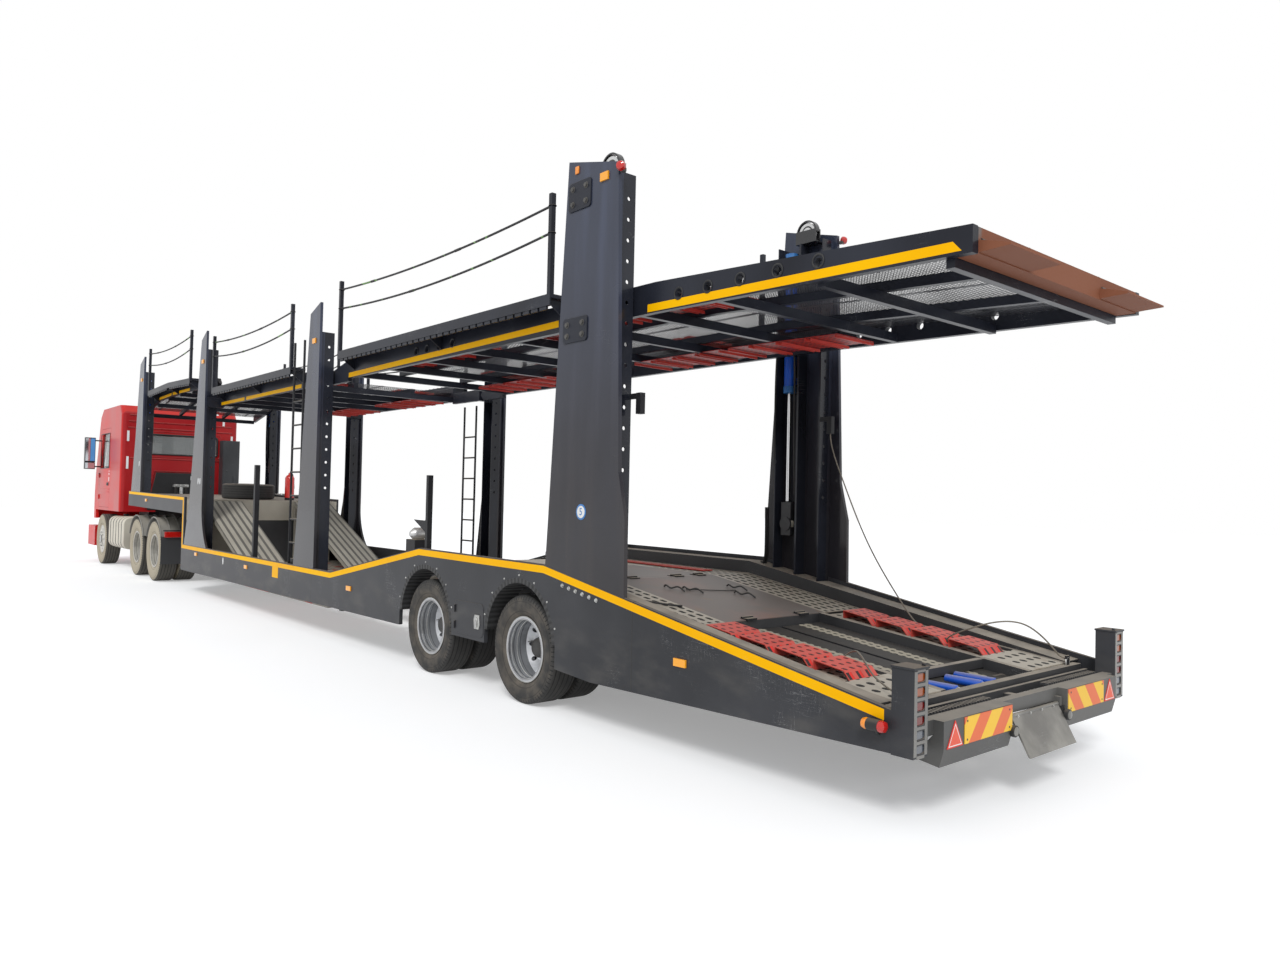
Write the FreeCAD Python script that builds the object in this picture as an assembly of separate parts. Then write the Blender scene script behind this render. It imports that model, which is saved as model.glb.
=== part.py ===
"""Car transporter lorry: a three-axle tractor with a tilting cab, hinged at its kingpin to a
two-deck semitrailer with four pairs of posts.  Millimetres, +X forward, +Y left, +Z up.
Stations along the lorry are measured forward from the tail of the lower deck, and save() moves
everything so that the origin lies on the ground under the middle of the whole lorry."""
import FreeCAD, Part
import os
from math import atan2, cos, degrees, pi, radians, sin, sqrt

V = FreeCAD.Vector

# ---------------------------------------------------------------- driving dimensions
HALF_WIDTH = 1275.0            # half of the overall width
SIDE_PLATE = 35.0              # thickness of the painted side plates
SHEET = 6.0                    # thickness of deck sheets
CLEAR = 5.0                    # gap between moving pieces
FIT = 0.3                      # gap between pieces that seat on each other
SIDE_IN = HALF_WIDTH - SIDE_PLATE

# wheels: radius, tyre width, rim half width, bead seat radius, flange height over the seat
TRAILER_TYRE_R, TRAILER_TYRE_W, TRAILER_RIM_HALF, TRAILER_SEAT_R = 430.0, 265.0, 95.0, 248.0
TRACTOR_TYRE_R, TRACTOR_TYRE_W, TRACTOR_RIM_HALF, TRACTOR_SEAT_R = 540.0, 300.0, 114.0, 286.0
FLANGE_H = 13.0
TYRE_FACE = HALF_WIDTH - 41    # outer face of every outer tyre
TWIN_GAP = 34.0                # between the two tyres of a twin
SPINDLE_R = 46.0

# stations of the trailer
DECK_TAIL = -180.0             # rear end of the upper deck's side beams
FLAP_REACH = 170.0             # how far the loading flaps reach behind them
TRAILER_AXLE_REAR = 3535.0
TRAILER_AXLE_STEP = 1562.0
WELL_REAR = 7450.0
WELL_LENGTH = 6000.0
KINGPIN_AHEAD = 2696.0         # kingpin in front of the well
NECK_AHEAD = 1184.0            # gooseneck's front end before the kingpin
TAIL_REACH = DECK_TAIL - FLAP_REACH
TRAILER_AXLES = (TRAILER_AXLE_REAR, TRAILER_AXLE_REAR + TRAILER_AXLE_STEP)
WELL_FRONT = WELL_REAR + WELL_LENGTH
KINGPIN_X = WELL_FRONT + KINGPIN_AHEAD
GOOSE_FRONT = KINGPIN_X + NECK_AHEAD

# lower deck
WELL_FLOOR_Z = 440.0
SILL_Z = 350.0
RAIL_POST_W = 120.0            # width of the upright that joins the sill to the gooseneck
NECK_REAR = WELL_FRONT - RAIL_POST_W
NECK_TOP = ((NECK_REAR, 1530.0), (GOOSE_FRONT, 1600.0))
NECK_LOW = ((WELL_FRONT, 1260.0), (GOOSE_FRONT, 1320.0))
NECK_SKIN_DROP = 40.0          # deck of the gooseneck under its side plates' top
RAIL = ((0.0, 586.0), (3200.0, 1130.0), (5240.0, 1145.0), (WELL_REAR - 130, 766.0), (WELL_FRONT, 766.0))
DECK = ((0.0, 560.0), (1950.0, 783.0), (3200.0, 985.0), (5240.0, 1005.0), (WELL_REAR, WELL_FLOOR_Z),
        (WELL_FRONT, WELL_FLOOR_Z))
ARCH_R, ARCH_Z = 505.0, 495.0
TRACK_IN, TRACK_OUT = 430.0, 1050.0          # wheel tracks of the well and of the upper decks
BAY_HALF, BAY_BEAM_W = 500.0, 50.0           # open bay in the tail and the beams beside it
HATCH_HALF = 565.0
HATCH_REAR, HATCH_FRONT = 1950.0, 5300.0
EDGE_BEAM_W = 40.0
BEAM_DEPTH, CROSS_DEPTH, CROSS_W = 90.0, 70.0, 60.0
LEDGE_DROP, LEDGE_SHEET = 35.0, 8.0          # side ledge under the rail's top
TAIL_BAR_X = 230.0                           # last full crossbar of the tail
TREAD_FIRST, TREAD_PITCH, TREAD_COUNT = 620.0, 302.0, 4
TREAD_RISE, TREAD_RUN, TREAD_SKIN = 62.0, 55.0, 5.0
TREAD_IN, TREAD_OUT = 620.0, 900.0
GRATE_DROP = 20.0                            # grating under the treads, below the beams' top
LAMP_POST = dict(depth=108.0, rear=20.0, inner=1144.0, low=381.0, top=822.0)
LAMP_FIRST, LAMP_PITCH, LAMP_COUNT = 422.0, 72.0, 6

# posts: outline of each outer plate from the foot up, the foot's height coming from the rail
POST_PLATE_IN = HALF_WIDTH - 32
COLUMN_DEPTH, COLUMN_WALL = 155.0, 10.0
POST_IN = SIDE_IN - COLUMN_DEPTH
POSTS = {
    1: dict(at=KINGPIN_X, rear=((264, None), (264, 4130)), front=((1004, None), (794, 2600), (574, 4010)),
            flare=0, column=(304, 534), column_top=3850),
    2: dict(at=WELL_FRONT, rear=((-1370, None), (-1080, 1500), (-1060, 4107)),
            front=((-150, None), (-390, 1500), (-800, 3985)), flare=70, column=(-1020, -810), column_top=3830),
    3: dict(at=WELL_REAR, rear=((370, None), (374, 1700), (380, 3857)),
            front=((1010, None), (880, 1700), (680, 3756)), flare=0, column=(410, 630), column_top=3520),
    4: dict(at=0.0, rear=((2238, None), (2245, 1500), (2325, 1830), (2400, 4030)),
            front=((3180, None), (3155, 1500), (2990, 4180)), flare=0, column=(2430, 2940), column_top=3980),
}
PIN_HOLE_R, PIN_PITCH, PIN_LOW_Z = 15.0, 150.0, 1700.0

# upper decks: lines of the tracks' top
DECK_HALF = POST_IN - 25       # outer face of the side beams
DECK_BEAM_W = 50.0
KNEE_X = 2220.0
LINE_REAR = ((DECK_TAIL, 3010.0), (KNEE_X, 3120.0), (WELL_REAR + 50, 3120.0))
LINE_MIDDLE = ((WELL_REAR + 1350, 3090.0), (WELL_FRONT - 1150, 3090.0))
LINE_FRONT = ((WELL_FRONT - 150, 3400.0), (WELL_FRONT + 1300, 3440.0), (KINGPIN_X + 54, 3400.0),
              (KINGPIN_X + 1154, 3200.0))
PIVOT_X, PIVOT_Z = WELL_REAR + 520, 3000.0             # rear upper deck's hinge, in the third posts
FRONT_PIVOT_X, FRONT_PIVOT_Z = WELL_FRONT - 915, 3330.0    # front upper deck's, in the second posts
PIVOT_R = 30.0
WING_OUT = HALF_WIDTH - 23
STANCHION_W, STANCHION_H = 40.0, 790.0

# deck lifts, one pair in the first posts and one in the fourth
LIFT_Y = SIDE_IN - 90
LIFTS = {
    1: dict(x=KINGPIN_X + 424, radius=42.0, barrel=(3000.0, 3780.0), block=2330.0, room=300.0),
    4: dict(x=2830.0, radius=55.0, barrel=(2670.0, 3900.0), block=1650.0, room=600.0),
}
LIFT_ROD_R = 22.0
ROPE_WHEEL_X, ROPE_WHEEL_Z, ROPE_WHEEL_R = 2640.0, 4075.0, 85.0

# tractor, set out from the kingpin
DRIVE_STEP = 1349.0
WHEELBASE = 3239.5             # front drive axle to steering axle
NOSE_OVERHANG = 1440.0         # steering axle to the bumper's face
DRIVE_AXLES = (KINGPIN_X - DRIVE_STEP / 2, KINGPIN_X + DRIVE_STEP / 2)
STEER_AXLE = DRIVE_AXLES[1] + WHEELBASE
NOSE_REACH = STEER_AXLE + NOSE_OVERHANG
STEER_PIN_Y, STEER_PIN_R, STEER_EYE_R = 880.0, 24.0, 58.0
STEER_WHEEL_OFFSET = 135.0
KINGPIN_R = 25.4
COUPLING_Z = 1255.0            # underside of the gooseneck's skid plate
FRAME_IN, FRAME_OUT = 360.0, 430.0
FRAME_LOW, FRAME_TOP = 740.0, 1010.0
FRAME_REAR, FRAME_FRONT = DRIVE_AXLES[0] - 672, NOSE_REACH - 300

# cab
CAB_HALF = 1150.0
CAB_WALL = 60.0
CAB_LENGTH = 2620.0
CAB_LOW, CAB_TOP = 1160.0, 3400.0
CAB_FRONT = NOSE_REACH - 80
CAB_REAR = CAB_FRONT - CAB_LENGTH
CAB_PIVOT_X, CAB_PIVOT_Z = CAB_FRONT - 80, 930.0
PIVOT_PIN_R = 20.0
DOOR_REAR, DOOR_FRONT = CAB_FRONT - 1570, CAB_FRONT - 500
DOOR_LOW, DOOR_TOP = 1230.0, 2950.0
TUNNEL_HALF, TUNNEL_TOP, TUNNEL_FRONT = 470.0, 1560.0, CAB_FRONT - 460
SCREEN_LOW, SCREEN_TOP = 2090.0, 2900.0
WINDOW_HALF, WINDOW_LOW, WINDOW_TOP = 720.0, 2400.0, 2800.0
HINGE_X, HINGE_Y = DOOR_FRONT + CLEAR / 2, CAB_HALF + 12.0
HINGE_PIN_R, HINGE_EYE_R, HINGE_HEIGHTS, HINGE_EYE_H = 6.0, 10.0, (1420.0, 1900.0), 60.0

TOW_Y, TOW_Z, TOW_BORE_R = 300.0, 600.0, 24.0
PLATE_Z, PLATE_HOLE_R, PLATE_SPACING = 500.0, 3.5, 300.0

CENTRE_X = (TAIL_REACH + NOSE_REACH) / 2


# ---------------------------------------------------------------- small tools
def box(x0, x1, y0, y1, z0, z1):
    return Part.makeBox(x1 - x0, y1 - y0, z1 - z0, V(x0, y0, z0))


def sheet(points, along):
    wire = Part.makePolygon(points + [points[0]])
    return Part.Face(wire).extrude(along)


def side_sheet(corners, y0, y1):
    """A plate whose outline is given as (x, z) corners."""
    return sheet([V(x, y0, z) for x, z in corners], V(0, y1 - y0, 0))


def cross_sheet(corners, x0, x1):
    """A plate whose outline is given as (y, z) corners."""
    return sheet([V(x0, y, z) for y, z in corners], V(x1 - x0, 0, 0))


def flat_sheet(corners, z0, z1):
    """A plate whose outline is given as (x, y) corners."""
    return sheet([V(x, y, z0) for x, y in corners], V(0, 0, z1 - z0))


def rod(start, end, radius):
    way = end - start
    return Part.makeCylinder(radius, way.Length, start, way)


def pipe(start, end, outer, inner):
    return rod(start, end, outer).cut(rod(start, end, inner))


def turned(section, x, z):
    """A solid turned about the cross axis through (x, z); the section is (y, radius) corners."""
    points = [V(x, y, z + r) for y, r in section]
    face = Part.Face(Part.makePolygon(points + [points[0]]))
    return face.revolve(V(x, 0, z), V(0, 1, 0), 360)


def fuse(shapes):
    shapes = list(shapes)
    whole = shapes[0].multiFuse(shapes[1:]) if len(shapes) > 1 else shapes[0]
    return whole.removeSplitter()


def mirrored(shape):
    return shape.mirror(V(0, 0, 0), V(0, 1, 0))


def both(shapes):
    shapes = list(shapes)
    return shapes + [mirrored(s) for s in shapes]


def solids_of(shapes):
    return [solid for shape in shapes for solid in shape.Solids]


def level(line, x):
    """Height of a broken line of (x, z) points at a station."""
    for (xa, za), (xb, zb) in zip(line, line[1:]):
        if xa <= x <= xb:
            return za + (zb - za) * (x - xa) / (xb - xa)
    raise ValueError(x)


def strip(line, x0, x1, y0, y1, drop, depth):
    """A plate that follows a broken line between two stations, its top `drop` below it."""
    knees = [x for x, _ in line if x0 < x < x1]
    upper = [(x, level(line, x) - drop) for x in [x0] + knees + [x1]]
    lower = [(x, z - depth) for x, z in reversed(upper)]
    return side_sheet(upper + lower, y0, y1)


def stretches(line, x0, x1):
    """The straight stretches of a broken line between two stations, a hair apart."""
    ends = [x0] + [x for x, _ in line if x0 < x < x1] + [x1]
    return [(a + FIT / 2, b - FIT / 2) for a, b in zip(ends, ends[1:])]


def strips(line, x0, x1, y0, y1, drop, depth):
    """One straight plate or beam for each stretch of the line."""
    return [strip(line, a, b, y0, y1, drop, depth) for a, b in stretches(line, x0, x1)]


def crossbeam(line, x, half, drop, depth, width=CROSS_W):
    z = min(level(line, x - width / 2), level(line, x + width / 2)) - drop
    return box(x - width / 2, x + width / 2, -half, half, z - depth, z)


def spread(first, last, count):
    return [first + k * (last - first) / (count - 1) for k in range(count)]


def save(name, shapes):
    solids = solids_of(shapes if isinstance(shapes, (list, tuple)) else [shapes])
    whole = solids[0] if len(solids) == 1 else Part.makeCompound(solids)
    whole = whole.copy()
    whole.translate(V(-CENTRE_X, 0, 0))
    whole.exportStep("parts/%s.step" % name)


# ---------------------------------------------------------------- wheels
def tyre(x, z, y_mid, radius, width, rim_half, seat_r):
    """A tyre as one ring: flat bead seats, bulged side walls and a rounded shoulder."""
    half, shoulder, belly_in = width / 2, 26.0, 9.0
    notch_r = seat_r + FLANGE_H + 1

    def point(y, r):
        return V(x, y_mid + y, z + r)

    def wall(side):
        bead, lip = point(side * rim_half, seat_r), point(side * rim_half, notch_r)
        belly = point(side * half, (notch_r + radius) / 2)
        neck = point(side * (half - belly_in), radius - shoulder)
        bend = point(side * (half - belly_in - shoulder * 0.29), radius - shoulder * 0.29)
        tread = point(side * (half - belly_in - shoulder), radius)
        edges = [Part.makeLine(bead, lip), Part.Arc(lip, belly, neck).toShape(), Part.Arc(neck, bend, tread).toShape()]
        return edges, bead, tread

    left, left_bead, left_tread = wall(1)
    right, right_bead, right_tread = wall(-1)
    edges = left + [Part.makeLine(left_tread, right_tread)] + right[::-1]
    edges.append(Part.makeLine(right_bead, left_bead))
    face = Part.Face(Part.Wire(Part.__sortEdges__(edges)))
    return face.revolve(V(x, 0, z), V(0, 1, 0), 360)


def rim_half_wheel(x, z, mount_y, way, offset, rim_half, seat_r, disc_r):
    """One dished rim. Its disc seats at mount_y and its barrel lies on the `way` side of it."""
    inner, outer = offset - rim_half, offset + rim_half
    barrel, flange = seat_r - 14, seat_r + FLANGE_H
    section = [(outer + 12, flange), (outer + 12, barrel), (inner + 26, barrel), (12, disc_r),
               (12, 60), (0, 60), (0, disc_r + 12), (inner - 12, barrel), (inner - 12, flange),
               (inner - FIT, flange), (inner - FIT, seat_r - FIT), (outer + FIT, seat_r - FIT),
               (outer + FIT, flange)]
    return turned([(mount_y + way * s, r) for s, r in section], x, z)


def hand_holes(x, z, y0, y1, ring_r, hole_r, count):
    turns = [2 * pi * k / count for k in range(count)]
    return [rod(V(x + ring_r * cos(a), y0, z + ring_r * sin(a)),
                V(x + ring_r * cos(a), y1, z + ring_r * sin(a)), hole_r) for a in turns]


def hub_face(width):
    """Mounting plane of a twin wheel on the left side."""
    return TYRE_FACE - width / 2 - (width + TWIN_GAP) / 2


def twin_wheel(x, side, radius, width, rim_half, seat_r):
    """Two tyres on two rims, bolted back to back on one hub. side is 1 on the left."""
    mid_outer = TYRE_FACE - width / 2
    spacing = width + TWIN_GAP
    mount = hub_face(width)
    disc_r = seat_r * 0.62
    tyres = [tyre(x, radius, y, radius, width, rim_half, seat_r) for y in (mid_outer, mid_outer - spacing)]
    rims = [rim_half_wheel(x, radius, mount, way, spacing / 2, rim_half, seat_r, disc_r) for way in (1, -1)]
    hub = turned([(mount - 150, SPINDLE_R + FIT), (mount - 150, 92), (mount - 12, 92), (mount - 12, 118),
                  (mount + 95, 105), (mount + 95, 84), (mount + 130, 78), (mount + 130, 0),
                  (mount + 60, 0), (mount + 60, SPINDLE_R + FIT)], x, radius)
    holes = hand_holes(x, radius, mount - 140, mount + 140, (disc_r + seat_r) / 2 - 4, 19, 10)
    metal = fuse(rims + [hub]).cut(Part.makeCompound(holes))
    shapes = tyres + [metal]
    return shapes if side > 0 else [mirrored(s) for s in shapes]


def steer_wheel(side):
    """One tyre on one rim whose disc bulges outwards."""
    x, radius, seat_r = STEER_AXLE, TRACTOR_TYRE_R, TRACTOR_SEAT_R
    mid = TYRE_FACE - TRACTOR_TYRE_W / 2
    mount = mid + STEER_WHEEL_OFFSET
    disc_r = seat_r * 0.62
    rim = rim_half_wheel(x, radius, mount, -1, STEER_WHEEL_OFFSET, TRACTOR_RIM_HALF, seat_r, disc_r)
    hub = turned([(mount - 150, SPINDLE_R + FIT), (mount - 150, 92), (mount - 14, 92), (mount - 14, 118),
                  (mount + 14, 112), (mount + 14, 84), (mount + 24, 78), (mount + 24, 0),
                  (mount - 20, 0), (mount - 20, SPINDLE_R + FIT)], x, radius)
    holes = hand_holes(x, radius, mount - 140, mount + 20, (disc_r + seat_r) / 2 - 4, 19, 10)
    metal = fuse([rim, hub]).cut(Part.makeCompound(holes))
    shapes = [tyre(x, radius, mid, radius, TRACTOR_TYRE_W, TRACTOR_RIM_HALF, seat_r), metal]
    return shapes if side > 0 else [mirrored(s) for s in shapes]


# ---------------------------------------------------------------- trailer, lower deck
def side_frame():
    """The left painted side plate, from the lamp post to the front of the gooseneck."""
    tail = LAMP_POST["depth"] + FIT
    top = [(tail, level(RAIL, tail))] + [(x, z) for x, z in RAIL if tail < x < WELL_FRONT]
    keel = [(TRAILER_AXLES[1] + 553, SILL_Z + 35), (TRAILER_AXLES[1] - 507, 420), (TRAILER_AXLES[0] + 505, 420),
            (TRAILER_AXLES[0] - 945, 330), (tail, 386)]
    outline = top + [(NECK_REAR, RAIL[-1][1]), NECK_TOP[0], NECK_TOP[1], NECK_LOW[1], NECK_LOW[0],
                     (WELL_FRONT, SILL_Z + 15), (WELL_FRONT - 60, SILL_Z)] + keel
    plate = side_sheet(outline, SIDE_IN, HALF_WIDTH)
    cuts = []
    for x in TRAILER_AXLES:
        cuts.append(rod(V(x, SIDE_IN - 50, ARCH_Z), V(x, HALF_WIDTH + 50, ARCH_Z), ARCH_R))
        cuts.append(box(x - ARCH_R, x + ARCH_R, SIDE_IN - 50, HALF_WIDTH + 50, 0, ARCH_Z))
    return plate.cut(Part.makeCompound(cuts))


def mudguard_rim(x):
    """A rubber arch lip round one wheel opening."""
    lip, reach = 40.0, 180.0
    ring = pipe(V(x, SIDE_IN - reach, ARCH_Z), V(x, HALF_WIDTH, ARCH_Z), ARCH_R - FIT, ARCH_R - lip)
    return ring.cut(box(x - ARCH_R, x + ARCH_R, SIDE_IN - reach - 5, HALF_WIDTH + 5, ARCH_Z - ARCH_R, ARCH_Z + 40))


def side_ledge(x0, x1):
    """Ledge inside the left side plate, with the web that closes it down to the lower track."""
    knees = sorted(x for x, _ in RAIL + DECK if x0 < x < x1)
    ends = [x0] + knees + [x1]
    parts = []
    for a, b in [(a + FIT / 2, b - FIT / 2) for a, b in zip(ends, ends[1:])]:
        if b - a < 1:
            continue
        top = strip(RAIL, a, b, TRACK_OUT + FIT, SIDE_IN - FIT, LEDGE_DROP, LEDGE_SHEET)
        drop = LEDGE_DROP + LEDGE_SHEET + FIT
        web = side_sheet([(a, level(RAIL, a) - drop), (b, level(RAIL, b) - drop), (b, level(DECK, b) - 60),
                          (a, level(DECK, a) - 60)], TRACK_OUT + FIT, TRACK_OUT + FIT + LEDGE_SHEET)
        parts += [top, web]
    return parts


def rear_deck_frame():
    """Beams under the sloping tail and the deck over the wheels."""
    start = TAIL_BAR_X + 30
    under = SHEET + FIT
    left = []
    for x0, x1, drop in ((start, HATCH_REAR, 0), (HATCH_REAR, WELL_REAR, under)):
        left += strips(DECK, x0, x1, BAY_HALF, BAY_HALF + BAY_BEAM_W, drop, BEAM_DEPTH)
        left += strips(DECK, x0, x1, TRACK_OUT - EDGE_BEAM_W, TRACK_OUT, drop, BEAM_DEPTH)
    left += side_ledge(start, WELL_REAR - 150)
    beams = both(left)
    low = under + BEAM_DEPTH + FIT
    for x in (480, 1150, 1800, 2600, 5900, 6500, 7100):
        beams.append(crossbeam(DECK, x, SIDE_IN - FIT, low, CROSS_DEPTH))
    for x in (HATCH_REAR + 30 + FIT, 2600, 3290, 4316, 5200):
        beams.append(crossbeam(DECK, x, BAY_HALF - FIT, under, BEAM_DEPTH - 10, CROSS_W - 1))
    beams.append(crossbeam(DECK, 590, BAY_HALF - FIT, 0, CROSS_DEPTH - 12, 50))
    beams.append(crossbeam(DECK, TAIL_BAR_X, LAMP_POST["inner"] - FIT, 0, CROSS_DEPTH, 59))
    beams.append(crossbeam(DECK, TAIL_BAR_X - 62, LAMP_POST["inner"] - FIT, 25, 45, 25))
    for y in (-BAY_HALF, 0, BAY_HALF):
        beams.append(box(60 + FIT, TAIL_BAR_X - 74.5 - FIT, y - 30, y + 30, 470, 530))
    return beams


def rear_deck_plates():
    """Perforated driving plates, with the dark hatch over the middle."""
    inner, outer = BAY_HALF + BAY_BEAM_W + FIT, TRACK_OUT - EDGE_BEAM_W - FIT
    left = [strip(DECK, TAIL_BAR_X + 30, TREAD_FIRST - 4, inner, outer, 0, SHEET),
            strip(DECK, TREAD_FIRST, HATCH_REAR - 4, inner, outer, GRATE_DROP, SHEET)]
    left += strips(DECK, HATCH_REAR, WELL_REAR - 4, HATCH_HALF + FIT, TRACK_OUT, 0, SHEET)
    hatch = strips(DECK, HATCH_REAR, HATCH_FRONT, -HATCH_HALF, HATCH_HALF, 0, SHEET)
    return both(left) + hatch


def red_treads():
    """Stepped treads in each track of the tail slope."""
    treads = []
    y0, y1 = TREAD_IN, TREAD_OUT
    for k in range(TREAD_COUNT):
        x = TREAD_FIRST + 4 + k * TREAD_PITCH
        end = x + TREAD_PITCH - 25
        z, end_z = level(DECK, x + 2 * TREAD_SKIN) - GRATE_DROP + FIT, level(DECK, end) - GRATE_DROP + FIT
        top, top_end = z + TREAD_RISE, end_z + TREAD_RISE
        skin = TREAD_SKIN
        outline = [(x, z), (x + TREAD_RUN, top), (end, top_end), (end, end_z), (end - skin, end_z),
                   (end - skin, top_end - skin), (x + TREAD_RUN + skin * 0.6, top - skin), (x + skin * 1.4, z)]
        treads.append(side_sheet(outline, y0, y1))
    return both(treads)


def rear_bumper():
    """Tail crossbeam with two hanging boxes, and the striped boards and warning triangles on them."""
    beam = box(0, 60, -LAMP_POST["inner"] + FIT, LAMP_POST["inner"] - FIT, 470, 548)
    boxes = side_sheet([(-60, 548), (0, 548), (0, 470), (110, 350), (110, 330), (-36, 310), (-60, 400)], 340, 1060)
    lugs = box(-34, 0, 300, 330, 446, 500)
    pin = rod(V(-20, -330, 462), V(-20, 330, 462), 6)
    frame = fuse([beam, pin] + both([boxes, lugs]))
    board = box(-64, -60 - FIT, 352, 860, 404, 543)
    triangle = cross_sheet([(876, 404), (1032, 404), (954, 541)], -64, -60 - FIT)
    return [frame] + both([board, triangle])


def slot_cut(x0, x1, y, z, width, height):
    r = height / 2
    middle = box(x0, x1, y - width / 2 + r, y + width / 2 - r, z - r, z + r)
    ends = [rod(V(x0, y + s * (width / 2 - r), z), V(x1, y + s * (width / 2 - r), z), r) for s in (1, -1)]
    return middle.fuse(ends[0]).fuse(ends[1])


def lamp_slots(x0, x1):
    y = (LAMP_POST["inner"] + HALF_WIDTH) / 2
    heights = [LAMP_FIRST + k * LAMP_PITCH for k in range(LAMP_COUNT)]
    return [slot_cut(x0, x1, y, z, 84, 44) for z in heights]


def lamp_post():
    """Upright lamp housing at the tail, with six slots in its rear face."""
    p = LAMP_POST
    shell = box(-p["rear"], p["depth"], p["inner"], HALF_WIDTH, p["low"], p["top"])
    return shell.cut(Part.makeCompound(lamp_slots(-p["rear"] - 10, -p["rear"] + 12)))


def signal_lamps():
    """Lenses in the lamp posts and amber markers along the side."""
    rear = -LAMP_POST["rear"]
    lamps = lamp_slots(rear + 6, rear + 12 - FIT)
    face = HALF_WIDTH + FIT
    for x, z in ((12580, 650), (10190, 620), (6800, 630), (1660, 610), (KINGPIN_X - 246, 1440)):
        lamps.append(box(x - 55, x + 55, face, face + 12, z - 25, z + 25))
    for number, z in ((2, 3640), (3, 3420), (4, 3960), (1, 3700)):
        post = POSTS[number]
        x = post["at"] + post["rear"][-1][0] + 150
        lamps.append(box(x - 45, x + 45, face, face + 12, z - 30, z + 30))
    return both(lamps)


def tail_flap():
    """Hinged plate in the middle of the tail."""
    slab = side_sheet([(-26, 462), (-14, 462), (-130, 250), (-142, 250)], -290, 290)
    knuckle = rod(V(-20, -290, 462), V(-20, 290, 462), 12)
    return fuse([slab, knuckle]).cut(rod(V(-20, -300, 462), V(-20, 300, 462), 6 + FIT))


def stored_ramps():
    """Two perforated loading ramps slid into the middle bay, on its lower crossbeams."""
    drop, depth = 66.0, 30.0
    return both([strip(DECK, 300, HATCH_REAR - 30, 20, BAY_HALF - 20, drop, depth)])


def well_floor():
    """Spine, sills, tracks and crossbeams of the well."""
    x0, x1 = WELL_REAR + FIT, NECK_REAR - FIT
    sheet_low = WELL_FLOOR_Z - SHEET
    sill = box(x0, x1, 1180, SIDE_IN - FIT, SILL_Z, WELL_FLOOR_Z)
    track = box(x0, x1, TRACK_IN, 1180 - FIT, sheet_low, WELL_FLOOR_Z)
    raised = box(WELL_REAR + 1450, WELL_REAR + 2600, TRACK_IN, TRACK_OUT, WELL_FLOOR_Z, WELL_FLOOR_Z + SHEET)
    parts = both([sill, fuse([track, raised])])
    spine = 100.0
    parts.append(box(x0, x1, -spine, spine, SILL_Z, WELL_FLOOR_Z))
    for x in spread(x0 + 40, x1 - 40, 7):
        parts += both([box(x - 40, x + 40, spine + FIT, 1180 - FIT, SILL_Z, sheet_low - FIT)])
    return parts


RAMP_TOP_X, RAMP_TOP_Z, RAMP_LOW_X = NECK_REAR - 150, 1470.0, WELL_REAR + 3250


def well_ramps():
    """Ribbed ramps from the gooseneck down to the well floor."""
    foot = WELL_FLOOR_Z + FIT
    skin = side_sheet([(RAMP_LOW_X, foot), (RAMP_TOP_X, RAMP_TOP_Z), (RAMP_TOP_X, RAMP_TOP_Z - 60),
                       (RAMP_LOW_X + 140, foot)], TRACK_IN, TRACK_OUT)
    prop = box(RAMP_TOP_X - 60, RAMP_TOP_X, TRACK_IN, TRACK_OUT, foot, RAMP_TOP_Z - 30)
    return both([fuse([skin, prop])])


def gooseneck():
    """Raised front of the trailer: wall, deck, beams, skid plate and kingpin."""
    x0, x1 = NECK_REAR, GOOSE_FRONT
    half = SIDE_IN - FIT
    low = COUPLING_Z + 20
    skin = strip(NECK_TOP, x0, x1, -half, half, NECK_SKIN_DROP, 20)
    wall = box(x0, x0 + 40, -half, half, SILL_Z, level(NECK_TOP, x0) - NECK_SKIN_DROP - 20 - FIT)
    beam = side_sheet([(x0 + 40 + FIT, level(NECK_TOP, x0 + 50) - 62), (x1, level(NECK_TOP, x1) - 62),
                       (x1, low), (x0 + 40 + FIT, low)], 400, 460)
    skid = box(KINGPIN_X - 846, x1, -460, 460, COUPLING_Z, low)
    pin = rod(V(KINGPIN_X, 0, COUPLING_Z - 84), V(KINGPIN_X, 0, COUPLING_Z + 5), KINGPIN_R)
    collar = rod(V(KINGPIN_X, 0, COUPLING_Z - 84), V(KINGPIN_X, 0, COUPLING_Z - 60), 35)
    carriage = fuse(both([beam]) + [skid, pin, collar])
    ties = []
    for x in (WELL_FRONT + 550, WELL_FRONT + 1250, WELL_FRONT + 1950, KINGPIN_X + 554, x1 - 40):
        z = min(level(NECK_TOP, x - 30), level(NECK_TOP, x + 30)) - NECK_SKIN_DROP - 20 - FIT
        ties.append(box(x - 30, x + 30, 460 + FIT, half, z - 130, z))
        ties.append(box(x - 30, x + 30, 0, 400 - FIT, z - 130, z))
    inner = [fuse([t, mirrored(t)]) for t in ties[1::2]]
    return [skin, wall, carriage] + both(ties[0::2]) + inner


LEG_X, LEG_Y, LEG_FOOT = WELL_FRONT + 190, 940.0, 300.0


def landing_legs():
    """Parking legs in front of the well, wound up for the road, with their cross shaft."""
    x, y = LEG_X, LEG_Y
    leg = box(x - 60, x + 60, y - 60, y + 60, 620, 1340)
    inner = box(x - 45, x + 45, y - 45, y + 45, LEG_FOOT + 20, 700)
    sole = box(x - 120, x + 120, y - 110, y + 110, LEG_FOOT, LEG_FOOT + 22)
    drop = NECK_SKIN_DROP + 20 + FIT
    head = side_sheet([(x - 80, 1340), (x - 80, level(NECK_TOP, x - 80) - drop),
                       (x + 80, level(NECK_TOP, x + 80) - drop), (x + 80, 1340)], y - 80, y + 80)
    shaft = rod(V(x, -y + 60, 1000), V(x, y - 60, 1000), 20)
    return fuse(both([leg, inner, sole, head]) + [shaft])


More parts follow.
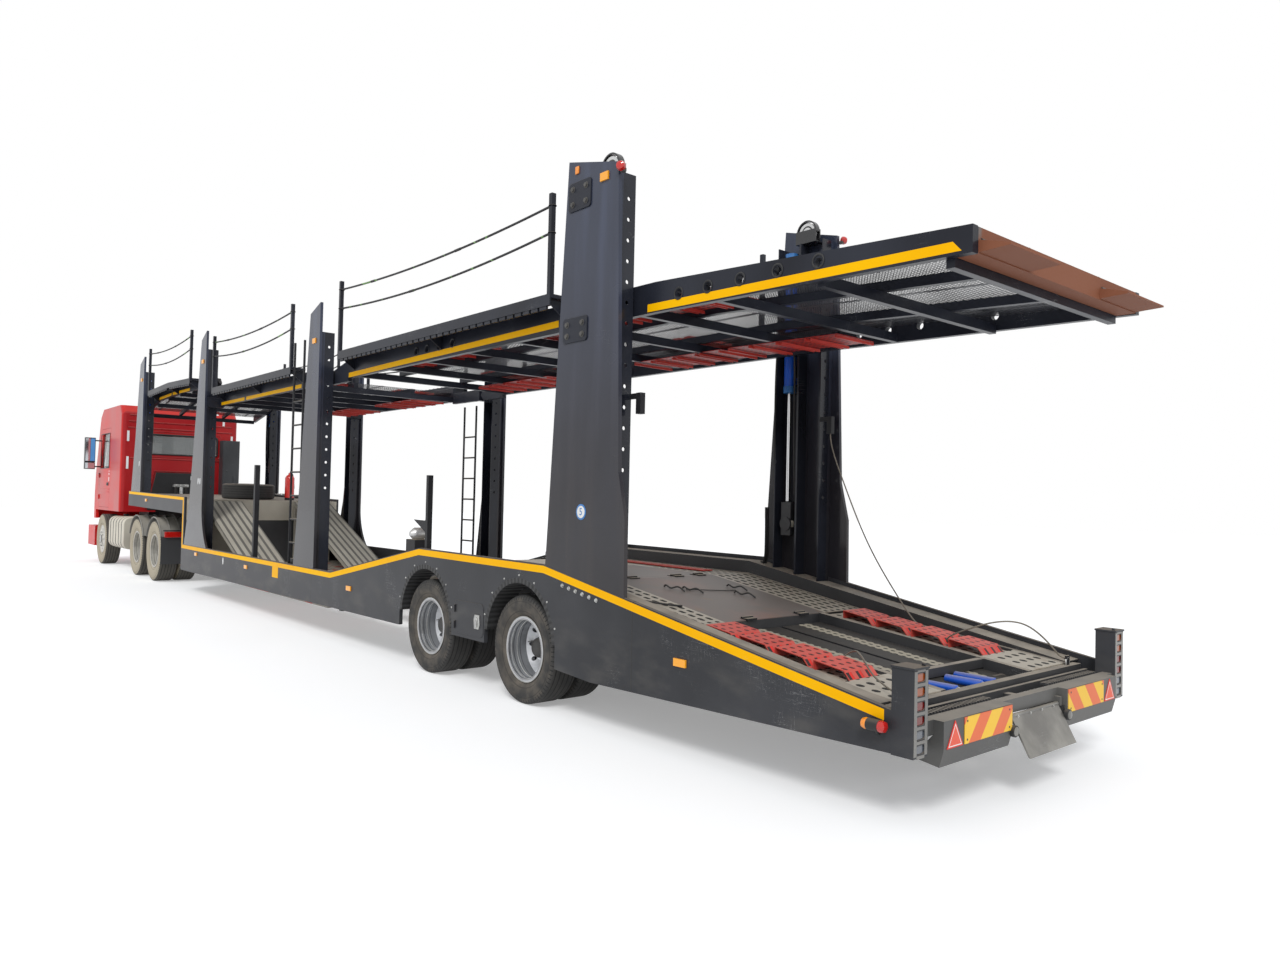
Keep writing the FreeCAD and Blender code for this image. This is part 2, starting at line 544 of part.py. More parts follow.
def trailer_axle(x):
    """Axle tube with spindles, trailing arms, air bellows and hangers."""
    z, r = TRAILER_TYRE_R, 63.0
    mount = hub_face(TRAILER_TYRE_W)
    arm0, arm1 = 480.0, 560.0

    def beam_under(x0, x1):
        return min(level(DECK, x0), level(DECK, x1)) - SHEET - BEAM_DEPTH - 3 * FIT

    tube = rod(V(x, -(mount - 160), z), V(x, mount - 160, z), r)
    spindle = rod(V(x, -(mount + 55), z), V(x, mount + 55, z), SPINDLE_R)
    arm = side_sheet([(x - 330, z - 30), (x + 620, z + 60), (x + 620, z + 140), (x + 60, z + 100),
                      (x - 330, z + 40)], arm0, arm1)
    hanger = box(x + 560, x + 680, arm0, arm1, z + 60, beam_under(x + 560, x + 680))
    seat = beam_under(x - 340, x - 180) - 12
    bellows = rod(V(x - 260, 525, z + 30), V(x - 260, 525, seat), 95)
    seat_plate = box(x - 340, x - 180, arm0 - 20, arm1 + 20, seat, seat + 12)
    return fuse([tube, spindle] + both([arm, hanger, bellows, seat_plate]))


# ---------------------------------------------------------------- posts and lifts
def post_foot(number, x):
    line = NECK_TOP if POSTS[number]["at"] == KINGPIN_X else RAIL
    return level(line, x)


def post_plate(number):
    """Outer plate with its flared foot."""
    p = POSTS[number]

    def points(edge):
        return [(p["at"] + x, post_foot(number, p["at"] + x) if z is None else z) for x, z in edge]

    rear, front = points(p["rear"]), points(p["front"])
    ring = [V(x, POST_PLATE_IN, z) for x, z in rear + front[::-1]]
    edges = [Part.makeLine(a, b) for a, b in zip(ring, ring[1:] + ring[:1])]
    if p["flare"]:
        middle = V((ring[0].x + ring[1].x) / 2 + p["flare"], POST_PLATE_IN, (ring[0].z + ring[1].z) / 2 - p["flare"])
        edges[0] = Part.Arc(ring[0], middle, ring[1]).toShape()
    return Part.Face(Part.Wire(edges)).extrude(V(0, HALF_WIDTH - POST_PLATE_IN, 0))


def column_base(number):
    """Line that a post's column stands on, and how far below that line."""
    if POSTS[number]["at"] == KINGPIN_X:
        return NECK_TOP, NECK_SKIN_DROP
    if number == 4:
        return RAIL, LEDGE_DROP
    return DECK, 0.0


def column_channel(number, xa, xb):
    base, drop = column_base(number)
    wall, top = COLUMN_WALL, POSTS[number]["column_top"]

    def foot(x):
        return level(base, x) - drop + FIT

    outer = SIDE_IN - FIT
    web = side_sheet([(xa, foot(xa)), (xb, foot(xb)), (xb, top), (xa, top)], outer - wall, outer)
    flanges = [box(x, x + wall, POST_IN, outer, max(foot(x), foot(x + wall)), top) for x in (xa, xb - wall)]
    return fuse([web] + flanges)


def post(number):
    """Plate and channel column with its pin holes, tied by short distance pieces."""
    p = POSTS[number]
    x0, x1 = p["at"] + p["column"][0], p["at"] + p["column"][1]
    middle = (x0 + x1) / 2
    columns = [(x0, middle), (middle, x1)] if number == 4 else [(x0, x1)]
    shape = fuse([column_channel(number, a, b) for a, b in columns])
    top = p["column_top"]
    base, _ = column_base(number)
    z = max(PIN_LOW_Z, level(base, x0) + 600)
    holes = []
    while z < top - 60:
        holes.append(rod(V(x0 - 5, POST_IN + 60, z), V(x0 + COLUMN_WALL + 5, POST_IN + 60, z), PIN_HOLE_R))
        z += PIN_PITCH
    shape = shape.cut(Part.makeCompound(holes))
    low = 1700.0 if p["at"] == KINGPIN_X else 1250.0
    ties = [box(x0 + 60, x1 - 20, SIDE_IN - COLUMN_WALL, POST_PLATE_IN + 1, z, z + 120) for z in spread(low, top - 200, 4)]
    whole = fuse([post_plate(number), shape] + ties)
    pivots = {3: (PIVOT_X, PIVOT_Z), 2: (FRONT_PIVOT_X, FRONT_PIVOT_Z)}
    if number in pivots:
        x, z = pivots[number]
        block = box(x0, x1, POST_IN, SIDE_IN - COLUMN_WALL, z - 100, z + 100)
        bore = rod(V(x, POST_IN - 10, z), V(x, POST_IN + 65, z), PIVOT_R + FIT)
        whole = fuse([whole, block]).cut(bore)
    return whole


def lift_barrel(number):
    """Hanging hydraulic barrel, open at its lower end, clamped to the column's back."""
    p = LIFTS[number]
    x, (z0, z1) = p["x"], p["barrel"]
    barrel = pipe(V(x, LIFT_Y, z0), V(x, LIFT_Y, z1), p["radius"], LIFT_ROD_R + FIT)
    cap = rod(V(x, LIFT_Y, z1), V(x, LIFT_Y, z1 + 20), p["radius"])
    core = rod(V(x, LIFT_Y, z0), V(x, LIFT_Y, z1), p["radius"] - 5)
    clamps = [box(x - 45, x + 45, LIFT_Y, SIDE_IN - COLUMN_WALL - 2 * FIT, z, z + 60).cut(core)
              for z in (z0 + 60, z1 - 120)]
    return fuse([barrel, cap] + clamps)


def lift_rod(number):
    """Chromed rod with the rope block at its lower end."""
    p = LIFTS[number]
    x, z0 = p["x"], p["block"]
    stem = rod(V(x, LIFT_Y, z0), V(x, LIFT_Y, p["barrel"][1] - p["room"]), LIFT_ROD_R)
    block = box(x - 55, x + 55, LIFT_Y - 26, LIFT_Y + 26, z0 - 300, z0)
    sheave = rod(V(x, LIFT_Y - 36, z0 - 195), V(x, LIFT_Y + 36, z0 - 195), 62)
    return fuse([stem, block, sheave])


def rope_pulley():
    """Sheave between two cheeks on the head of each rear post, under a hooped guard."""
    x, z, r = ROPE_WHEEL_X, ROPE_WHEEL_Z, ROPE_WHEEL_R
    foot = POSTS[4]["column_top"] + FIT
    y0, y1 = POST_IN + 15, POST_IN + 85
    wheel = rod(V(x, y0 + 20, z), V(x, y1 - 20, z), r)
    guard = pipe(V(x, y0 + 10, z), V(x, y1 - 10, z), r + 27, r + 15)
    guard = guard.cut(box(x - 200, x + 200, y0, y1, z - 200, z))
    cheeks = [box(x - 112, x + 112, y, y + 10, foot, z + 20) for y in (y0, y1 - 10)]
    base = box(x - 112, x + 112, y0, SIDE_IN - FIT, foot, foot + 10)
    axle = rod(V(x, y0, z), V(x, y1, z), 16)
    return fuse([wheel, guard, axle, base] + cheeks)


# ---------------------------------------------------------------- upper decks
def side_beam(line, x0, x1, rise, deep, tail_deep):
    """The left side beam, one straight length for each stretch; it may taper towards its rear end."""
    beams = []
    for a, b in stretches(line, x0, x1):
        deep_a = tail_deep if a < x0 + 1 else deep
        beams.append(side_sheet([(a, level(line, a) + rise), (b, level(line, b) + rise),
                                 (b, level(line, b) - deep), (a, level(line, a) - deep_a)],
                                DECK_HALF - DECK_BEAM_W, DECK_HALF))
    return beams


def deck_bars(line, x0, x1, count):
    """Inner lengthwise beams with the crossbars that hang under them."""
    depth = 60.0
    lengths = strips(line, x0, x1, TRACK_IN - 50, TRACK_IN, SHEET + FIT, depth)
    half = DECK_HALF - DECK_BEAM_W - FIT
    bars = [crossbeam(line, x, half, SHEET + depth + 2 * FIT, CROSS_DEPTH, 50) for x in spread(x0 + 30, x1 - 30, count)]
    return both(lengths) + bars


def tread_group(line, x, count):
    """Bent perforated treads across the left track."""
    treads = []
    for k in range(count):
        xa = x + 150 * k
        foot = [level(line, xa) + FIT, level(line, xa + 135) + FIT]
        treads.append(side_sheet([(xa, foot[0]), (xa + 30, foot[0] + 35), (xa + 110, foot[0] + 35), (xa + 135, foot[1])],
                                 TRACK_IN + 20, DECK_HALF - DECK_BEAM_W - 20))
    return treads


def deck_panels(line, x0, x1, groups):
    """Mesh panels between the tracks and in them, with red treads at the given stations."""
    seam = TRACK_IN - 25
    inner, outer = seam + 1, DECK_HALF - DECK_BEAM_W - FIT
    panels = strips(line, x0, x1, -seam + 1, seam - 1, 0, SHEET)
    seams = [x0]
    for x, count in groups:
        seams += [x - 40, x + 150 * count + 25]
    seams.append(x1)
    left = []
    for a, b in zip(seams, seams[1:]):
        left += strips(line, a, b, inner, outer, 0, SHEET)
    for x, count in groups:
        left += tread_group(line, x, count)
    return panels + both(left)


def wing(line, x0, x1, rise, post_inset):
    """Walkway along the deck's left side, on gussets, with two stanchions."""
    y0, y1, sheet_t, lip, edge = DECK_HALF + FIT, WING_OUT, 30.0, 90.0, 10.0
    parts = []
    for a, b in stretches(line, x0, x1):
        parts.append(strip(line, a, b, y0, y1 - edge - FIT, -rise, sheet_t))
        parts.append(strip(line, a, b, y1 - edge, y1, -rise, lip))
    for x in spread(x0 + 40, x1 - 40, 3):
        z = level(line, x) + rise
        parts.append(cross_sheet([(y0, z - 34), (y1 - edge - FIT, z - 34), (y1 - edge - FIT, z - 60), (y0, z - 190)],
                                 x - 5, x + 5))
    for x in (x0 + post_inset, x1 - post_inset):
        z = max(level(line, x - STANCHION_W / 2), level(line, x + STANCHION_W / 2)) + rise + FIT
        half = STANCHION_W / 2
        parts.append(box(x - half, x + half, y1 - STANCHION_W, y1, z, z + STANCHION_H))
    return parts


def pivot_arm(x_from, x_pivot, z_pivot, z_low, z_high):
    """Left arm that carries a tilting deck, and its pin in the post."""
    way = 1 if x_pivot > x_from else -1
    start = x_from + way * FIT
    arm = side_sheet([(start, z_low), (start, z_high), (x_pivot, z_pivot + 75), (x_pivot + way * 75, z_pivot),
                      (x_pivot, z_pivot - 75)], DECK_HALF - DECK_BEAM_W, DECK_HALF)
    pin = rod(V(x_pivot, DECK_HALF + FIT, z_pivot), V(x_pivot, POST_IN + 60, z_pivot), PIVOT_R)
    return [arm, pin]


BEAM_RISE, BEAM_DEEP, TAIL_DEEP = 60.0, 155.0, 85.0
# each deck's wing: line, rear end, front end, height over the line, and how far in its stanchions stand
WINGS = {
    "rear": (LINE_REAR, LINE_REAR[0][0] + 3420, LINE_REAR[-1][0] - 140, 110.0, 22.0),
    "middle": (LINE_MIDDLE, LINE_MIDDLE[0][0] + 20, LINE_MIDDLE[-1][0] - 160, 110.0, 22.0),
    "front": (LINE_FRONT, LINE_FRONT[0][0] + 80, LINE_FRONT[2][0] - 20, 60.0, 22.0),
}
TAIL_BEAM_HOLES = ((1980, 3060), (1700, 3060), (1410, 3060), (1100, 3055), (790, 3050))
LONG_BEAM_HOLES = ((5826, 3085), (5597, 3085), (5351, 3085), (5095, 3085))


def upper_deck_rear():
    line, x0, x1 = LINE_REAR, LINE_REAR[0][0], LINE_REAR[-1][0]
    beams = side_beam(line, x0, x1, BEAM_RISE, BEAM_DEEP, TAIL_DEEP)
    holes = [rod(V(x, DECK_HALF - DECK_BEAM_W - 5, z), V(x, DECK_HALF + 5, z), 30)
             for x, z in TAIL_BEAM_HOLES + LONG_BEAM_HOLES]
    beams = [b.cut(Part.makeCompound(holes)) for b in beams]
    left = beams + wing(*WINGS["rear"])
    left += pivot_arm(x1, PIVOT_X, PIVOT_Z, level(line, x1) - 190, level(line, x1) + 50)
    flap = side_sheet([(x0 - FIT, 3000), (TAIL_REACH, 2954), (TAIL_REACH, 2944), (x0 - FIT, 2936)], TRACK_IN + 20,
                      TRACK_OUT - 50)
    end_bar = box(x0, x0 + 120, -(DECK_HALF - DECK_BEAM_W - FIT), DECK_HALF - DECK_BEAM_W - FIT, 2930, 3066)
    return both(left + [flap]) + [end_bar] + deck_bars(line, x0 + 120 + FIT, x1, 10)


def upper_deck_middle():
    line, x0, x1 = LINE_MIDDLE, LINE_MIDDLE[0][0], LINE_MIDDLE[-1][0]
    left = side_beam(line, x0, x1, BEAM_RISE, 130, 130) + wing(*WINGS["middle"])
    z0, z1 = level(line, x0) - 160, level(line, x0) - 10
    rear_face = POSTS[3]["at"] + POSTS[3]["column"][1] + FIT
    front_face = POSTS[2]["at"] + POSTS[2]["column"][0] - FIT
    left.append(box(rear_face, x0 - FIT, DECK_HALF - DECK_BEAM_W, DECK_HALF, z0, z1))
    left.append(box(x1 + FIT, front_face, DECK_HALF - DECK_BEAM_W, DECK_HALF, z0, z1))
    for x in (rear_face, front_face - 90):
        left.append(box(x, x + 90, DECK_HALF + FIT, SIDE_IN - FIT, z0, z1))
    return both(left) + deck_bars(line, x0, x1, 6)


def upper_deck_front():
    line, x0, x1 = LINE_FRONT, LINE_FRONT[0][0], LINE_FRONT[-1][0]
    left = side_beam(line, x0, x1, 45, 100, 100) + wing(*WINGS["front"])
    left += pivot_arm(x0, FRONT_PIVOT_X, FRONT_PIVOT_Z, level(line, x0) - 90, level(line, x0) + 40)
    return both(left) + deck_bars(line, x0, x1, 6)


# ---------------------------------------------------------------- trailer equipment
def spare_wheel():
    """A wheel lying flat on the gooseneck's deck."""
    x = WELL_FRONT + 800
    slope = (NECK_TOP[1][1] - NECK_TOP[0][1]) / (NECK_TOP[1][0] - NECK_TOP[0][0])
    floor = level(NECK_TOP, x) - NECK_SKIN_DROP
    offset = 140.0
    parts = [tyre(0, 0, 0, TRAILER_TYRE_R, TRAILER_TYRE_W, TRAILER_RIM_HALF, TRAILER_SEAT_R),
             rim_half_wheel(0, 0, offset, -1, offset, TRAILER_RIM_HALF, TRAILER_SEAT_R, TRAILER_SEAT_R * 0.62)]
    for shape in parts:
        shape.rotate(V(0, 0, 0), V(1, 0, 0), 90)
        shape.rotate(V(0, 0, 0), V(0, 1, 0), -degrees(atan2(slope, 1)))
        shape.translate(V(x, 0, floor + TRAILER_TYRE_W / 2 + 3 * FIT))
    return parts


def ladder(x, y, z0, z1, rung_top):
    width, tube_r, pitch = 320.0, 14.0, 290.0
    rails = [rod(V(x + d, y, z0), V(x + d, y, z1), tube_r) for d in (0, width)]
    count = int((rung_top - z0 - 150) / pitch)
    ends = x + tube_r + FIT, x + width - tube_r - FIT
    rungs = [rod(V(ends[0], y, z0 + pitch * (k + 1)), V(ends[1], y, z0 + pitch * (k + 1)), 11) for k in range(count)]
    return rails + rungs


def ladders():
    """Climbing ladders in front of the third posts; the left one ends in a tall handrail."""
    x, y, foot = WELL_REAR + 1025, SIDE_IN - 35, WELL_FLOOR_Z + FIT
    return ladder(x, -y, foot, LINE_MIDDLE[0][1] - 190, 2850) + ladder(x, y, foot, LINE_MIDDLE[0][1] + 410, 3000)


def trailer_fittings():
    """Stake posts, valve box and fire extinguisher."""
    stake = box(WELL_REAR + 2670, WELL_REAR + 2730, SIDE_IN - 90, SIDE_IN - 30, WELL_FLOOR_Z + FIT, 2000)
    foot = level(RAIL, 5239) - LEDGE_DROP + FIT
    stake_right = box(5200, 5239, -(SIDE_IN - 20), -(SIDE_IN - 80), foot, 1830)
    valve = box(WELL_REAR + 1150, WELL_REAR + 1410, TRACK_OUT - 40, TRACK_OUT + 120, WELL_FLOOR_Z + FIT, 820)
    x, y = WELL_FRONT + 450, -600
    deck = level(NECK_TOP, x + 80) - NECK_SKIN_DROP + FIT
    bottle = fuse([rod(V(x, y, deck), V(x, y, deck + 390), 80), rod(V(x, y, deck + 370), V(x, y, deck + 450), 26)])
    return [stake, stake_right, valve, bottle]


# ---------------------------------------------------------------- tractor
def tractor_chassis():
    """Two channel rails with crossmembers, the cab's pivot brackets and its rest blocks."""
    web, flange = 8.0, 9.0
    rail = box(FRAME_REAR, FRAME_FRONT, FRAME_IN, FRAME_OUT, FRAME_LOW, FRAME_TOP)
    rail = rail.cut(box(FRAME_REAR - 1, FRAME_FRONT + 1, FRAME_IN - 1, FRAME_OUT - web, FRAME_LOW + flange,
                        FRAME_TOP - flange))
    half, low, top = FRAME_OUT - web - FIT, FRAME_LOW + flange + FIT, FRAME_TOP - flange - FIT
    stations = (FRAME_REAR + 50, KINGPIN_X - 396, KINGPIN_X + 354, KINGPIN_X + 1454, STEER_AXLE - 1560, FRAME_FRONT - 50)
    members = [box(x - 40, x + 40, -half, half, low, top) for x in stations]
    x, z, start = CAB_PIVOT_X, CAB_PIVOT_Z, FRAME_FRONT - 100
    bracket = side_sheet([(start, FRAME_LOW), (start, FRAME_TOP), (FRAME_FRONT, FRAME_TOP), (x, z + 40), (x + 40, z),
                          (x, z - 40), (FRAME_FRONT, FRAME_LOW)], FRAME_OUT + FIT, FRAME_OUT + 16)
    pin = rod(V(x, FRAME_OUT + 10, z), V(x, FRAME_OUT + 90, z), PIVOT_PIN_R)
    rest = box(CAB_REAR + 150, CAB_REAR + 250, FRAME_IN, 560, FRAME_TOP + FIT, CAB_LOW - CLEAR)
    return members + both([rail, fuse([bracket, pin]), rest])


def fifth_wheel():
    """Greased coupling plate on its pedestals, with the entry slot to the rear."""
    x, top, thick, lip = KINGPIN_X, COUPLING_Z - FIT, 45.0, 36 + FIT
    plate = rod(V(x, 0, top - thick), V(x, 0, top), 460)
    plate = plate.cut(Part.makeCompound([box(x - 500, x + 500, 440, 600, top - 90, top + 90),
                                         box(x - 500, x + 500, -600, -440, top - 90, top + 90)]))
    mouth = flat_sheet([(x, -lip), (x, lip), (x - 520, 190), (x - 520, -190)], top - 100, top + 10)
    pin_room = rod(V(x, 0, top - 100), V(x, 0, top + 10), lip)
    plate = plate.cut(mouth).cut(pin_room)
    feet = [box(x - 180, x + 180, y0, y1, FRAME_TOP + FIT, top - thick) for y0, y1 in ((300, 425), (-425, -300))]
    return fuse([plate] + feet)


def drive_axle(x):
    z = TRACTOR_TYRE_R
    mount = hub_face(TRACTOR_TYRE_W)
    tube = rod(V(x, -(mount - 160), z), V(x, mount - 160, z), 78)
    spindle = rod(V(x, -(mount + 55), z), V(x, mount + 55, z), SPINDLE_R)
    banjo = turned([(-70, 0), (-95, 150), (-45, 195), (45, 195), (95, 150), (70, 0)], x, z)
    nose = rod(V(x, 0, z), V(x + 330, 0, z + 30), 90)
    return fuse([tube, spindle, banjo, nose])


def drive_axles():
    """Both drive axles, the shaft between them, and the walking springs that carry them."""
    a, b = DRIVE_AXLES
    middle, half, seat = KINGPIN_X, 130.0, TRACTOR_TYRE_R + 78 + FIT
    spring = side_sheet([(middle + half + FIT, 690), (b - 60, seat), (b + 60, seat), (b + 60, seat + 50),
                         (b - 60, seat + 72), (middle + half + FIT, 770)], 450, 540)
    spring_rear = spring.mirror(V(middle, 0, 0), V(1, 0, 0))
    saddle = box(middle - half, middle + half, FRAME_OUT + FIT, 560, 590, FRAME_TOP - 60)
    shaft = rod(V(a + 300, 0, 568), V(b - 205, 0, 545), 45)
    return [fuse([drive_axle(a), shaft]), drive_axle(b)] + both([spring, spring_rear, saddle])


def drive_mudguards():
    """Arched guards over the drive wheels on their stays, with flaps behind them."""
    y0, y1, skin, rise = 590.0, HALF_WIDTH - 37, 6.0, 230.0
    r = TRACTOR_TYRE_R + 52
    parts = []
    for x in DRIVE_AXLES:
        ring = pipe(V(x, y0, TRACTOR_TYRE_R), V(x, y1, TRACTOR_TYRE_R), r + skin, r)
        parts.append(ring.cut(box(x - r - 50, x + r + 50, y0 - 5, y1 + 5, -100, TRACTOR_TYRE_R + rise)))
        top = TRACTOR_TYRE_R + r
        parts.append(cross_sheet([(FRAME_OUT + FIT, 900), (FRAME_OUT + FIT, 960), (y0 - FIT, top + 5),
                                  (y0 - FIT, top - 60)], x - 12, x + 12))
    half = sqrt((r + skin) ** 2 - rise ** 2)
    rear = DRIVE_AXLES[0] - half
    parts.append(box(rear - 8 - FIT, rear - FIT, y0, y1, 330, TRACTOR_TYRE_R + rise + 40))
    return both(parts)


def fuel_tank():
    """Ribbed tank on the left, held on the frame by its saddles."""
    x0, x1 = DRIVE_AXLES[1] + 1079, STEER_AXLE - 730
    y0, y1, z0, z1, r = 560.0, HALF_WIDTH - 50, 430.0, 1050.0, 120.0
    body = box(x0, x1, y0, y1, z0, z1)
    edges = [e for e in body.Edges if abs(e.BoundBox.XLength - (x1 - x0)) < 1]
    body = body.makeFillet(r, edges)
    saddles = [box(x - 35, x + 35, FRAME_OUT + FIT, y0 + 5, FRAME_LOW + 20, FRAME_TOP - 40) for x in (x0 + 250, x1 - 250)]
    return fuse([body] + saddles)


def side_locker():
    """Battery and air-tank carrier on the right."""
    x0, x1 = DRIVE_AXLES[1] + 1279, STEER_AXLE - 860
    body = box(x0, x1, -(HALF_WIDTH - 50), -620, 520, 1040)
    saddles = [box(x - 35, x + 35, -640, -FRAME_OUT - FIT, FRAME_LOW + 20, FRAME_TOP - 40) for x in (x0 + 150, x1 - 150)]
    return fuse([body] + saddles)


def front_bumper():
    """Bumper with its wrapped ends and the entry steps behind it."""
    z0, z1, half, thick = 360.0, 800.0, HALF_WIDTH - 40, 120.0
    face_x, back_x = NOSE_REACH - thick, STEER_AXLE + 700
    face = box(face_x, NOSE_REACH, -half, half, z0, z1)
    tow = rod(V(face_x - 10, TOW_Y, TOW_Z), V(NOSE_REACH + 10, TOW_Y, TOW_Z), TOW_BORE_R)
    studs = [rod(V(NOSE_REACH - 30, y, PLATE_Z), V(NOSE_REACH + 10, y, PLATE_Z), PLATE_HOLE_R)
             for y in (-PLATE_SPACING / 2, PLATE_SPACING / 2)]
    face = face.cut(Part.makeCompound([tow] + studs))
    end = box(back_x + 40 + FIT, face_x - FIT, half - 55, half, z0, z1)
    backing = box(back_x, back_x + 40, 900, half, z0, z1)
    steps = [box(back_x + 40 + FIT, back_x + 340, 900, half - 55 - FIT, z, z + 40) for z in (420, 740)]
    hanger = box(FRAME_FRONT - 100, face_x - FIT, FRAME_IN, FRAME_OUT, 560, FRAME_LOW - FIT)
    return [face] + both([end, backing, hanger] + steps)


def engine_block():
    x0, x1 = STEER_AXLE - 560, CAB_FRONT - 570
    block = box(x0, x1, -340, 340, 700, 1480)
    feet = [box(x - 60, x + 60, 330, FRAME_OUT - 5, FRAME_TOP + FIT, FRAME_TOP + 40) for x in (x0 + 200, x1 - 200)]
    return fuse([block] + both(feet))


AXLE_Z = 400.0                 # middle of the front axle's beam


def front_axle():
    """Forged beam with leaf springs, and the pins that the wheels steer on."""
    x, z, y = STEER_AXLE, AXLE_Z, STEER_PIN_Y
    beam = box(x - 50, x + 50, -(y - 20), y - 20, z - 50, z + 60)
    eye = rod(V(x, y, z - 50), V(x, y, z + 60), STEER_EYE_R)
    pin = rod(V(x, y, z - 60), V(x, y, z + 200), STEER_PIN_R)
    seat, spring_y = FRAME_TOP - 60, (440, 520)
    half = side_sheet([(x, 505), (x + 100, 505), (x + 700, 640), (x + 760, 640), (x + 760, 690), (x + 700, 690),
                       (x + 80, 560), (x, 560)], *spring_y)
    spring = fuse([half, half.mirror(V(x, 0, 0), V(1, 0, 0)), box(x - 100, x + 100, 440, 520, z + 60, 506)])
    hangers = [box(x + d, x + d + 40, FRAME_OUT + FIT, 520, 689, seat) for d in (-760, 720)]
    return fuse([beam] + both([eye, pin, spring] + hangers))


def knuckle(side):
    """Steering knuckle: a fork over the beam's eye and the wheel's spindle."""
    x, y, z = STEER_AXLE, STEER_PIN_Y, AXLE_Z
    mount = TYRE_FACE - TRACTOR_TYRE_W / 2 + STEER_WHEEL_OFFSET
    inner, outer = y + STEER_EYE_R + CLEAR + 2, y + 125
    fork = box(x - 60, x + 60, y - 60, outer, z + 60 + FIT, z + 220)
    fork = fork.cut(rod(V(x, y, z), V(x, y, z + 300), STEER_PIN_R + FIT))
    web = box(x - 60, x + 60, inner, outer, z - 60, z + 220)
    spindle = rod(V(x, y + 100, TRACTOR_TYRE_R), V(x, mount - 22, TRACTOR_TYRE_R), SPINDLE_R)
    shape = fuse([fork, web, spindle])
    return shape if side > 0 else mirrored(shape)


# ---------------------------------------------------------------- cab
BROW_Z = 2960.0                # where the windscreen meets the brow
SILL_LINE_Z = 1980.0           # where it meets the front wall
BROW_X, SILL_LINE_X = CAB_FRONT - 360, CAB_FRONT - 60
WINDOW_SIDE_LOW, WINDOW_SIDE_TOP = 2080.0, 2850.0


def screen_x(z):
    """Outer face of the raked windscreen at a height."""
    return SILL_LINE_X + (BROW_X - SILL_LINE_X) * (z - SILL_LINE_Z) / (BROW_Z - SILL_LINE_Z)


def cab_outline(g):
    """Side outline of the cab, moved in by g where it is the inside."""
    return [(CAB_REAR + g, CAB_LOW + g), (CAB_REAR + g, CAB_TOP - 170 - g * 0.4), (CAB_REAR + 150 + g * 0.4, CAB_TOP - g),
            (CAB_FRONT - 720 - g * 0.3, CAB_TOP - g), (CAB_FRONT - 460 - g, CAB_TOP - 170 - g * 0.6), (BROW_X - g, BROW_Z),
            (SILL_LINE_X - g, SILL_LINE_Z), (CAB_FRONT - g, 1500), (CAB_FRONT - g, CAB_LOW + g)]


def cab_skin():
    """The closed cab shell with its windscreen, rear window and door openings cut."""
    half, wall = CAB_HALF, CAB_WALL
    outer = side_sheet(cab_outline(0), -half, half)
    edges = [e for e in outer.Edges if e.BoundBox.YLength < 1 and abs(abs(e.BoundBox.YMin) - half) < 1
             and e.BoundBox.XMax < CAB_REAR + 200 and e.BoundBox.ZMin > CAB_LOW - 1 and e.BoundBox.ZLength > 100]
    outer = outer.makeFillet(90, edges)
    nose = box(CAB_FRONT - 200, CAB_FRONT, -half, half, CAB_LOW - 200, CAB_LOW + 1)
    inner = side_sheet(cab_outline(wall), -(half - wall), half - wall)
    tunnel = box(CAB_REAR - 10, TUNNEL_FRONT, -TUNNEL_HALF, TUNNEL_HALF, CAB_LOW - 100, TUNNEL_TOP)
    cover = box(CAB_REAR - 10, TUNNEL_FRONT + 40, -TUNNEL_HALF - 40, TUNNEL_HALF + 40, CAB_LOW, TUNNEL_TOP + 40)
    shell = fuse([outer, nose]).cut(inner.cut(cover)).cut(tunnel)
    well = box(TUNNEL_FRONT + 40, CAB_FRONT - 40, -(half - wall), half - wall, CAB_LOW - 260, CAB_LOW + 1)
    openings = [well, cross_sheet([(-(half - 140), SCREEN_LOW), (half - 140, SCREEN_LOW), (half - 170, SCREEN_TOP),
                                   (-(half - 170), SCREEN_TOP)], DOOR_FRONT - 120, CAB_FRONT + 80),
                box(CAB_REAR - 50, CAB_REAR + wall + 20, -WINDOW_HALF, WINDOW_HALF, WINDOW_LOW, WINDOW_TOP)]
    openings += both([side_sheet(door_outline(CLEAR), half - wall - 30, half + 10)])
    return shell.cut(Part.makeCompound(openings))


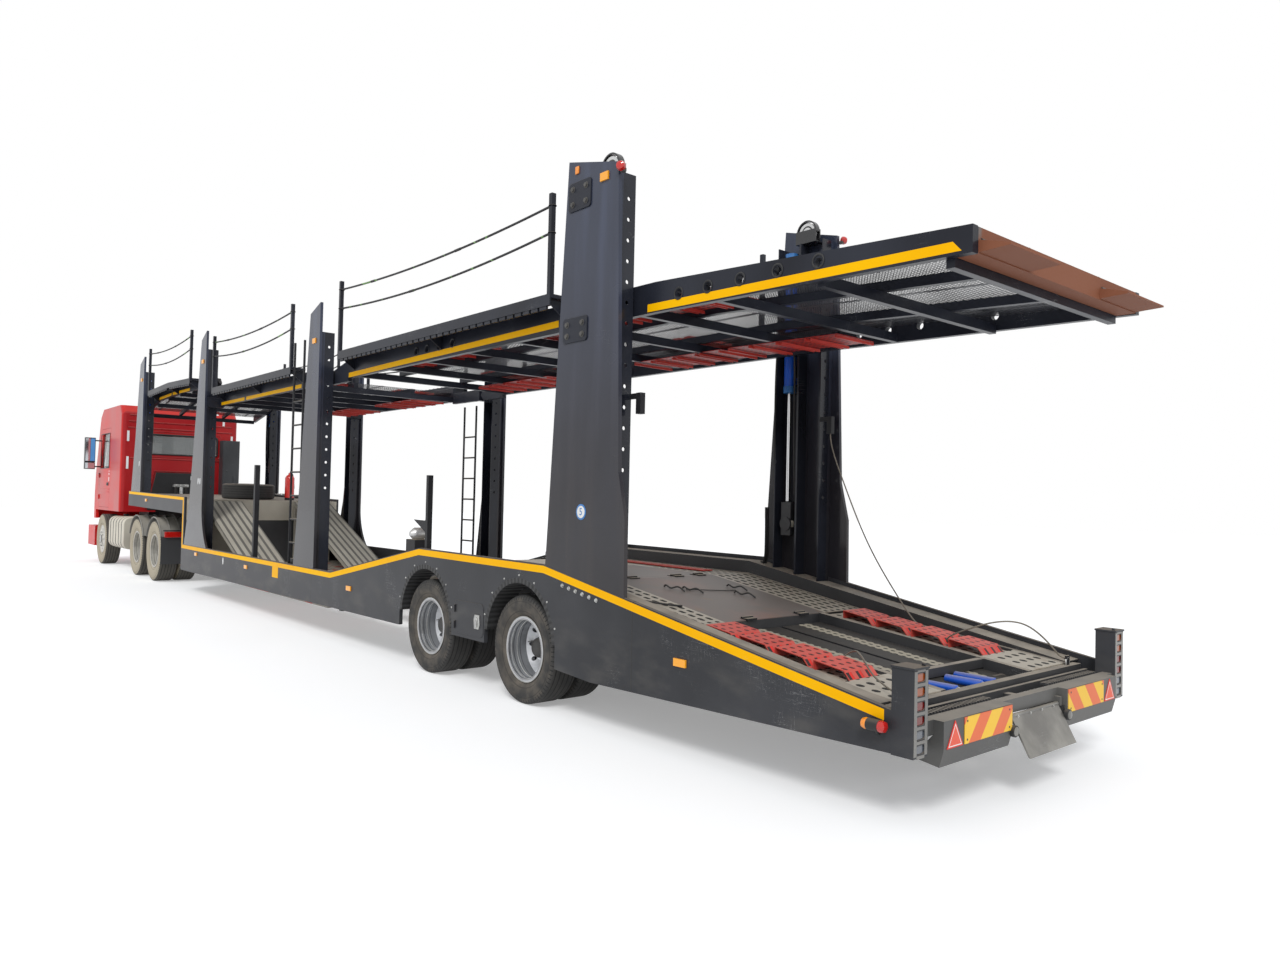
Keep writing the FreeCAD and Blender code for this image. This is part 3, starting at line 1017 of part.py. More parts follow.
def cab_shell():
    """The cab's panels, split where they are joined: rear wall, roof, floor, front, and four round each door."""
    skin = cab_skin()
    far = 300.0
    x_rear, x_front = CAB_REAR + 110, DOOR_FRONT + 60
    z_roof, z_floor, side = BROW_Z + 20, TUNNEL_TOP + 60, CAB_HALF - CAB_WALL - 2
    low, top, x_far = CAB_LOW - far, CAB_TOP + far, CAB_FRONT + far
    rooms = [box(CAB_REAR - far, x_rear, -CAB_HALF - far, CAB_HALF + far, low, top),
             box(x_rear + FIT, x_far, -CAB_HALF - far, CAB_HALF + far, z_roof, top),
             box(x_rear + FIT, x_front, -side, side, low, z_floor),
             box(x_front + FIT, x_far, -CAB_HALF - far, CAB_HALF + far, low, z_roof - FIT)]
    x_door, z_rail, z_sill = DOOR_REAR - CLEAR, DOOR_TOP + CLEAR, DOOR_LOW - CLEAR
    for x0, x1, z0, z1 in ((x_rear + FIT, x_door, low, z_roof - FIT), (x_door + FIT, x_front, z_rail + FIT, z_roof - FIT),
                           (x_door + FIT, x_front, low, z_sill - FIT), (x_door + FIT, x_front, z_sill, z_rail)):
        rooms += both([box(x0, x1, side + FIT, CAB_HALF + far, z0, z1)])
    panels = solids_of([skin.common(room) for room in rooms])
    lug = box(CAB_PIVOT_X - 50, CAB_PIVOT_X + 50, FRAME_OUT + 20, FRAME_OUT + 90, CAB_PIVOT_Z - 40, CAB_LOW - 40)
    lug = lug.fuse(box(CAB_PIVOT_X - 50, CAB_FRONT - 40 + FIT, FRAME_OUT + 20, FRAME_OUT + 90, CAB_LOW - 90, CAB_LOW - 40))
    lug = lug.cut(rod(V(CAB_PIVOT_X, 0, CAB_PIVOT_Z), V(CAB_PIVOT_X, 600, CAB_PIVOT_Z), PIVOT_PIN_R + FIT))
    front = [p for p in panels if p.BoundBox.XMax > CAB_FRONT - 1 and p.BoundBox.ZMin < CAB_LOW]
    rest = [p for p in panels if not any(p.isSame(f) for f in front)]
    return rest + [fuse(front + both([lug] + pillar_eyes()))]


def door_outline(grow):
    """Door edge, with the raked front pillar."""
    return [(DOOR_REAR - grow, DOOR_LOW - grow), (DOOR_REAR - grow, DOOR_TOP + grow),
            (DOOR_FRONT - 140 + grow * 0.5, DOOR_TOP + grow), (DOOR_FRONT + grow, 2350), (DOOR_FRONT + grow, DOOR_LOW - grow)]


def door_eyes():
    """Hinge eyes on the left door's front edge."""
    eyes = []
    for z in HINGE_HEIGHTS:
        top = z + HINGE_EYE_H
        eye = fuse([rod(V(HINGE_X, HINGE_Y, z), V(HINGE_X, HINGE_Y, top), HINGE_EYE_R),
                    box(HINGE_X - 50, HINGE_X - 4, CAB_HALF, CAB_HALF + 10, z, top)])
        eyes.append(eye.cut(rod(V(HINGE_X, HINGE_Y, z - 1), V(HINGE_X, HINGE_Y, top + 1), HINGE_PIN_R + FIT)))
    return eyes


def pillar_eyes():
    """Hinge pins with their lugs on the left front pillar."""
    eyes = []
    for z in HINGE_HEIGHTS:
        top = z + HINGE_EYE_H
        parts = [rod(V(HINGE_X, HINGE_Y, z - 20), V(HINGE_X, HINGE_Y, top + 20), HINGE_PIN_R)]
        for z0, z1 in ((z - 20, z - 2), (top + 2, top + 20)):
            parts.append(rod(V(HINGE_X, HINGE_Y, z0), V(HINGE_X, HINGE_Y, z1), HINGE_EYE_R))
            parts.append(box(HINGE_X + 4, HINGE_X + 90, CAB_HALF, HINGE_Y + HINGE_EYE_R, z0, z1))
            parts.append(box(HINGE_X, HINGE_X + 10, HINGE_Y - 4, HINGE_Y + HINGE_EYE_R, z0, z1))
        eyes.append(fuse(parts))
    return eyes


def door(side):
    """Cab door with its window cut, and the mirrors on its front edge."""
    leaf = side_sheet(door_outline(0), CAB_HALF - CAB_WALL, CAB_HALF)
    low, top, x0, x1 = WINDOW_SIDE_LOW, WINDOW_SIDE_TOP, DOOR_REAR + 90, DOOR_FRONT - 90
    window = side_sheet([(x0, low), (x0, top), (x1 - 130, top), (x1, 2350), (x1, low)], CAB_HALF - 100, CAB_HALF + 50)
    pocket = box(x0 - 10, DOOR_FRONT - 150, CAB_HALF - CAB_WALL - 20, CAB_HALF - 18, DOOR_LOW + 80, low - 100)
    arms = [rod(V(DOOR_FRONT - 160, CAB_HALF - 20, z), V(DOOR_FRONT - 220, CAB_HALF + 180, z), 14) for z in (2120, 2700)]
    head = box(DOOR_FRONT - 280, DOOR_FRONT - 180, CAB_HALF + 150, CAB_HALF + 350, 2060, 2760)
    shape = fuse([leaf.cut(window).cut(pocket)] + arms + [head] + door_eyes())
    return shape if side > 0 else mirrored(shape)


def cab_glass():
    """Windscreen and rear window."""
    low, high, half = SCREEN_LOW + FIT, SCREEN_TOP - FIT, CAB_HALF - 175
    screen = side_sheet([(screen_x(low) - 14, low), (screen_x(low) - 8, low), (screen_x(high) - 8, high),
                         (screen_x(high) - 14, high)], -half, half)
    rear = box(CAB_REAR + 20, CAB_REAR + 26, -WINDOW_HALF + FIT, WINDOW_HALF - FIT, WINDOW_LOW + FIT, WINDOW_TOP - FIT)
    return [screen, rear]


def cab_front():
    """Grille bars, headlamps and the sun visor over the windscreen."""
    x = CAB_FRONT + FIT
    bars = [box(x, x + 25, -700, 700, z, z + 60) for z in spread(CAB_LOW - 10, CAB_LOW + 290, 4)]
    lamp = box(x, x + 20, 780, CAB_HALF - 30, CAB_LOW - 160, CAB_LOW + 40)
    visor = box(BROW_X + FIT, BROW_X + 140, -1000, 1000, BROW_Z + FIT, BROW_Z + 30)
    return bars + both([lamp]) + [visor]


def cab_interior():
    """Seats, bunk and dashboard."""
    floor = CAB_LOW + CAB_WALL + FIT
    seat_x = DOOR_REAR + 50
    seat = fuse([box(seat_x, seat_x + 500, 560, 1040, floor, 1700), box(seat_x - 50, seat_x + 90, 560, 1040, 1680, 2420)])
    back, half = 2 * FIT, CAB_HALF - CAB_WALL - FIT
    inside = [(SILL_LINE_X - CAB_WALL - back, 1950), (CAB_FRONT - CAB_WALL - 30, 1620)]
    dash = side_sheet([(DOOR_FRONT - 170, 1620), (DOOR_FRONT - 170, 1930), (DOOR_FRONT - 120, 1950)] + inside, -half, half)
    bunk = box(CAB_REAR + CAB_WALL + FIT, DOOR_REAR - 330, -half, half, TUNNEL_TOP + 40 + FIT, TUNNEL_TOP + 240)
    return both([seat]) + [dash, bunk]


def air_intake():
    """Dust filter box on the cab's right rear corner."""
    return box(CAB_REAR - 260, CAB_REAR - FIT, -(CAB_HALF - 20), -(CAB_HALF - 370), 1500, 2750)


# ---------------------------------------------------------------- ropes
ROPE_R, HAND_ROPE_R, HAND_ROPE_RUN = 5.5, 10.0, 240.0
HOOK_X, HOOK_Y, HOOK_Z = 2319.0, 1090.0, 2250.0
LUG_X, LUG_Y = 232.0, 1000.0
# from the hook on the right rear post, down beside the treads, through the gap between two of
# them and in one arch to the lug at the tail
ROPE_RIGHT = ((2319, -1090, 2249.7), (2318, -1090, 2200), (2288, -1085, 2106), (2236, -1076, 1990), (2170, -1075, 1850), (2086, -1073, 1672),
              (1992, -1058, 1502), (1884, -1034, 1336), (1764, -1008, 1178), (1640, -984, 1032), (1518, -963, 896),
              (1420, -945, 792), (1340, -938, 724), (1240, -936, 694), (1130, -938, 682), (1020, -944, 670),
              (944, -938, 661), (918, -880, 658), (915, -790, 658), (915, -712, 661), (915, -654, 670),
              (911, -607, 692), (878, -588, 724), (832, -585, 750), (780, -592, 776), (718, -608, 804),
              (644, -640, 836), (566, -690, 860), (492, -750, 866), (430, -812, 846), (376, -872, 794),
              (330, -924, 730), (296, -962, 670), (272, -984, 634), (240.3, -992, 625))
# left behind on the left side's treads
ROPE_LEFT = ((915, 750, 658), (915, 702, 659), (915, 654, 666), (911, 608, 686), (876, 590, 717), (826, 606, 740),
             (768, 654, 754), (708, 714, 756), (648, 768, 746), (590, 816, 726), (532, 860, 700), (470, 896, 670),
             (400, 922, 648), (320, 956, 628), (240.3, 984, 618))


def cord(points, radius):
    """A round cord: straight runs between the points, joined by arcs as large as the runs allow."""
    path = [V(*p) for p in points]
    edges, last, tightest = [], path[0], 1e9
    for a, b, c in zip(path, path[1:], path[2:]):
        back, ahead = (a - b), (c - b)
        run = 0.45 * min(back.Length, ahead.Length)
        back.normalize()
        ahead.normalize()
        start, end = b + back * run, b + ahead * run
        half = back.getAngle(ahead) / 2
        bend = run * sin(half) / cos(half)
        tightest = min(tightest, bend)
        inward = (back + ahead).normalize()
        middle = b + inward * (run / cos(half) - bend)
        edges += [Part.makeLine(last, start), Part.Arc(start, middle, end).toShape()]
        last = end
    edges.append(Part.makeLine(last, path[-1]))
    wire = Part.Wire(edges)
    ring = Part.Wire(Part.makeCircle(radius, path[0], path[1] - path[0]))
    tube = wire.makePipeShell([ring], True, False)
    solid = tube.Solids[0]
    wanted = pi * radius * radius * wire.Length
    print("cord %.0f mm long, tightest bend %.0f mm, volume %.4f of its section" % (wire.Length, tightest, solid.Volume / wanted))
    return solid


def hand_ropes(line, x0, x1, rise, inset):
    """Two sagging ropes between the stanchions of one wing, on the left."""
    post = STANCHION_W / 2
    a, b = x0 + inset + post + 1.5, x1 - inset - post - 1.5
    y = WING_OUT - STANCHION_W / 2
    count = int(round((b - a) / HAND_ROPE_RUN))
    ropes = []
    for share, sag in ((0.88, 64.0), (0.61, 78.0)):
        points = []
        for k in range(count + 1):
            t = k / count
            foot = (level(line, x0 + inset) * (1 - t) + level(line, x1 - inset) * t) + rise
            points.append((a + (b - a) * t, y, foot + STANCHION_H * share - sag * 4 * t * (1 - t)))
        ropes.append(cord(points, HAND_ROPE_R))
    return ropes


def rope_hooks():
    """Hook blocks on the rear posts, and the eye lugs at the tail that the ropes run to."""
    y0, y1 = HOOK_Y - 22, HOOK_Y + 22
    column = POSTS[4]["column"][0] - FIT
    block = box(HOOK_X - 24, HOOK_X + 26, y0, y1, HOOK_Z, HOOK_Z + 150)
    arm = box(HOOK_X + 20, column, HOOK_Y - 8, HOOK_Y + 8, HOOK_Z + 110, HOOK_Z + 150)
    lug = box(LUG_X - 6, LUG_X + 6, LUG_Y - 24, LUG_Y + 24, level(DECK, TAIL_BAR_X - 30) + FIT, level(DECK, TAIL_BAR_X) + 60)
    return [fuse([block, arm]), lug]


# ---------------------------------------------------------------- writing the pieces
def trailer_parts():
    save("side_frames", both([side_frame()]))
    save("mudguard_rims", both([mudguard_rim(x) for x in TRAILER_AXLES]))
    save("rear_deck_frame", rear_deck_frame())
    save("rear_deck_plates", rear_deck_plates())
    save("red_treads", red_treads())
    save("rear_bumper", rear_bumper())
    save("lamp_posts", both([lamp_post()]))
    save("signal_lamps", signal_lamps())
    save("tail_flap", tail_flap())
    save("stored_ramps", stored_ramps())
    save("well_floor", well_floor())
    save("well_ramps", well_ramps())
    save("gooseneck", gooseneck())
    save("landing_legs", landing_legs())
    save("trailer_axles", [trailer_axle(x) for x in TRAILER_AXLES])
    save("posts", both([post(number) for number in POSTS]))
    save("lift_cylinders", both([lift_barrel(n) for n in LIFTS] + [rope_pulley()]))
    save("lift_rods_front", both([lift_rod(1)]))
    save("lift_rods_rear", both([lift_rod(4)]))
    save("upper_deck_rear", upper_deck_rear())
    save("upper_deck_middle", upper_deck_middle())
    save("upper_deck_front", upper_deck_front())
    save("deck_panels_rear", deck_panels(LINE_REAR, DECK_TAIL + 125, LINE_REAR[-1][0] - 60,
                                         ((3400, 3), (5200, 5), (6700, 3))))
    save("deck_panels_middle", deck_panels(LINE_MIDDLE, LINE_MIDDLE[0][0] + 60, LINE_MIDDLE[-1][0] - 60,
                                           ((WELL_REAR + 1850, 3), (WELL_REAR + 3950, 3))))
    save("deck_panels_front", deck_panels(LINE_FRONT, LINE_FRONT[0][0] + 60, LINE_FRONT[-1][0] - 60,
                                          ((WELL_FRONT + 450, 3),)))
    save("spare_wheel", spare_wheel())
    save("trailer_fittings", ladders() + trailer_fittings() + both(rope_hooks()))
    save("rope_right", cord(ROPE_RIGHT, ROPE_R))
    save("rope_left", cord(ROPE_LEFT, ROPE_R))
    for name, wing_at in WINGS.items():
        save("hand_ropes_%s" % name, both(hand_ropes(*wing_at)))


def wheels_and_doors():
    for side, hand in ((1, "left"), (-1, "right")):
        for x, place in zip(TRAILER_AXLES, ("rear", "front")):
            save("trailer_wheels_%s_%s" % (place, hand),
                 twin_wheel(x, side, TRAILER_TYRE_R, TRAILER_TYRE_W, TRAILER_RIM_HALF, TRAILER_SEAT_R))
        for x, place in zip(DRIVE_AXLES, ("rear", "front")):
            save("drive_wheels_%s_%s" % (place, hand),
                 twin_wheel(x, side, TRACTOR_TYRE_R, TRACTOR_TYRE_W, TRACTOR_RIM_HALF, TRACTOR_SEAT_R))
        save("steer_wheel_%s" % hand, steer_wheel(side))
        save("knuckle_%s" % hand, knuckle(side))
        save("door_%s" % hand, door(side))


def tractor_parts():
    for make in (tractor_chassis, fifth_wheel, drive_axles, drive_mudguards, fuel_tank, side_locker, front_bumper,
                 engine_block, front_axle, cab_shell, cab_glass, cab_front, cab_interior, air_intake):
        save(make.__name__, make())


os.makedirs("parts", exist_ok=True)
trailer_parts()
wheels_and_doors()
tractor_parts()
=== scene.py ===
# %% [markdown]
# # A car transporter, dressed for its portrait
#
# The frame is a long articulated lorry: a red tractor and a two-deck semitrailer whose parts were drawn
# in metres, at their real places. These cells leave that frame where it is. They give every part the
# finish that it has on the road, and add what a drawing of the main solids leaves out: stripes, bolts,
# hoses, ropes, lamps and the wear of a machine that has cars driven over it.

# %% Load the frame
import math

import bmesh
import bpy
from mathutils import Matrix, Vector


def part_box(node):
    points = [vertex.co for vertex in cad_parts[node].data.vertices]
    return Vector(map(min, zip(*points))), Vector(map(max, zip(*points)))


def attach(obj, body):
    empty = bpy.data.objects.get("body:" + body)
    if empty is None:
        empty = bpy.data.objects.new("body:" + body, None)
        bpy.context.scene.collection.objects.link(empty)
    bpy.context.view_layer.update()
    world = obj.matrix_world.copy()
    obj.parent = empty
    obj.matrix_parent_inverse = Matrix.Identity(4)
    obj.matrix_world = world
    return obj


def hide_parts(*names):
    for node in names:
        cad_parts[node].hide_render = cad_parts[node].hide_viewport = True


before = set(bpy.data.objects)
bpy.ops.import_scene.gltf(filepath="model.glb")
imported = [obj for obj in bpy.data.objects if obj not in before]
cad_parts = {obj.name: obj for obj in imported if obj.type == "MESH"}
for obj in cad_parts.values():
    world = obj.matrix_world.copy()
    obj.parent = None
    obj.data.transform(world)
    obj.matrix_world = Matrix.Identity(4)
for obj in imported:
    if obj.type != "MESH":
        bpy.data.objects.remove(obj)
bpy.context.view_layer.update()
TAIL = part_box("side_frames")[0].x - 0.1083


# %% [markdown]
# ## Measuring from the tail
#
# Trailer builders measure everything from the tail of the chassis, so the cells below do the same.
# `at` turns a station, an offset to the left and a height into a point of the frame.

# %% Stations and lines
def at(x, y, z):
    return Vector((TAIL + x, y, z))


RAIL = ((0.0, 0.586), (3.2, 1.130), (5.24, 1.145), (7.32, 0.766), (13.45, 0.766))
NECK = ((13.33, 1.530), (17.33, 1.600))
DECK = ((0.0, 0.560), (1.95, 0.783), (3.2, 0.985), (5.24, 1.005), (7.45, 0.440), (13.45, 0.440))
UPPER_REAR = ((-0.18, 3.010), (2.22, 3.120), (7.5, 3.120))
UPPER_MIDDLE = ((8.8, 3.090), (12.3, 3.090))
UPPER_FRONT = ((13.3, 3.400), (14.75, 3.440), (16.2, 3.400), (17.3, 3.200))
PLATE_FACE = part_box("side_frames")[1].y
DECK_FACE = 1.060
ARCH_Z = 0.495
TRAILER_AXLES = {"rear": 3.535, "front": 5.097}
DRIVE_AXLES = {"rear": 15.4715, "front": 16.8205}
STEER_AXLE = 20.06
BOTH = (1, -1)
HANDS = ((1, "left"), (-1, "right"))


def level(line, x):
    """Height of a broken line at a station."""
    for (xa, za), (xb, zb) in zip(line, line[1:]):
        if x <= xb:
            return za + (zb - za) * (x - xa) / (xb - xa)
    return line[-1][1]


def turns(count):
    """Angles that share out a full turn."""
    return [2 * math.pi * k / count for k in range(count)]


def put(name, data):
    """A new object, linked into the scene."""
    thing = bpy.data.objects.new(name, data)
    bpy.context.scene.collection.objects.link(thing)
    return thing


print("side plates' outer face at", round(PLATE_FACE, 4))


# %% [markdown]
# ## The camera
#
# The lorry is seen from behind its left rear corner, at about eye height, through a wide lens. A camera
# object looks along its own -Z, so the matrix holds its right, up and backward directions as columns.

# %% Camera
def aim_camera():
    yaw, pitch, roll = -0.7127, 0.02245, 0.02235
    ahead = Vector((math.cos(yaw) * math.cos(pitch), math.sin(yaw) * math.cos(pitch), math.sin(pitch)))
    level_right = Vector((math.sin(yaw), -math.cos(yaw), 0))
    level_up = level_right.cross(ahead)
    right = math.cos(roll) * level_right + math.sin(roll) * level_up
    up = math.cos(roll) * level_up - math.sin(roll) * level_right
    turn = Matrix((right, up, -ahead)).transposed().to_4x4()
    turn.translation = at(-2.521, 5.262, 1.638)
    data = bpy.data.cameras.new("camera")
    data.lens = 25.40
    data.sensor_width = 36.0
    data.sensor_fit = "HORIZONTAL"
    data.clip_end = 200
    camera = put("camera", data)
    camera.matrix_world = turn
    bpy.context.scene.camera = camera
    return camera


camera = aim_camera()
print("camera at", [round(v, 2) for v in camera.matrix_world.translation])


# %% [markdown]
# ## Ropes first
#
# A rope is a fixed length of something limp, so it is drawn as one smooth curve through the places where
# it must pass. A NURBS curve suits this: its control points are the rope's route, and it rounds every
# corner by itself. `order_u` and `use_endpoint_u` are set after the points exist, or they are lost.

# %% Rope curves
def along_route(name, route, radius):
    data = bpy.data.curves.new(name, "CURVE")
    data.dimensions = "3D"
    data.bevel_depth = 1.0
    data.bevel_resolution = 3
    data.resolution_u = 5
    data.use_fill_caps = True
    spline = data.splines.new("NURBS")
    spline.points.add(len(route) - 1)
    for point, place in zip(spline.points, route):
        point.co = (*place, 1)
        point.radius = radius
    spline.order_u = 3
    spline.use_endpoint_u = True
    return put(name, data)


ROUTE_RIGHT = [at(x / 1000, y / 1000, z / 1000) for x, y, z in (
    (2319, -1090, 2249.7), (2318, -1090, 2200), (2288, -1085, 2106), (2236, -1076, 1990), (2170, -1075, 1850),
    (2086, -1073, 1672), (1992, -1058, 1502), (1884, -1034, 1336), (1764, -1008, 1178), (1640, -984, 1032),
    (1518, -963, 896), (1420, -945, 792), (1340, -938, 724), (1240, -936, 694), (1130, -938, 682),
    (1020, -944, 670), (944, -938, 661), (918, -880, 658), (915, -790, 658), (915, -712, 661),
    (915, -654, 670), (911, -607, 692), (878, -588, 724), (832, -585, 750), (780, -592, 776),
    (718, -608, 804), (644, -640, 836), (566, -690, 860), (492, -750, 866), (430, -812, 846),
    (376, -872, 794), (330, -924, 730), (296, -962, 670), (272, -984, 634), (240.3, -992, 625))]
ROUTE_LEFT = [at(x / 1000, y / 1000, z / 1000) for x, y, z in (
    (915, 750, 658), (915, 702, 659), (915, 654, 666), (911, 608, 686), (876, 590, 717), (826, 606, 740),
    (768, 654, 754), (708, 714, 756), (648, 768, 746), (590, 816, 726), (532, 860, 700), (470, 896, 670),
    (400, 922, 648), (320, 956, 628), (240.3, 984, 618))]
WIRE_ROPE = 0.0055
rope_right = along_route("winch_rope_right", ROUTE_RIGHT, WIRE_ROPE)
rope_left = along_route("winch_rope_left", ROUTE_LEFT, WIRE_ROPE)
for rope, node, route, length in (
        (rope_right, "rope_right", ROUTE_RIGHT, 3.50), (rope_left, "rope_left", ROUTE_LEFT, 0.96)):
    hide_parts(node)
    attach(rope, "trailer")
print("winch ropes:", len(ROUTE_RIGHT), "and", len(ROUTE_LEFT), "points")


# %% [markdown]
# The hand ropes hang between the stanchions of each walkway, in two rows. Their sag follows a parabola,
# which is what a rope with little slack takes up under its own weight.

# %% Hand ropes
WALKWAYS = {
    "rear": (UPPER_REAR, 3.24, 7.36, 0.110, "upper_deck_rear"),
    "middle": (UPPER_MIDDLE, 8.82, 12.14, 0.110, "trailer"),
    "front": (UPPER_FRONT, 13.38, 16.18, 0.060, "upper_deck_front"),
}
HAND_ROPE = 0.010
HAND_ROPE_Y = 1.232
STANCHION_IN, STANCHION_HALF, STANCHION_TALL = 0.022, 0.0215, 0.790
UPPER_ROW, LOWER_ROW = (0.88, 0.064), (0.61, 0.078)


def rope_ends(deck):
    """Stations where a walkway's hand ropes begin and end."""
    _, x0, x1, _, _ = WALKWAYS[deck]
    return x0 + STANCHION_IN + STANCHION_HALF, x1 - STANCHION_IN - STANCHION_HALF


def rope_place(deck, side, rope_row, t):
    """The place on a hand rope a share t of the way along it."""
    line, x0, x1, rise, _ = WALKWAYS[deck]
    share, sag = rope_row
    a, b = rope_ends(deck)
    foot = level(line, x0 + STANCHION_IN) * (1 - t) + level(line, x1 - STANCHION_IN) * t + rise
    return at(a + (b - a) * t, side * HAND_ROPE_Y, foot + STANCHION_TALL * share - sag * 4 * t * (1 - t))


hand_ropes = []
for deck, (*_, body) in WALKWAYS.items():
    a, b = rope_ends(deck)
    count = int(round((b - a) / 0.240))
    for side, hand in HANDS:
        for number, rope_row in enumerate((UPPER_ROW, LOWER_ROW)):
            route = [rope_place(deck, side, rope_row, k / count) for k in range(count + 1)]
            rope = along_route("hand_rope_%s_%s_%d" % (deck, hand, number + 1), route, HAND_ROPE)
            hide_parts("hand_ropes_" + deck)
            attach(rope, body)
            b - a + 0.003
            hand_ropes.append(rope)
print("hand ropes:", len(hand_ropes))

# %% [markdown]
# ## A studio of plain light
#
# The lorry stands on a white floor in soft light. The floor stays a normal diffuse surface, so it takes
# shadows, but rays that come straight from the camera or from a mirror also see some of its own glow, which
# lifts it to white. The world does the same. Nothing on the lorry gets more light for that.

# %% Floor, world and lamps
def seen_directly(tree):
    """One value that is 1 for camera, glossy and transmission rays."""
    path = tree.nodes.new("ShaderNodeLightPath")
    total = path.outputs["Is Camera Ray"]
    for ray in ("Is Glossy Ray", "Is Transmission Ray"):
        largest = tree.nodes.new("ShaderNodeMath")
        largest.operation = "MAXIMUM"
        tree.links.new(total, largest.inputs[0])
        tree.links.new(path.outputs[ray], largest.inputs[1])
        total = largest.outputs[0]
    return total


def set_world():
    world = bpy.data.worlds.new("studio")
    bpy.context.scene.world = world
    world.use_nodes = True
    tree = world.node_tree
    tree.nodes.clear()
    glow, plain = (tree.nodes.new("ShaderNodeBackground") for _ in range(2))
    glow.inputs["Color"].default_value = (1, 1, 1, 1)
    plain.inputs["Color"].default_value = (0.93, 0.96, 1.0, 1)
    plain.inputs["Strength"].default_value = 0.72
    mix, out = tree.nodes.new("ShaderNodeMixShader"), tree.nodes.new("ShaderNodeOutputWorld")
    tree.links.new(seen_directly(tree), mix.inputs[0])
    tree.links.new(plain.outputs[0], mix.inputs[1])
    tree.links.new(glow.outputs[0], mix.inputs[2])
    tree.links.new(mix.outputs[0], out.inputs[0])


def set_floor():
    reach = 70.0
    mesh = bpy.data.meshes.new("floor")
    mesh.from_pydata([(-reach, -reach, 0), (reach, -reach, 0), (reach, reach, 0), (-reach, reach, 0)], [],
                     [(0, 1, 2, 3)])
    paint = bpy.data.materials.new("floor_paint")
    paint.use_nodes = True
    tree = paint.node_tree
    tree.nodes.clear()
    shade, glow = tree.nodes.new("ShaderNodeBsdfDiffuse"), tree.nodes.new("ShaderNodeEmission")
    shade.inputs["Color"].default_value = (0.80, 0.80, 0.80, 1)
    glow.inputs["Strength"].default_value = 0.30
    both, mix = tree.nodes.new("ShaderNodeAddShader"), tree.nodes.new("ShaderNodeMixShader")
    out = tree.nodes.new("ShaderNodeOutputMaterial")
    tree.links.new(shade.outputs[0], both.inputs[0])
    tree.links.new(glow.outputs[0], both.inputs[1])
    tree.links.new(seen_directly(tree), mix.inputs[0])
    tree.links.new(shade.outputs[0], mix.inputs[1])
    tree.links.new(both.outputs[0], mix.inputs[2])
    tree.links.new(mix.outputs[0], out.inputs[0])
    mesh.materials.append(paint)
    floor = put("floor", mesh)


def add_sun(name, energy, spread, turn):
    lamp = bpy.data.lights.new(name, "SUN")
    lamp.energy = energy
    lamp.angle = spread
    put(name, lamp).rotation_euler = turn


bpy.context.scene.view_settings.view_transform = "Standard"
set_world()
set_floor()
add_sun("key_sun", 1.6, 0.30, (0.809, 0.0, -2.378))
print("white studio set")


# %% [markdown]
# ## Shader sums as plain Python
#
# A material's pattern is mostly arithmetic on coordinates. Written with nodes by hand, each sum is a box
# with two wires. The class `Wire` wraps one socket, and its operators add the Math nodes, so that a row of
# stripes is `f.x.from_nearest(0.2).under(0.03)` instead of six lines. `Finish` holds one material and its
# words for all other nodes.

# %% Wire and Finish
class Wire:
    """One value of a material, with arithmetic."""

    def __init__(self, finish, socket):
        self.finish = finish
        self.socket = socket

    def do(self, operation, *others, first=None):
        terms = [self, *others] if first is None else [first, self, *others]
        return self.finish.node("ShaderNodeMath", {"operation": operation}, dict(enumerate(terms)))

    def __add__(self, other):
        return self.do("ADD", other)

    def __sub__(self, other):
        return self.do("SUBTRACT", other)

    def __mul__(self, other):
        return self.do("MULTIPLY", other)

    def __rsub__(self, other):
        return self.do("SUBTRACT", first=other)

    def __abs__(self):
        return self.do("ABSOLUTE")

    def __pow__(self, other):
        return self.do("POWER", other)

    __radd__ = __add__
    __rmul__ = __mul__

    def over(self, limit):
        return self.do("GREATER_THAN", limit)

    def under(self, limit):
        return self.do("LESS_THAN", limit)

    def between(self, low, high):
        return self.over(low) * self.under(high)

    def largest(self, other):
        return self.do("MAXIMUM", other)

    def smallest(self, other):
        return self.do("MINIMUM", other)

    def from_nearest(self, pitch):
        """Distance to the nearest multiple of pitch."""
        return self.do("PINGPONG", pitch / 2)

    def eased(self, low, high):
        """0 below low, 1 above high, smooth between."""
        return self.finish.node("ShaderNodeMapRange", {"interpolation_type": "SMOOTHSTEP"},
                                {"Value": self, "From Min": low, "From Max": high})


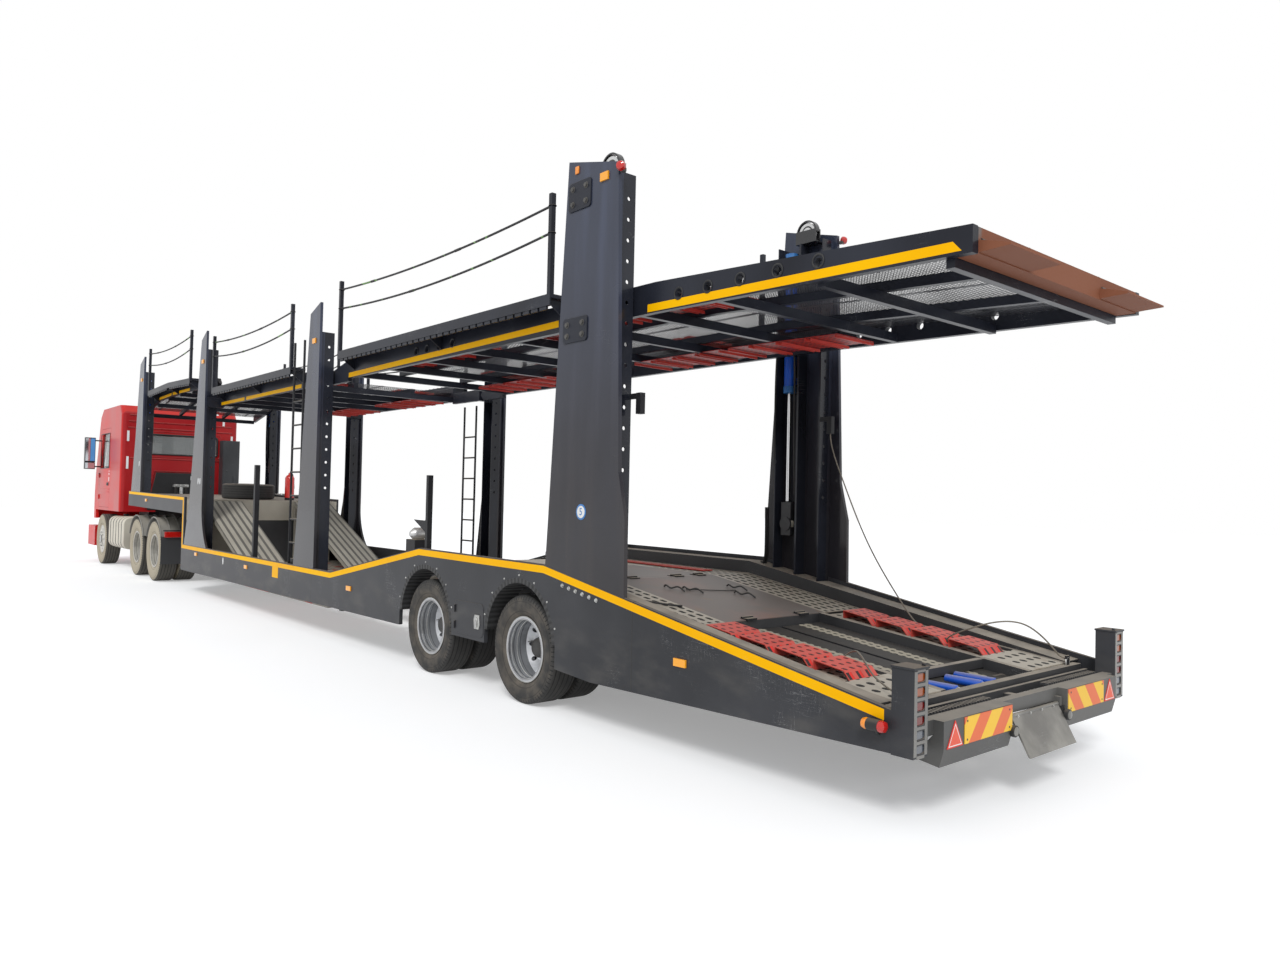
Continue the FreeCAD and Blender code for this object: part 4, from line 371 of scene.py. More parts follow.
class Finish:
    """One material: a principled shader and short words for the nodes that feed it."""

    made = {}

    def __init__(self, name, colour, rough=0.5, metal=0.0, **fixed):
        self.material = bpy.data.materials.new(name)
        self.material.use_nodes = True
        self.tree = self.material.node_tree
        self.shader = self.tree.nodes["Principled BSDF"]
        for socket, value in (("Base Color", (*colour, 1)), ("Roughness", rough), ("Metallic", metal)):
            self.shader.inputs[socket].default_value = value
        for word, value in fixed.items():
            self.shader.inputs[word.replace("_", " ").title().replace("Ior", "IOR")].default_value = value
        self.where = self.node("ShaderNodeTexCoord", out="Object")
        self.x, self.y, self.z = (self.node("ShaderNodeSeparateXYZ", {}, {0: self.where}, out=k) for k in range(3))
        self.x = self.x - TAIL
        self.up = self.node("ShaderNodeSeparateXYZ", {}, {0: self.node("ShaderNodeNewGeometry", out="Normal")}, out=2)
        Finish.made[name] = self

    def node(self, kind, settings=None, inputs=None, out=0):
        fresh = self.tree.nodes.new(kind)
        for word, value in (settings or {}).items():
            setattr(fresh, word, value)
        for word, value in (inputs or {}).items():
            if isinstance(value, Wire):
                self.tree.links.new(value.socket, fresh.inputs[word])
            else:
                fresh.inputs[word].default_value = value
        return Wire(self, fresh.outputs[out])

    def noise(self, scale, stretch=(1, 1, 1), detail=3.0, shift=(0, 0, 0)):
        place = self.node("ShaderNodeMapping", {}, {0: self.where, "Scale": stretch, "Location": shift})
        return self.node("ShaderNodeTexNoise", {}, {"Vector": place, "Scale": scale, "Detail": detail})

    def blend(self, share, a, b):
        """Colour a turning to colour b as share goes from 0 to 1."""
        a, b = (c if isinstance(c, Wire) else (*c, 1) for c in (a, b))
        return self.node("ShaderNodeMix", {"data_type": "RGBA"}, {0: share, 6: a, 7: b}, out=2)

    def feed(self, **links):
        for word, value in links.items():
            socket = self.shader.inputs[word.replace("_", " ").title()]
            self.tree.links.new(value.socket, socket)
        return self

    def bump(self, height, depth, strength=1.0):
        self.feed(Normal=self.node("ShaderNodeBump", {}, {"Height": height, "Distance": depth, "Strength": strength},
                                   out="Normal"))
        return self

    def holes(self, u, v, pitch_u, pitch_v, half_u, half_v):
        """1 inside a grid of round-ended slots, half_u long and half_v wide to each side."""
        straight, r = max(half_u - half_v, 0.0), half_v
        du = (u.from_nearest(pitch_u) - straight).largest(0.0)
        dv = v.from_nearest(pitch_v)
        return ((du * du + dv * dv) ** 0.5).under(r)

    def scuffs(self, amount=0.5):
        """Fine pale scratches in two directions, 1 on a scratch."""
        along = self.noise(3.0, (1.0, 1.0, 26.0), 2.0)
        across = self.noise(3.4, (14.0, 1.0, 1.6), 2.0, (3.0, 0, 1.0))
        patch = self.noise(2.6, detail=1.0).eased(0.60, 0.72)
        return (abs(along - 0.5).under(0.0030) + abs(across - 0.5).under(0.0024)) * patch * amount

    def dirt(self, low=0.35, high=0.95):
        """Dust that lies on what faces up, broken by a cloud."""
        return self.up.eased(low, high) * (self.noise(5.0, detail=4.0).eased(0.2, 0.62) * 0.5 + 0.5)


def any_of(masks):
    """1 where at least one of the masks is 1."""
    first, *rest = masks
    for mask in rest:
        first = first.largest(mask)
    return first


print("shader words ready")


# %% [markdown]
# ## Paint that has stood outside
#
# Every painted part shares one story: a base coat that is not quite even, pale scuffs where chains and
# shoes touched it, and yellow-brown dust wherever it faces the sky. One recipe tells it, and each finish
# passes its own colours. A part with a pattern of its own, such as slots, adds the pattern afterwards.

# %% Painted steel
DUST = (0.36, 0.31, 0.24)
GRIME = (0.17, 0.14, 0.11)


def painted(name, light, dark, rough=0.4, scuffed=0.3, dusty=0.8, dust=DUST, coat=0.0, metal=0.0, cloud_size=1.1,
            **fixed):
    f = Finish(name, dark, rough, metal, **({"coat_weight": coat, "coat_roughness": 0.08} if coat else {}), **fixed)
    f.cloud = f.noise(cloud_size, detail=5.0).eased(0.3, 0.72)
    f.shade = f.blend(f.cloud, dark, light)
    if scuffed:
        f.shade = f.blend(f.scuffs(scuffed), f.shade, (0.42, 0.42, 0.42))
    f.dust = f.dirt() * dusty
    f.shade = f.blend(f.dust, f.shade, dust)
    f.gloss = rough - 0.06 + f.cloud * 0.1 + f.dust * 0.4
    f.feed(Base_Color=f.shade, Roughness=f.gloss)
    f.bump(f.noise(45.0, detail=2.0), 0.0006)
    return f


SATIN = 0.22
BEAM = {"light": (0.024, 0.027, 0.038), "dark": (0.010, 0.011, 0.017), "rough": 0.36, "scuffed": 0.30, "dusty": 0.35,
        "dust": GRIME, "specular_ior_level": SATIN}
RAM_BLUE = {"light": (0.010, 0.11, 0.62), "dark": (0.006, 0.07, 0.46), "rough": 0.28, "scuffed": 0.0, "dusty": 0.5,
            "coat": 0.3}
DUSTY_BLACK = {"light": (0.045, 0.045, 0.047), "dark": (0.020, 0.020, 0.022), "rough": 0.5, "scuffed": 0.3,
               "dusty": 1.0, "dust": (0.31, 0.27, 0.22)}
side_paint = painted("side_plate_paint", (0.056, 0.057, 0.063), (0.030, 0.031, 0.035), 0.42, 0.45, 0.95, GRIME,
                     specular_ior_level=SATIN)
seams = abs(side_paint.x - 2.14).under(0.004).largest(abs(side_paint.x - 7.87).under(0.004))
splash = (0.95 - side_paint.z).eased(0.0, 0.6) * side_paint.noise(2.4, (1, 1, 2.2), 5.0).eased(0.45, 0.75) * 0.35
side_paint.feed(Base_Color=side_paint.blend(splash, side_paint.blend(seams, side_paint.shade, (0.03, 0.03, 0.03)),
                                            (0.15, 0.14, 0.125)))
side_paint.bump(side_paint.noise(45.0, detail=2.0) * 0.3 + seams, 0.0012)
post_paint = painted("post_gloss_paint", (0.024, 0.027, 0.038), (0.009, 0.010, 0.015), 0.24, 0.40, 0.45, GRIME, 0.25,
                     specular_ior_level=SATIN)
# Painted reflection: on the posts' outer faces the colour turns to a steel-blue sky sheen towards the top, broken by
# streaks.
high = (post_paint.z - 1.2).eased(0.0, 2.9)
sheen_streaks = post_paint.noise(2.2, (3.0, 1.0, 0.22), 3.0).eased(0.42, 0.72) * 0.35
sky_sheen_tone = post_paint.blend(high, (0.040, 0.034, 0.034), (0.062, 0.076, 0.125))
post_paint.shade = post_paint.blend(abs(post_paint.y).over(1.2) * (sheen_streaks + 0.45), post_paint.shade, sky_sheen_tone)
post_paint.feed(Base_Color=post_paint.shade)
beam_paint = painted("deck_beam_paint", **BEAM)
frame_paint = painted("chassis_black", (0.026, 0.026, 0.029), (0.010, 0.010, 0.012), 0.46, 0.25, 0.95, DUST,
                      specular_ior_level=SATIN)
grey_paint = painted("leg_grey", (0.12, 0.125, 0.13), (0.07, 0.072, 0.076), 0.5, 0.4, 0.8)
blue_paint = painted("cylinder_blue", **RAM_BLUE)
lift_blue = painted("lift_cylinder_blue", **RAM_BLUE)
cheeks = lift_blue.z.over(3.905) * lift_blue.x.under(4.0)
lift_blue.feed(Base_Color=lift_blue.blend(cheeks, lift_blue.shade, (0.018, 0.018, 0.020)))
casting = painted("greasy_casting", (0.10, 0.095, 0.088), (0.035, 0.034, 0.033), 0.58, 0.2, 0.7, GRIME)
print("paints:", ", ".join(Finish.made))

# %% [markdown]
# The lower deck is driven on. Its plates are beige with dust, and rows of slots let water and mud through.
# Cutting thousands of slots would cost more triangles than the rest of the trailer, so the slots are a
# pattern: a dark fill, which is painted shade where the slots are open, with a dent at its rim, laid out by
# the distance to the nearest slot centre.

# %% Lower deck finishes
def slotted_plate():
    f = painted("slotted_deck_plate", (0.40, 0.355, 0.285), (0.31, 0.27, 0.215), 0.62, 0.15, 0.5, (0.42, 0.38, 0.31))
    track = abs(f.y)
    tail = f.x.under(0.62)
    rows = f.holes(f.x, track - 0.62, 0.098, 0.080, 0.034, 0.0185) * f.x.over(1.96) * track.between(0.585, 1.02)
    rings = f.holes(f.x, track - 0.56, 0.105, 0.098, 0.026, 0.024) * tail * track.between(0.58, 0.98)
    grate = f.holes(f.x, track, 0.090, 0.085, 0.024, 0.018) * f.x.between(0.62, 1.95)
    plain = f.x.between(4.05, 4.60).largest(f.x.between(6.9, 7.5))
    # The open slots are filled near-black: painted shade seen through the holes.
    open_slots = rows.largest(rings).largest(grate) * f.up.over(0.5) * (1 - plain)
    hatch = track.under(0.566) * f.x.between(1.95, 4.30)
    plate = f.blend(hatch * 0.92, f.shade, f.blend(f.noise(1.6, detail=4.0).eased(0.4, 0.66), (0.125, 0.105, 0.096),
                                                   (0.19, 0.115, 0.10)))
    rust = f.noise(7.0, detail=6.0).eased(0.60, 0.72) * 0.5
    plate = f.blend(rust, plate, (0.20, 0.13, 0.075))
    edge = abs(f.x - 3.28).under(0.004) * track.under(0.565)
    f.feed(Base_Color=f.blend(open_slots.largest(edge), plate, (0.012, 0.011, 0.010)),
           Roughness=0.55 + open_slots * 0.35)
    return f.bump((1 - open_slots) + f.noise(70.0) * 0.15, 0.003)


def ribbed_steel():
    f = painted("ribbed_ramp_steel", (0.43, 0.40, 0.33), (0.30, 0.275, 0.225), 0.5, 0.2, 0.5, (0.45, 0.42, 0.35))
    grooves = (abs(f.y) - 0.43).from_nearest(0.103).under(0.020) * f.up.over(0.3)
    # The grooves between the ribs are painted near-black: painted shade in the recesses.
    f.feed(Base_Color=f.blend(grooves * 0.8, f.shade, (0.055, 0.052, 0.05)))
    return f.bump(1 - grooves, 0.006)


def well_plate():
    f = painted("well_plate", (0.34, 0.31, 0.26), (0.20, 0.185, 0.16), 0.55, 0.3, 0.6)
    red = f.noise(2.2, detail=4.0).eased(0.50, 0.60) * f.x.between(7.9, 12.9) * abs(f.y).over(0.4) * 0.85
    slots = f.holes(f.x, abs(f.y) - 0.5, 0.11, 0.12, 0.034, 0.018) * abs(f.y).between(0.45, 1.02) * f.up.over(0.5)
    # The slots are filled near-black: painted shade seen through the holes.
    f.feed(Base_Color=f.blend(slots, f.blend(red, f.shade, (0.42, 0.035, 0.02)), (0.015, 0.014, 0.013)))
    return f.bump(1 - slots, 0.003)


def perforated_red():
    f = painted("perforated_red", (0.62, 0.070, 0.050), (0.48, 0.042, 0.030), 0.50, 0.1, 0.32, (0.60, 0.19, 0.15))
    across = abs(f.y) - 0.652
    along = (f.x - 0.70).do("FLOORED_MODULO", 0.302)
    tops = f.holes(along, across, 0.074, 0.072, 0.020, 0.0165) * f.up.over(0.93)
    run = (f.x - 0.624).do("FLOORED_MODULO", 0.302)
    slope = run.between(0.012, 0.044) * (across - 0.033).from_nearest(0.092).under(0.026) * f.up.between(0.3, 0.93)
    # Painted light and shade in the slope slots: dark inside, with a bright red line for the lit sheet seen through
    # them.
    glow = (across - 0.020).from_nearest(0.092).under(0.012) * slope
    # The round holes on the tops are dark as painted shade, and the offset inner circle leaves a bright red crescent, a
    # painted highlight on one wall.
    inner = f.holes(along, across + 0.003, 0.074, 0.072, 0.0175, 0.014) * tops
    walls = f.blend(inner, (0.80, 0.022, 0.010), (0.035, 0.004, 0.003))
    holes = f.blend(slope, walls, f.blend(glow, (0.020, 0.003, 0.003), (0.75, 0.020, 0.010)))
    f.feed(Base_Color=f.blend(tops.largest(slope), f.shade, holes))
    return f.bump(1 - tops.largest(slope), 0.004)


deck_plate = slotted_plate()
ramp_steel = ribbed_steel()
well_steel = well_plate()
tread_red = perforated_red()


def ramp_bay():
    """Dark trays that hold two spare ramps, each with a pale perforated strip."""
    f = painted("stored_ramp_black", (0.022, 0.022, 0.024), (0.010, 0.010, 0.011), 0.6, 0.2, 0.08, DUST,
                specular_ior_level=SATIN)
    strip = abs(f.y).between(0.20, 0.33) * f.up.over(0.5)
    slots = f.holes(f.x, abs(f.y) - 0.265, 0.062, 0.064, 0.017, 0.0145) * strip
    # The slots in the pale strip are filled near-black: painted shade seen through the holes.
    f.feed(Base_Color=f.blend(slots, f.blend(strip * 0.9, f.shade, (0.40, 0.36, 0.28)), (0.012, 0.011, 0.010)))
    return f.bump(1 - slots, 0.003)


def neck_steel():
    """Black neck with a pale, dusty plate at the front of the well."""
    f = painted("gooseneck_black", **DUSTY_BLACK)
    wall = f.x.under(13.352) * f.z.between(1.12, 1.50) * f.up.under(0.5)
    edge = wall * f.z.under(1.155)
    plate = f.blend(f.cloud, (0.46, 0.42, 0.34), (0.58, 0.54, 0.45))
    f.feed(Base_Color=f.blend(wall, f.shade, f.blend(edge, plate, (0.03, 0.03, 0.03))))
    return f


ramp_tray = ramp_bay()
neck_frame = neck_steel()
deck_frame = painted("deck_frame_dusty", **DUSTY_BLACK)
print("deck finishes ready")

# %% [markdown]
# The upper decks are floored with expanded metal: a steel sheet that was slit and pulled into diamonds. From
# below, daylight comes through it. Real diamonds would need hundreds of thousands of strands, so the sheet's
# alpha is cut by a diamond pattern: two sets of slanting lines, one minus the other.

# %% Expanded metal and upper treads
def expanded_metal(name, groups):
    f = painted(name, (0.075, 0.078, 0.090), (0.030, 0.032, 0.040), 0.42, 0.0, 0.4, GRIME)
    red_zone = any_of(f.x.between(start - 0.005, start + 0.150 * count - 0.010) for start, count in groups)
    red_zone = red_zone * abs(f.y).between(0.445, 0.995)
    a, b = f.x * 16.0 + f.y * 36.0, f.x * 16.0 - f.y * 36.0
    strands = a.from_nearest(1.0).under(0.15).largest(b.from_nearest(1.0).under(0.15))
    rim = abs(f.y).from_nearest(0.405).under(0.014)
    local = (f.x - groups[0][0]).do("FLOORED_MODULO", 0.150) - 0.068
    punched = f.holes(local, abs(f.y) - 0.47, 0.30, 0.070, 0.024, 0.017)
    red = f.blend(f.cloud, (0.50, 0.03, 0.018), (0.66, 0.055, 0.035))
    f.feed(Base_Color=f.blend(red_zone, f.shade, red),
           Alpha=(red_zone * (1 - punched)).largest((1 - red_zone) * strands.largest(rim)))
    return f


panel_rear = expanded_metal("expanded_metal_rear", ((3.40, 3), (5.20, 5), (6.70, 3)))
panel_middle = expanded_metal("expanded_metal_middle", ((9.30, 3), (11.40, 3)))
panel_front = expanded_metal("expanded_metal_front", ((13.90, 3),))


def rear_deck_beams():
    """Beam paint, with the bare primer of the end crossbar."""
    f = painted("rear_deck_beams", **BEAM)
    end = f.x.under(-0.058) * abs(f.y).under(1.005)
    bare = f.noise(1.7, (1, 1, 0.6), 4.0).eased(0.56, 0.62)
    primer = f.blend(bare, (0.25, 0.090, 0.045), (0.20, 0.185, 0.17))
    f.feed(Base_Color=f.blend(end * 0.92, f.shade, primer), Roughness=f.gloss + end * 0.3)
    return f


rear_beams = rear_deck_beams()
print("upper deck finishes ready")

# %% [markdown]
# ## Wheels
#
# One CAD solid holds two tyres and their rims, so one material must paint rubber and metal. The distance
# from the axle tells them apart: everything nearer than the bead is rim. The same distance draws the rings
# on the side wall, and the angle round the axle draws the lugs of the shoulder.

# %% Tyres and rims
def wheel_finish(name, x, radius, seat, width, dust, rim_light, rim_metal):
    f = Finish(name, (0.03, 0.03, 0.03), 0.8)
    dx, dz = f.x - x, f.z - radius
    r = (dx * dx + dz * dz) ** 0.5
    angle = dz.do("ARCTAN2", dx)
    metal = r.under(seat + 0.0125)
    across = abs(f.y) - (1.234 - width / 2)
    tread = r.over(radius - 0.006)
    grooves = across.from_nearest(width / 6.1).under(0.0045) * tread
    lugs = angle.from_nearest(2 * math.pi / 72).under(0.012) * r.between(radius - 0.034, radius - 0.004)
    rings = (r - radius).from_nearest(0.014).under(0.0012) * r.between(seat + 0.03, radius - 0.04)
    wear = f.noise(9.0, detail=5.0)
    clay = (0.23, 0.19, 0.145) if dust < 1 else (0.50, 0.44, 0.33)
    side_wall = r.under(radius - 0.020)
    patches = wear.eased(0.35, 0.7) * 0.6 if dust < 1 else wear * 0.3 + 0.55
    brown = ((patches + (1 - (r - seat).eased(0.02, 0.12)) * 0.4) * dust).smallest(0.92) * (side_wall * 0.90 + 0.10)
    band_1, band_2 = abs(r - seat - 0.055).under(0.004), abs(r - radius + 0.050).under(0.003)
    rubber = f.blend(brown, f.blend(wear, (0.022, 0.022, 0.022), (0.055, 0.053, 0.050)), clay)
    rubber = f.blend(band_1.largest(band_2) * 0.45, rubber, (0.012, 0.012, 0.012))
    # Tread grooves and shoulder lugs are painted near-black: painted shade in the grooves.
    rubber = f.blend(grooves.largest(lugs * 0.8), rubber, (0.006, 0.006, 0.006))
    silver = f.blend(wear.eased(0.45, 0.75), rim_light, tuple(c * 0.72 for c in rim_light))
    # Painted shade: the steps of the deep dish are painted as darker bands on the rim.
    dish = abs(f.y)
    steps = any_of(dish.between(*step) for step in ((1.196, 1.204), (1.150, 1.162),
                                                    (1.090, 1.098))) * r.over(seat - 0.030)
    silver = f.blend(steps * 0.75, silver, tuple(c * 0.30 for c in rim_light))
    greasy = r.under(0.088).largest(dish.under(0.9) * r.under(0.125))
    silver = f.blend(greasy, silver, (0.050, 0.047, 0.044))
    silver = f.blend(r.between(seat - 0.012, seat - 0.004) * 0.6, silver, (0.16, 0.14, 0.12))
    f.feed(Base_Color=f.blend(metal, rubber, silver), Metallic=metal * rim_metal * (1 - greasy),
           Roughness=0.82 - metal * 0.42)
    return f.bump(grooves * -1.0 - lugs - rings * 0.4 + wear * 0.2, 0.006)


WHEELS = {}
TRUCK_RIM = ((0.60, 0.58, 0.53), 0.45)
for place, station in TRAILER_AXLES.items():
    WHEELS["trailer_wheels_" + place] = wheel_finish("trailer_wheel_" + place, station, 0.430, 0.248, 0.265, 0.45,
                                                     (0.50, 0.51, 0.53), 0.80)
for place, station in DRIVE_AXLES.items():
    WHEELS["drive_wheels_" + place] = wheel_finish("drive_wheel_" + place, station, 0.540, 0.286, 0.300, 2.2,
                                                   *TRUCK_RIM)
WHEELS["steer_wheel"] = wheel_finish("steer_wheel_rubber", STEER_AXLE, 0.540, 0.286, 0.300, 2.0, *TRUCK_RIM)


def spare_finish():
    f = Finish("spare_tyre", (0.02, 0.02, 0.02), 0.75)
    dx = f.x - 14.25
    r = (dx * dx + f.y * f.y) ** 0.5
    metal = r.under(0.262)
    height = f.z - 1.505 - dx * 0.0175
    grooves = (height - 0.133).from_nearest(0.043).under(0.004) * r.over(0.42)
    # The tread grooves are painted near-black: painted shade in the grooves.
    rubber = f.blend(f.dirt(), f.blend(grooves, (0.030, 0.029, 0.028), (0.004, 0.004, 0.004)), (0.12, 0.10, 0.08))
    f.feed(Base_Color=f.blend(metal, rubber, (0.45, 0.44, 0.41)), Metallic=metal * 0.4)
    return f.bump(1 - grooves, 0.005)


spare_rubber = spare_finish()
print("wheel finishes:", len(WHEELS) + 1)

# %% [markdown]
# Rubber, plastic, glass and the tractor's own paints follow. The mudguards of the trailer are pleated, which
# is a wave of the angle round each axle, both in the bumps and as painted light and shade across each pleat.
# The rear lamps are one lens per slot, coloured by their height.

# %% Rubber, lamps and boards
def pleated_rubber():
    f = Finish("pleated_mudguard", (0.02, 0.02, 0.021), 0.6)
    # The pleat wave also drives the colour, from dark to lighter across each pleat: painted light and shade on the
    # pleats' faces.
    turn = any_of((f.z - ARCH_Z).do("ARCTAN2", f.x - station).from_nearest(2 * math.pi / 60) * 20.0
                  * abs(f.x - station).under(0.78) for station in TRAILER_AXLES.values())
    f.feed(Base_Color=f.blend(f.dirt(0.1, 0.8) * 0.7, f.blend(turn, (0.010, 0.010, 0.010), (0.036, 0.036, 0.037)),
                              (0.16, 0.14, 0.115)))
    return f.bump(turn, 0.006)


def lens_finish():
    f = Finish("lamp_lens", (0.9, 0.3, 0.02), 0.18, coat_weight=0.5, coat_roughness=0.05)
    rear = f.x.under(0.0)
    red = rear * f.z.between(0.53, 0.675)
    clear = rear * f.z.under(0.53)
    # The rear lenses' amber and red are darkened copies of the bright lens colours: painted shade on the rear lamps.
    colour = f.blend(rear, (1.0, 0.40, 0.004), f.blend(red, (0.30, 0.062, 0.010), (0.16, 0.008, 0.006)))
    facets = f.y.from_nearest(0.012) + f.z.from_nearest(0.012)
    f.feed(Base_Color=f.blend(clear, colour, (0.12, 0.13, 0.15)))
    return f.bump(facets, 0.002, 0.6)


def board_finish():
    """Dusty grey boxes, with a striped board and a warning triangle on each."""
    f = painted("tail_boxes", (0.115, 0.112, 0.105), (0.060, 0.060, 0.058), 0.5, 0.5, 0.9, (0.27, 0.24, 0.20))
    front = f.x.under(-0.0602)
    y = abs(f.y)
    board = front * y.under(0.865)
    stripes = (y + (f.z - 0.40) * 0.85 - 0.02).from_nearest(0.248).under(0.062)
    yellow_red = f.blend(stripes, (0.93, 0.56, 0.03), (0.80, 0.155, 0.045))
    dx, dz = abs(y - 0.954), f.z - 0.404
    edge = (0.078 - dx) * 0.87 - dz * 0.495
    inside = edge.smallest(dz)
    triangle = f.blend(inside.between(0.007, 0.012), f.blend(inside.over(0.012), (0.78, 0.035, 0.02),
                                                             (0.82, 0.10, 0.05)),
                       (0.85, 0.82, 0.78))
    print_on = f.blend(board, triangle, yellow_red)
    f.feed(Base_Color=f.blend(front, f.shade, f.blend(f.cloud * 0.10, print_on, (0.45, 0.36, 0.26))))
    return f


mudguard_rubber = pleated_rubber()
lens = lens_finish()
tail_boxes = board_finish()
flap_steel = painted("flap_stainless", (0.36, 0.35, 0.32), (0.16, 0.155, 0.145), 0.34, 0.6, 0.5, metal=0.7,
                     cloud_size=3.5)
black_rubber = painted("black_rubber", (0.022, 0.022, 0.023), (0.012, 0.012, 0.012), 0.62, 0.0, 0.5, GRIME)
rope_sleeve = Finish("rope_sleeve", (0.015, 0.015, 0.017), 0.6)
bare = rope_sleeve.noise(1.5, detail=0.0).between(0.485, 0.50)
rope_sleeve.feed(Base_Color=rope_sleeve.blend(bare, (0.014, 0.014, 0.016), (0.16, 0.30, 0.10)))
wire_steel = Finish("wire_rope_steel", (0.30, 0.27, 0.22), 0.5, 0.4)
# Each strand goes from dark in its groove to lighter on its crown: painted shade between the strands.
lay = (wire_steel.x + wire_steel.y * 0.7 + wire_steel.z * 1.3).from_nearest(0.012) * 90.0
wire_steel.feed(Base_Color=wire_steel.blend(lay, (0.13, 0.11, 0.085), (0.40, 0.36, 0.30)))
wire_steel.bump(lay, 0.001)
print("rubber, lens and board finishes ready")

# %% Tractor finishes
def cab_finish():
    f = painted("cab_red", (0.66, 0.022, 0.018), (0.50, 0.012, 0.012), 0.34, 0.0, 0.30, (0.50, 0.12, 0.08), 0.08,
                specular_ior_level=SATIN)
    rear = f.x.under(18.83)
    ribs = f.z.from_nearest(0.30).under(0.035) * rear * f.z.between(2.9, 3.25)
    f.bump(ribs + f.noise(40.0) * 0.03, 0.010)
    # The cab's rear wall is painted a darker red: painted shade on the wall.
    shade = f.blend(rear * 0.55, f.shade, (0.22, 0.008, 0.014))
    mirror = abs(f.y).over(1.165) * f.z.over(1.9)
    f.feed(Base_Color=f.blend(mirror, shade, (0.022, 0.023, 0.026)))
    return f


cab_red = cab_finish()
tank_alloy = painted("tank_alloy", (0.66, 0.62, 0.52), (0.52, 0.48, 0.40), 0.46, 0.2, 0.8, (0.60, 0.55, 0.44),
                     metal=0.2)
guard_plastic = painted("mudguard_plastic", (0.30, 0.29, 0.265), (0.19, 0.185, 0.172), 0.62, 0.2, 0.7,
                        (0.42, 0.38, 0.31))
flap = guard_plastic.x.under(14.930)
guard_plastic.feed(Base_Color=guard_plastic.blend(flap * 0.94, guard_plastic.shade, (0.020, 0.021, 0.024)))
dark_plastic = painted("dark_plastic", (0.045, 0.047, 0.052), (0.024, 0.025, 0.028), 0.48, 0.1, 0.5, GRIME)
trim_cloth = Finish("seat_cloth", (0.06, 0.06, 0.065), 0.9)
weave = trim_cloth.x.from_nearest(0.006) + trim_cloth.y.from_nearest(0.006) + trim_cloth.z.from_nearest(0.006)
trim_cloth.feed(Base_Color=trim_cloth.blend(weave * 200.0, (0.035, 0.035, 0.04), (0.10, 0.10, 0.11)))
trim_cloth.bump(weave, 0.002)
glass = Finish("cab_glass_tint", (0.10, 0.12, 0.12), 0.04, coat_weight=0.6, alpha=0.45)
glass.feed(Roughness=glass.noise(3.0, detail=3.0) * 0.06 + 0.02)
chrome = Finish("hard_chrome", (0.62, 0.62, 0.63), 0.14, 1.0)
chrome.feed(Roughness=chrome.noise(8.0, (1, 1, 0.1)) * 0.14 + 0.08)


def rod_finish():
    """Chrome rod above, and the black block with its cream sheave below."""
    f = Finish("lift_rod_steel", (0.62, 0.62, 0.63), 0.14, 1.0)
    block = f.z.under(1.662).largest(f.x.over(10.0) * f.z.under(2.342))
    middles = [(f.x - x, f.z - z) for x, z in ((2.830, 1.455), (16.570, 2.135))]
    sheave = any_of(((dx * dx + dz * dz) ** 0.5).under(0.0625)
                    for dx, dz in middles) * abs(abs(f.y) - 1.15).under(0.019)
    dark = f.blend(f.noise(9.0), (0.014, 0.014, 0.016), (0.040, 0.040, 0.042))
    part = f.blend(sheave, dark, (0.66, 0.62, 0.52))
    f.feed(Base_Color=f.blend(block, (0.62, 0.62, 0.63), part), Metallic=1 - block, Roughness=block * 0.35 + 0.10)
    return f


rod_steel = rod_finish()
zinc = painted("zinc_plate", (0.55, 0.55, 0.53), (0.36, 0.36, 0.35), 0.36, 0.0, 0.3, metal=0.8, cloud_size=14.0)
stripe_paint = painted("stripe_yellow", (1.0, 0.53, 0.0), (0.96, 0.47, 0.0), 0.45, 0.10, 0.12, (0.70, 0.42, 0.06),
                       specular_ior_level=0.08)
print("all finishes:", len(Finish.made))

# %% Give every node its finish
DRESS = {
    "side_frames": side_paint, "mudguard_rims": mudguard_rubber, "rear_deck_frame": deck_frame,
    "rear_deck_plates": deck_plate, "red_treads": tread_red, "rear_bumper": tail_boxes, "lamp_posts": side_paint,
    "signal_lamps": lens, "tail_flap": flap_steel, "stored_ramps": ramp_tray, "well_floor": well_steel,
    "well_ramps": ramp_steel, "gooseneck": neck_frame, "landing_legs": grey_paint, "trailer_axles": frame_paint,
    "posts": post_paint, "lift_cylinders": lift_blue, "lift_rods_front": rod_steel, "lift_rods_rear": rod_steel,
    "upper_deck_rear": rear_beams, "upper_deck_middle": beam_paint, "upper_deck_front": beam_paint,
    "deck_panels_rear": panel_rear, "deck_panels_middle": panel_middle, "deck_panels_front": panel_front,
    "spare_wheel": spare_rubber, "trailer_fittings": frame_paint, "tractor_chassis": frame_paint,
    "fifth_wheel": casting, "drive_axles": casting, "drive_mudguards": guard_plastic, "fuel_tank": tank_alloy,
    "side_locker": dark_plastic, "front_bumper": cab_red, "engine_block": casting, "front_axle": casting,
    "knuckle_left": casting, "knuckle_right": casting, "cab_shell": cab_red, "cab_glass": glass,
    "cab_front": dark_plastic, "cab_interior": trim_cloth, "air_intake": dark_plastic, "door_left": cab_red,
    "door_right": cab_red, "rope_left": wire_steel, "rope_right": wire_steel, "hand_ropes_rear": rope_sleeve,
    "hand_ropes_middle": rope_sleeve, "hand_ropes_front": rope_sleeve,
}
for node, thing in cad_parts.items():
    finish = DRESS.get(node) or WHEELS[node.rsplit("_", 1)[0]]
    thing.data.materials.clear()
    thing.data.materials.append(finish.material)
for rope in (rope_right, rope_left):
    rope.data.materials.append(wire_steel.material)
for rope in hand_ropes:
    rope.data.materials.append(rope_sleeve.material)
print("dressed nodes:", len(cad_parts))

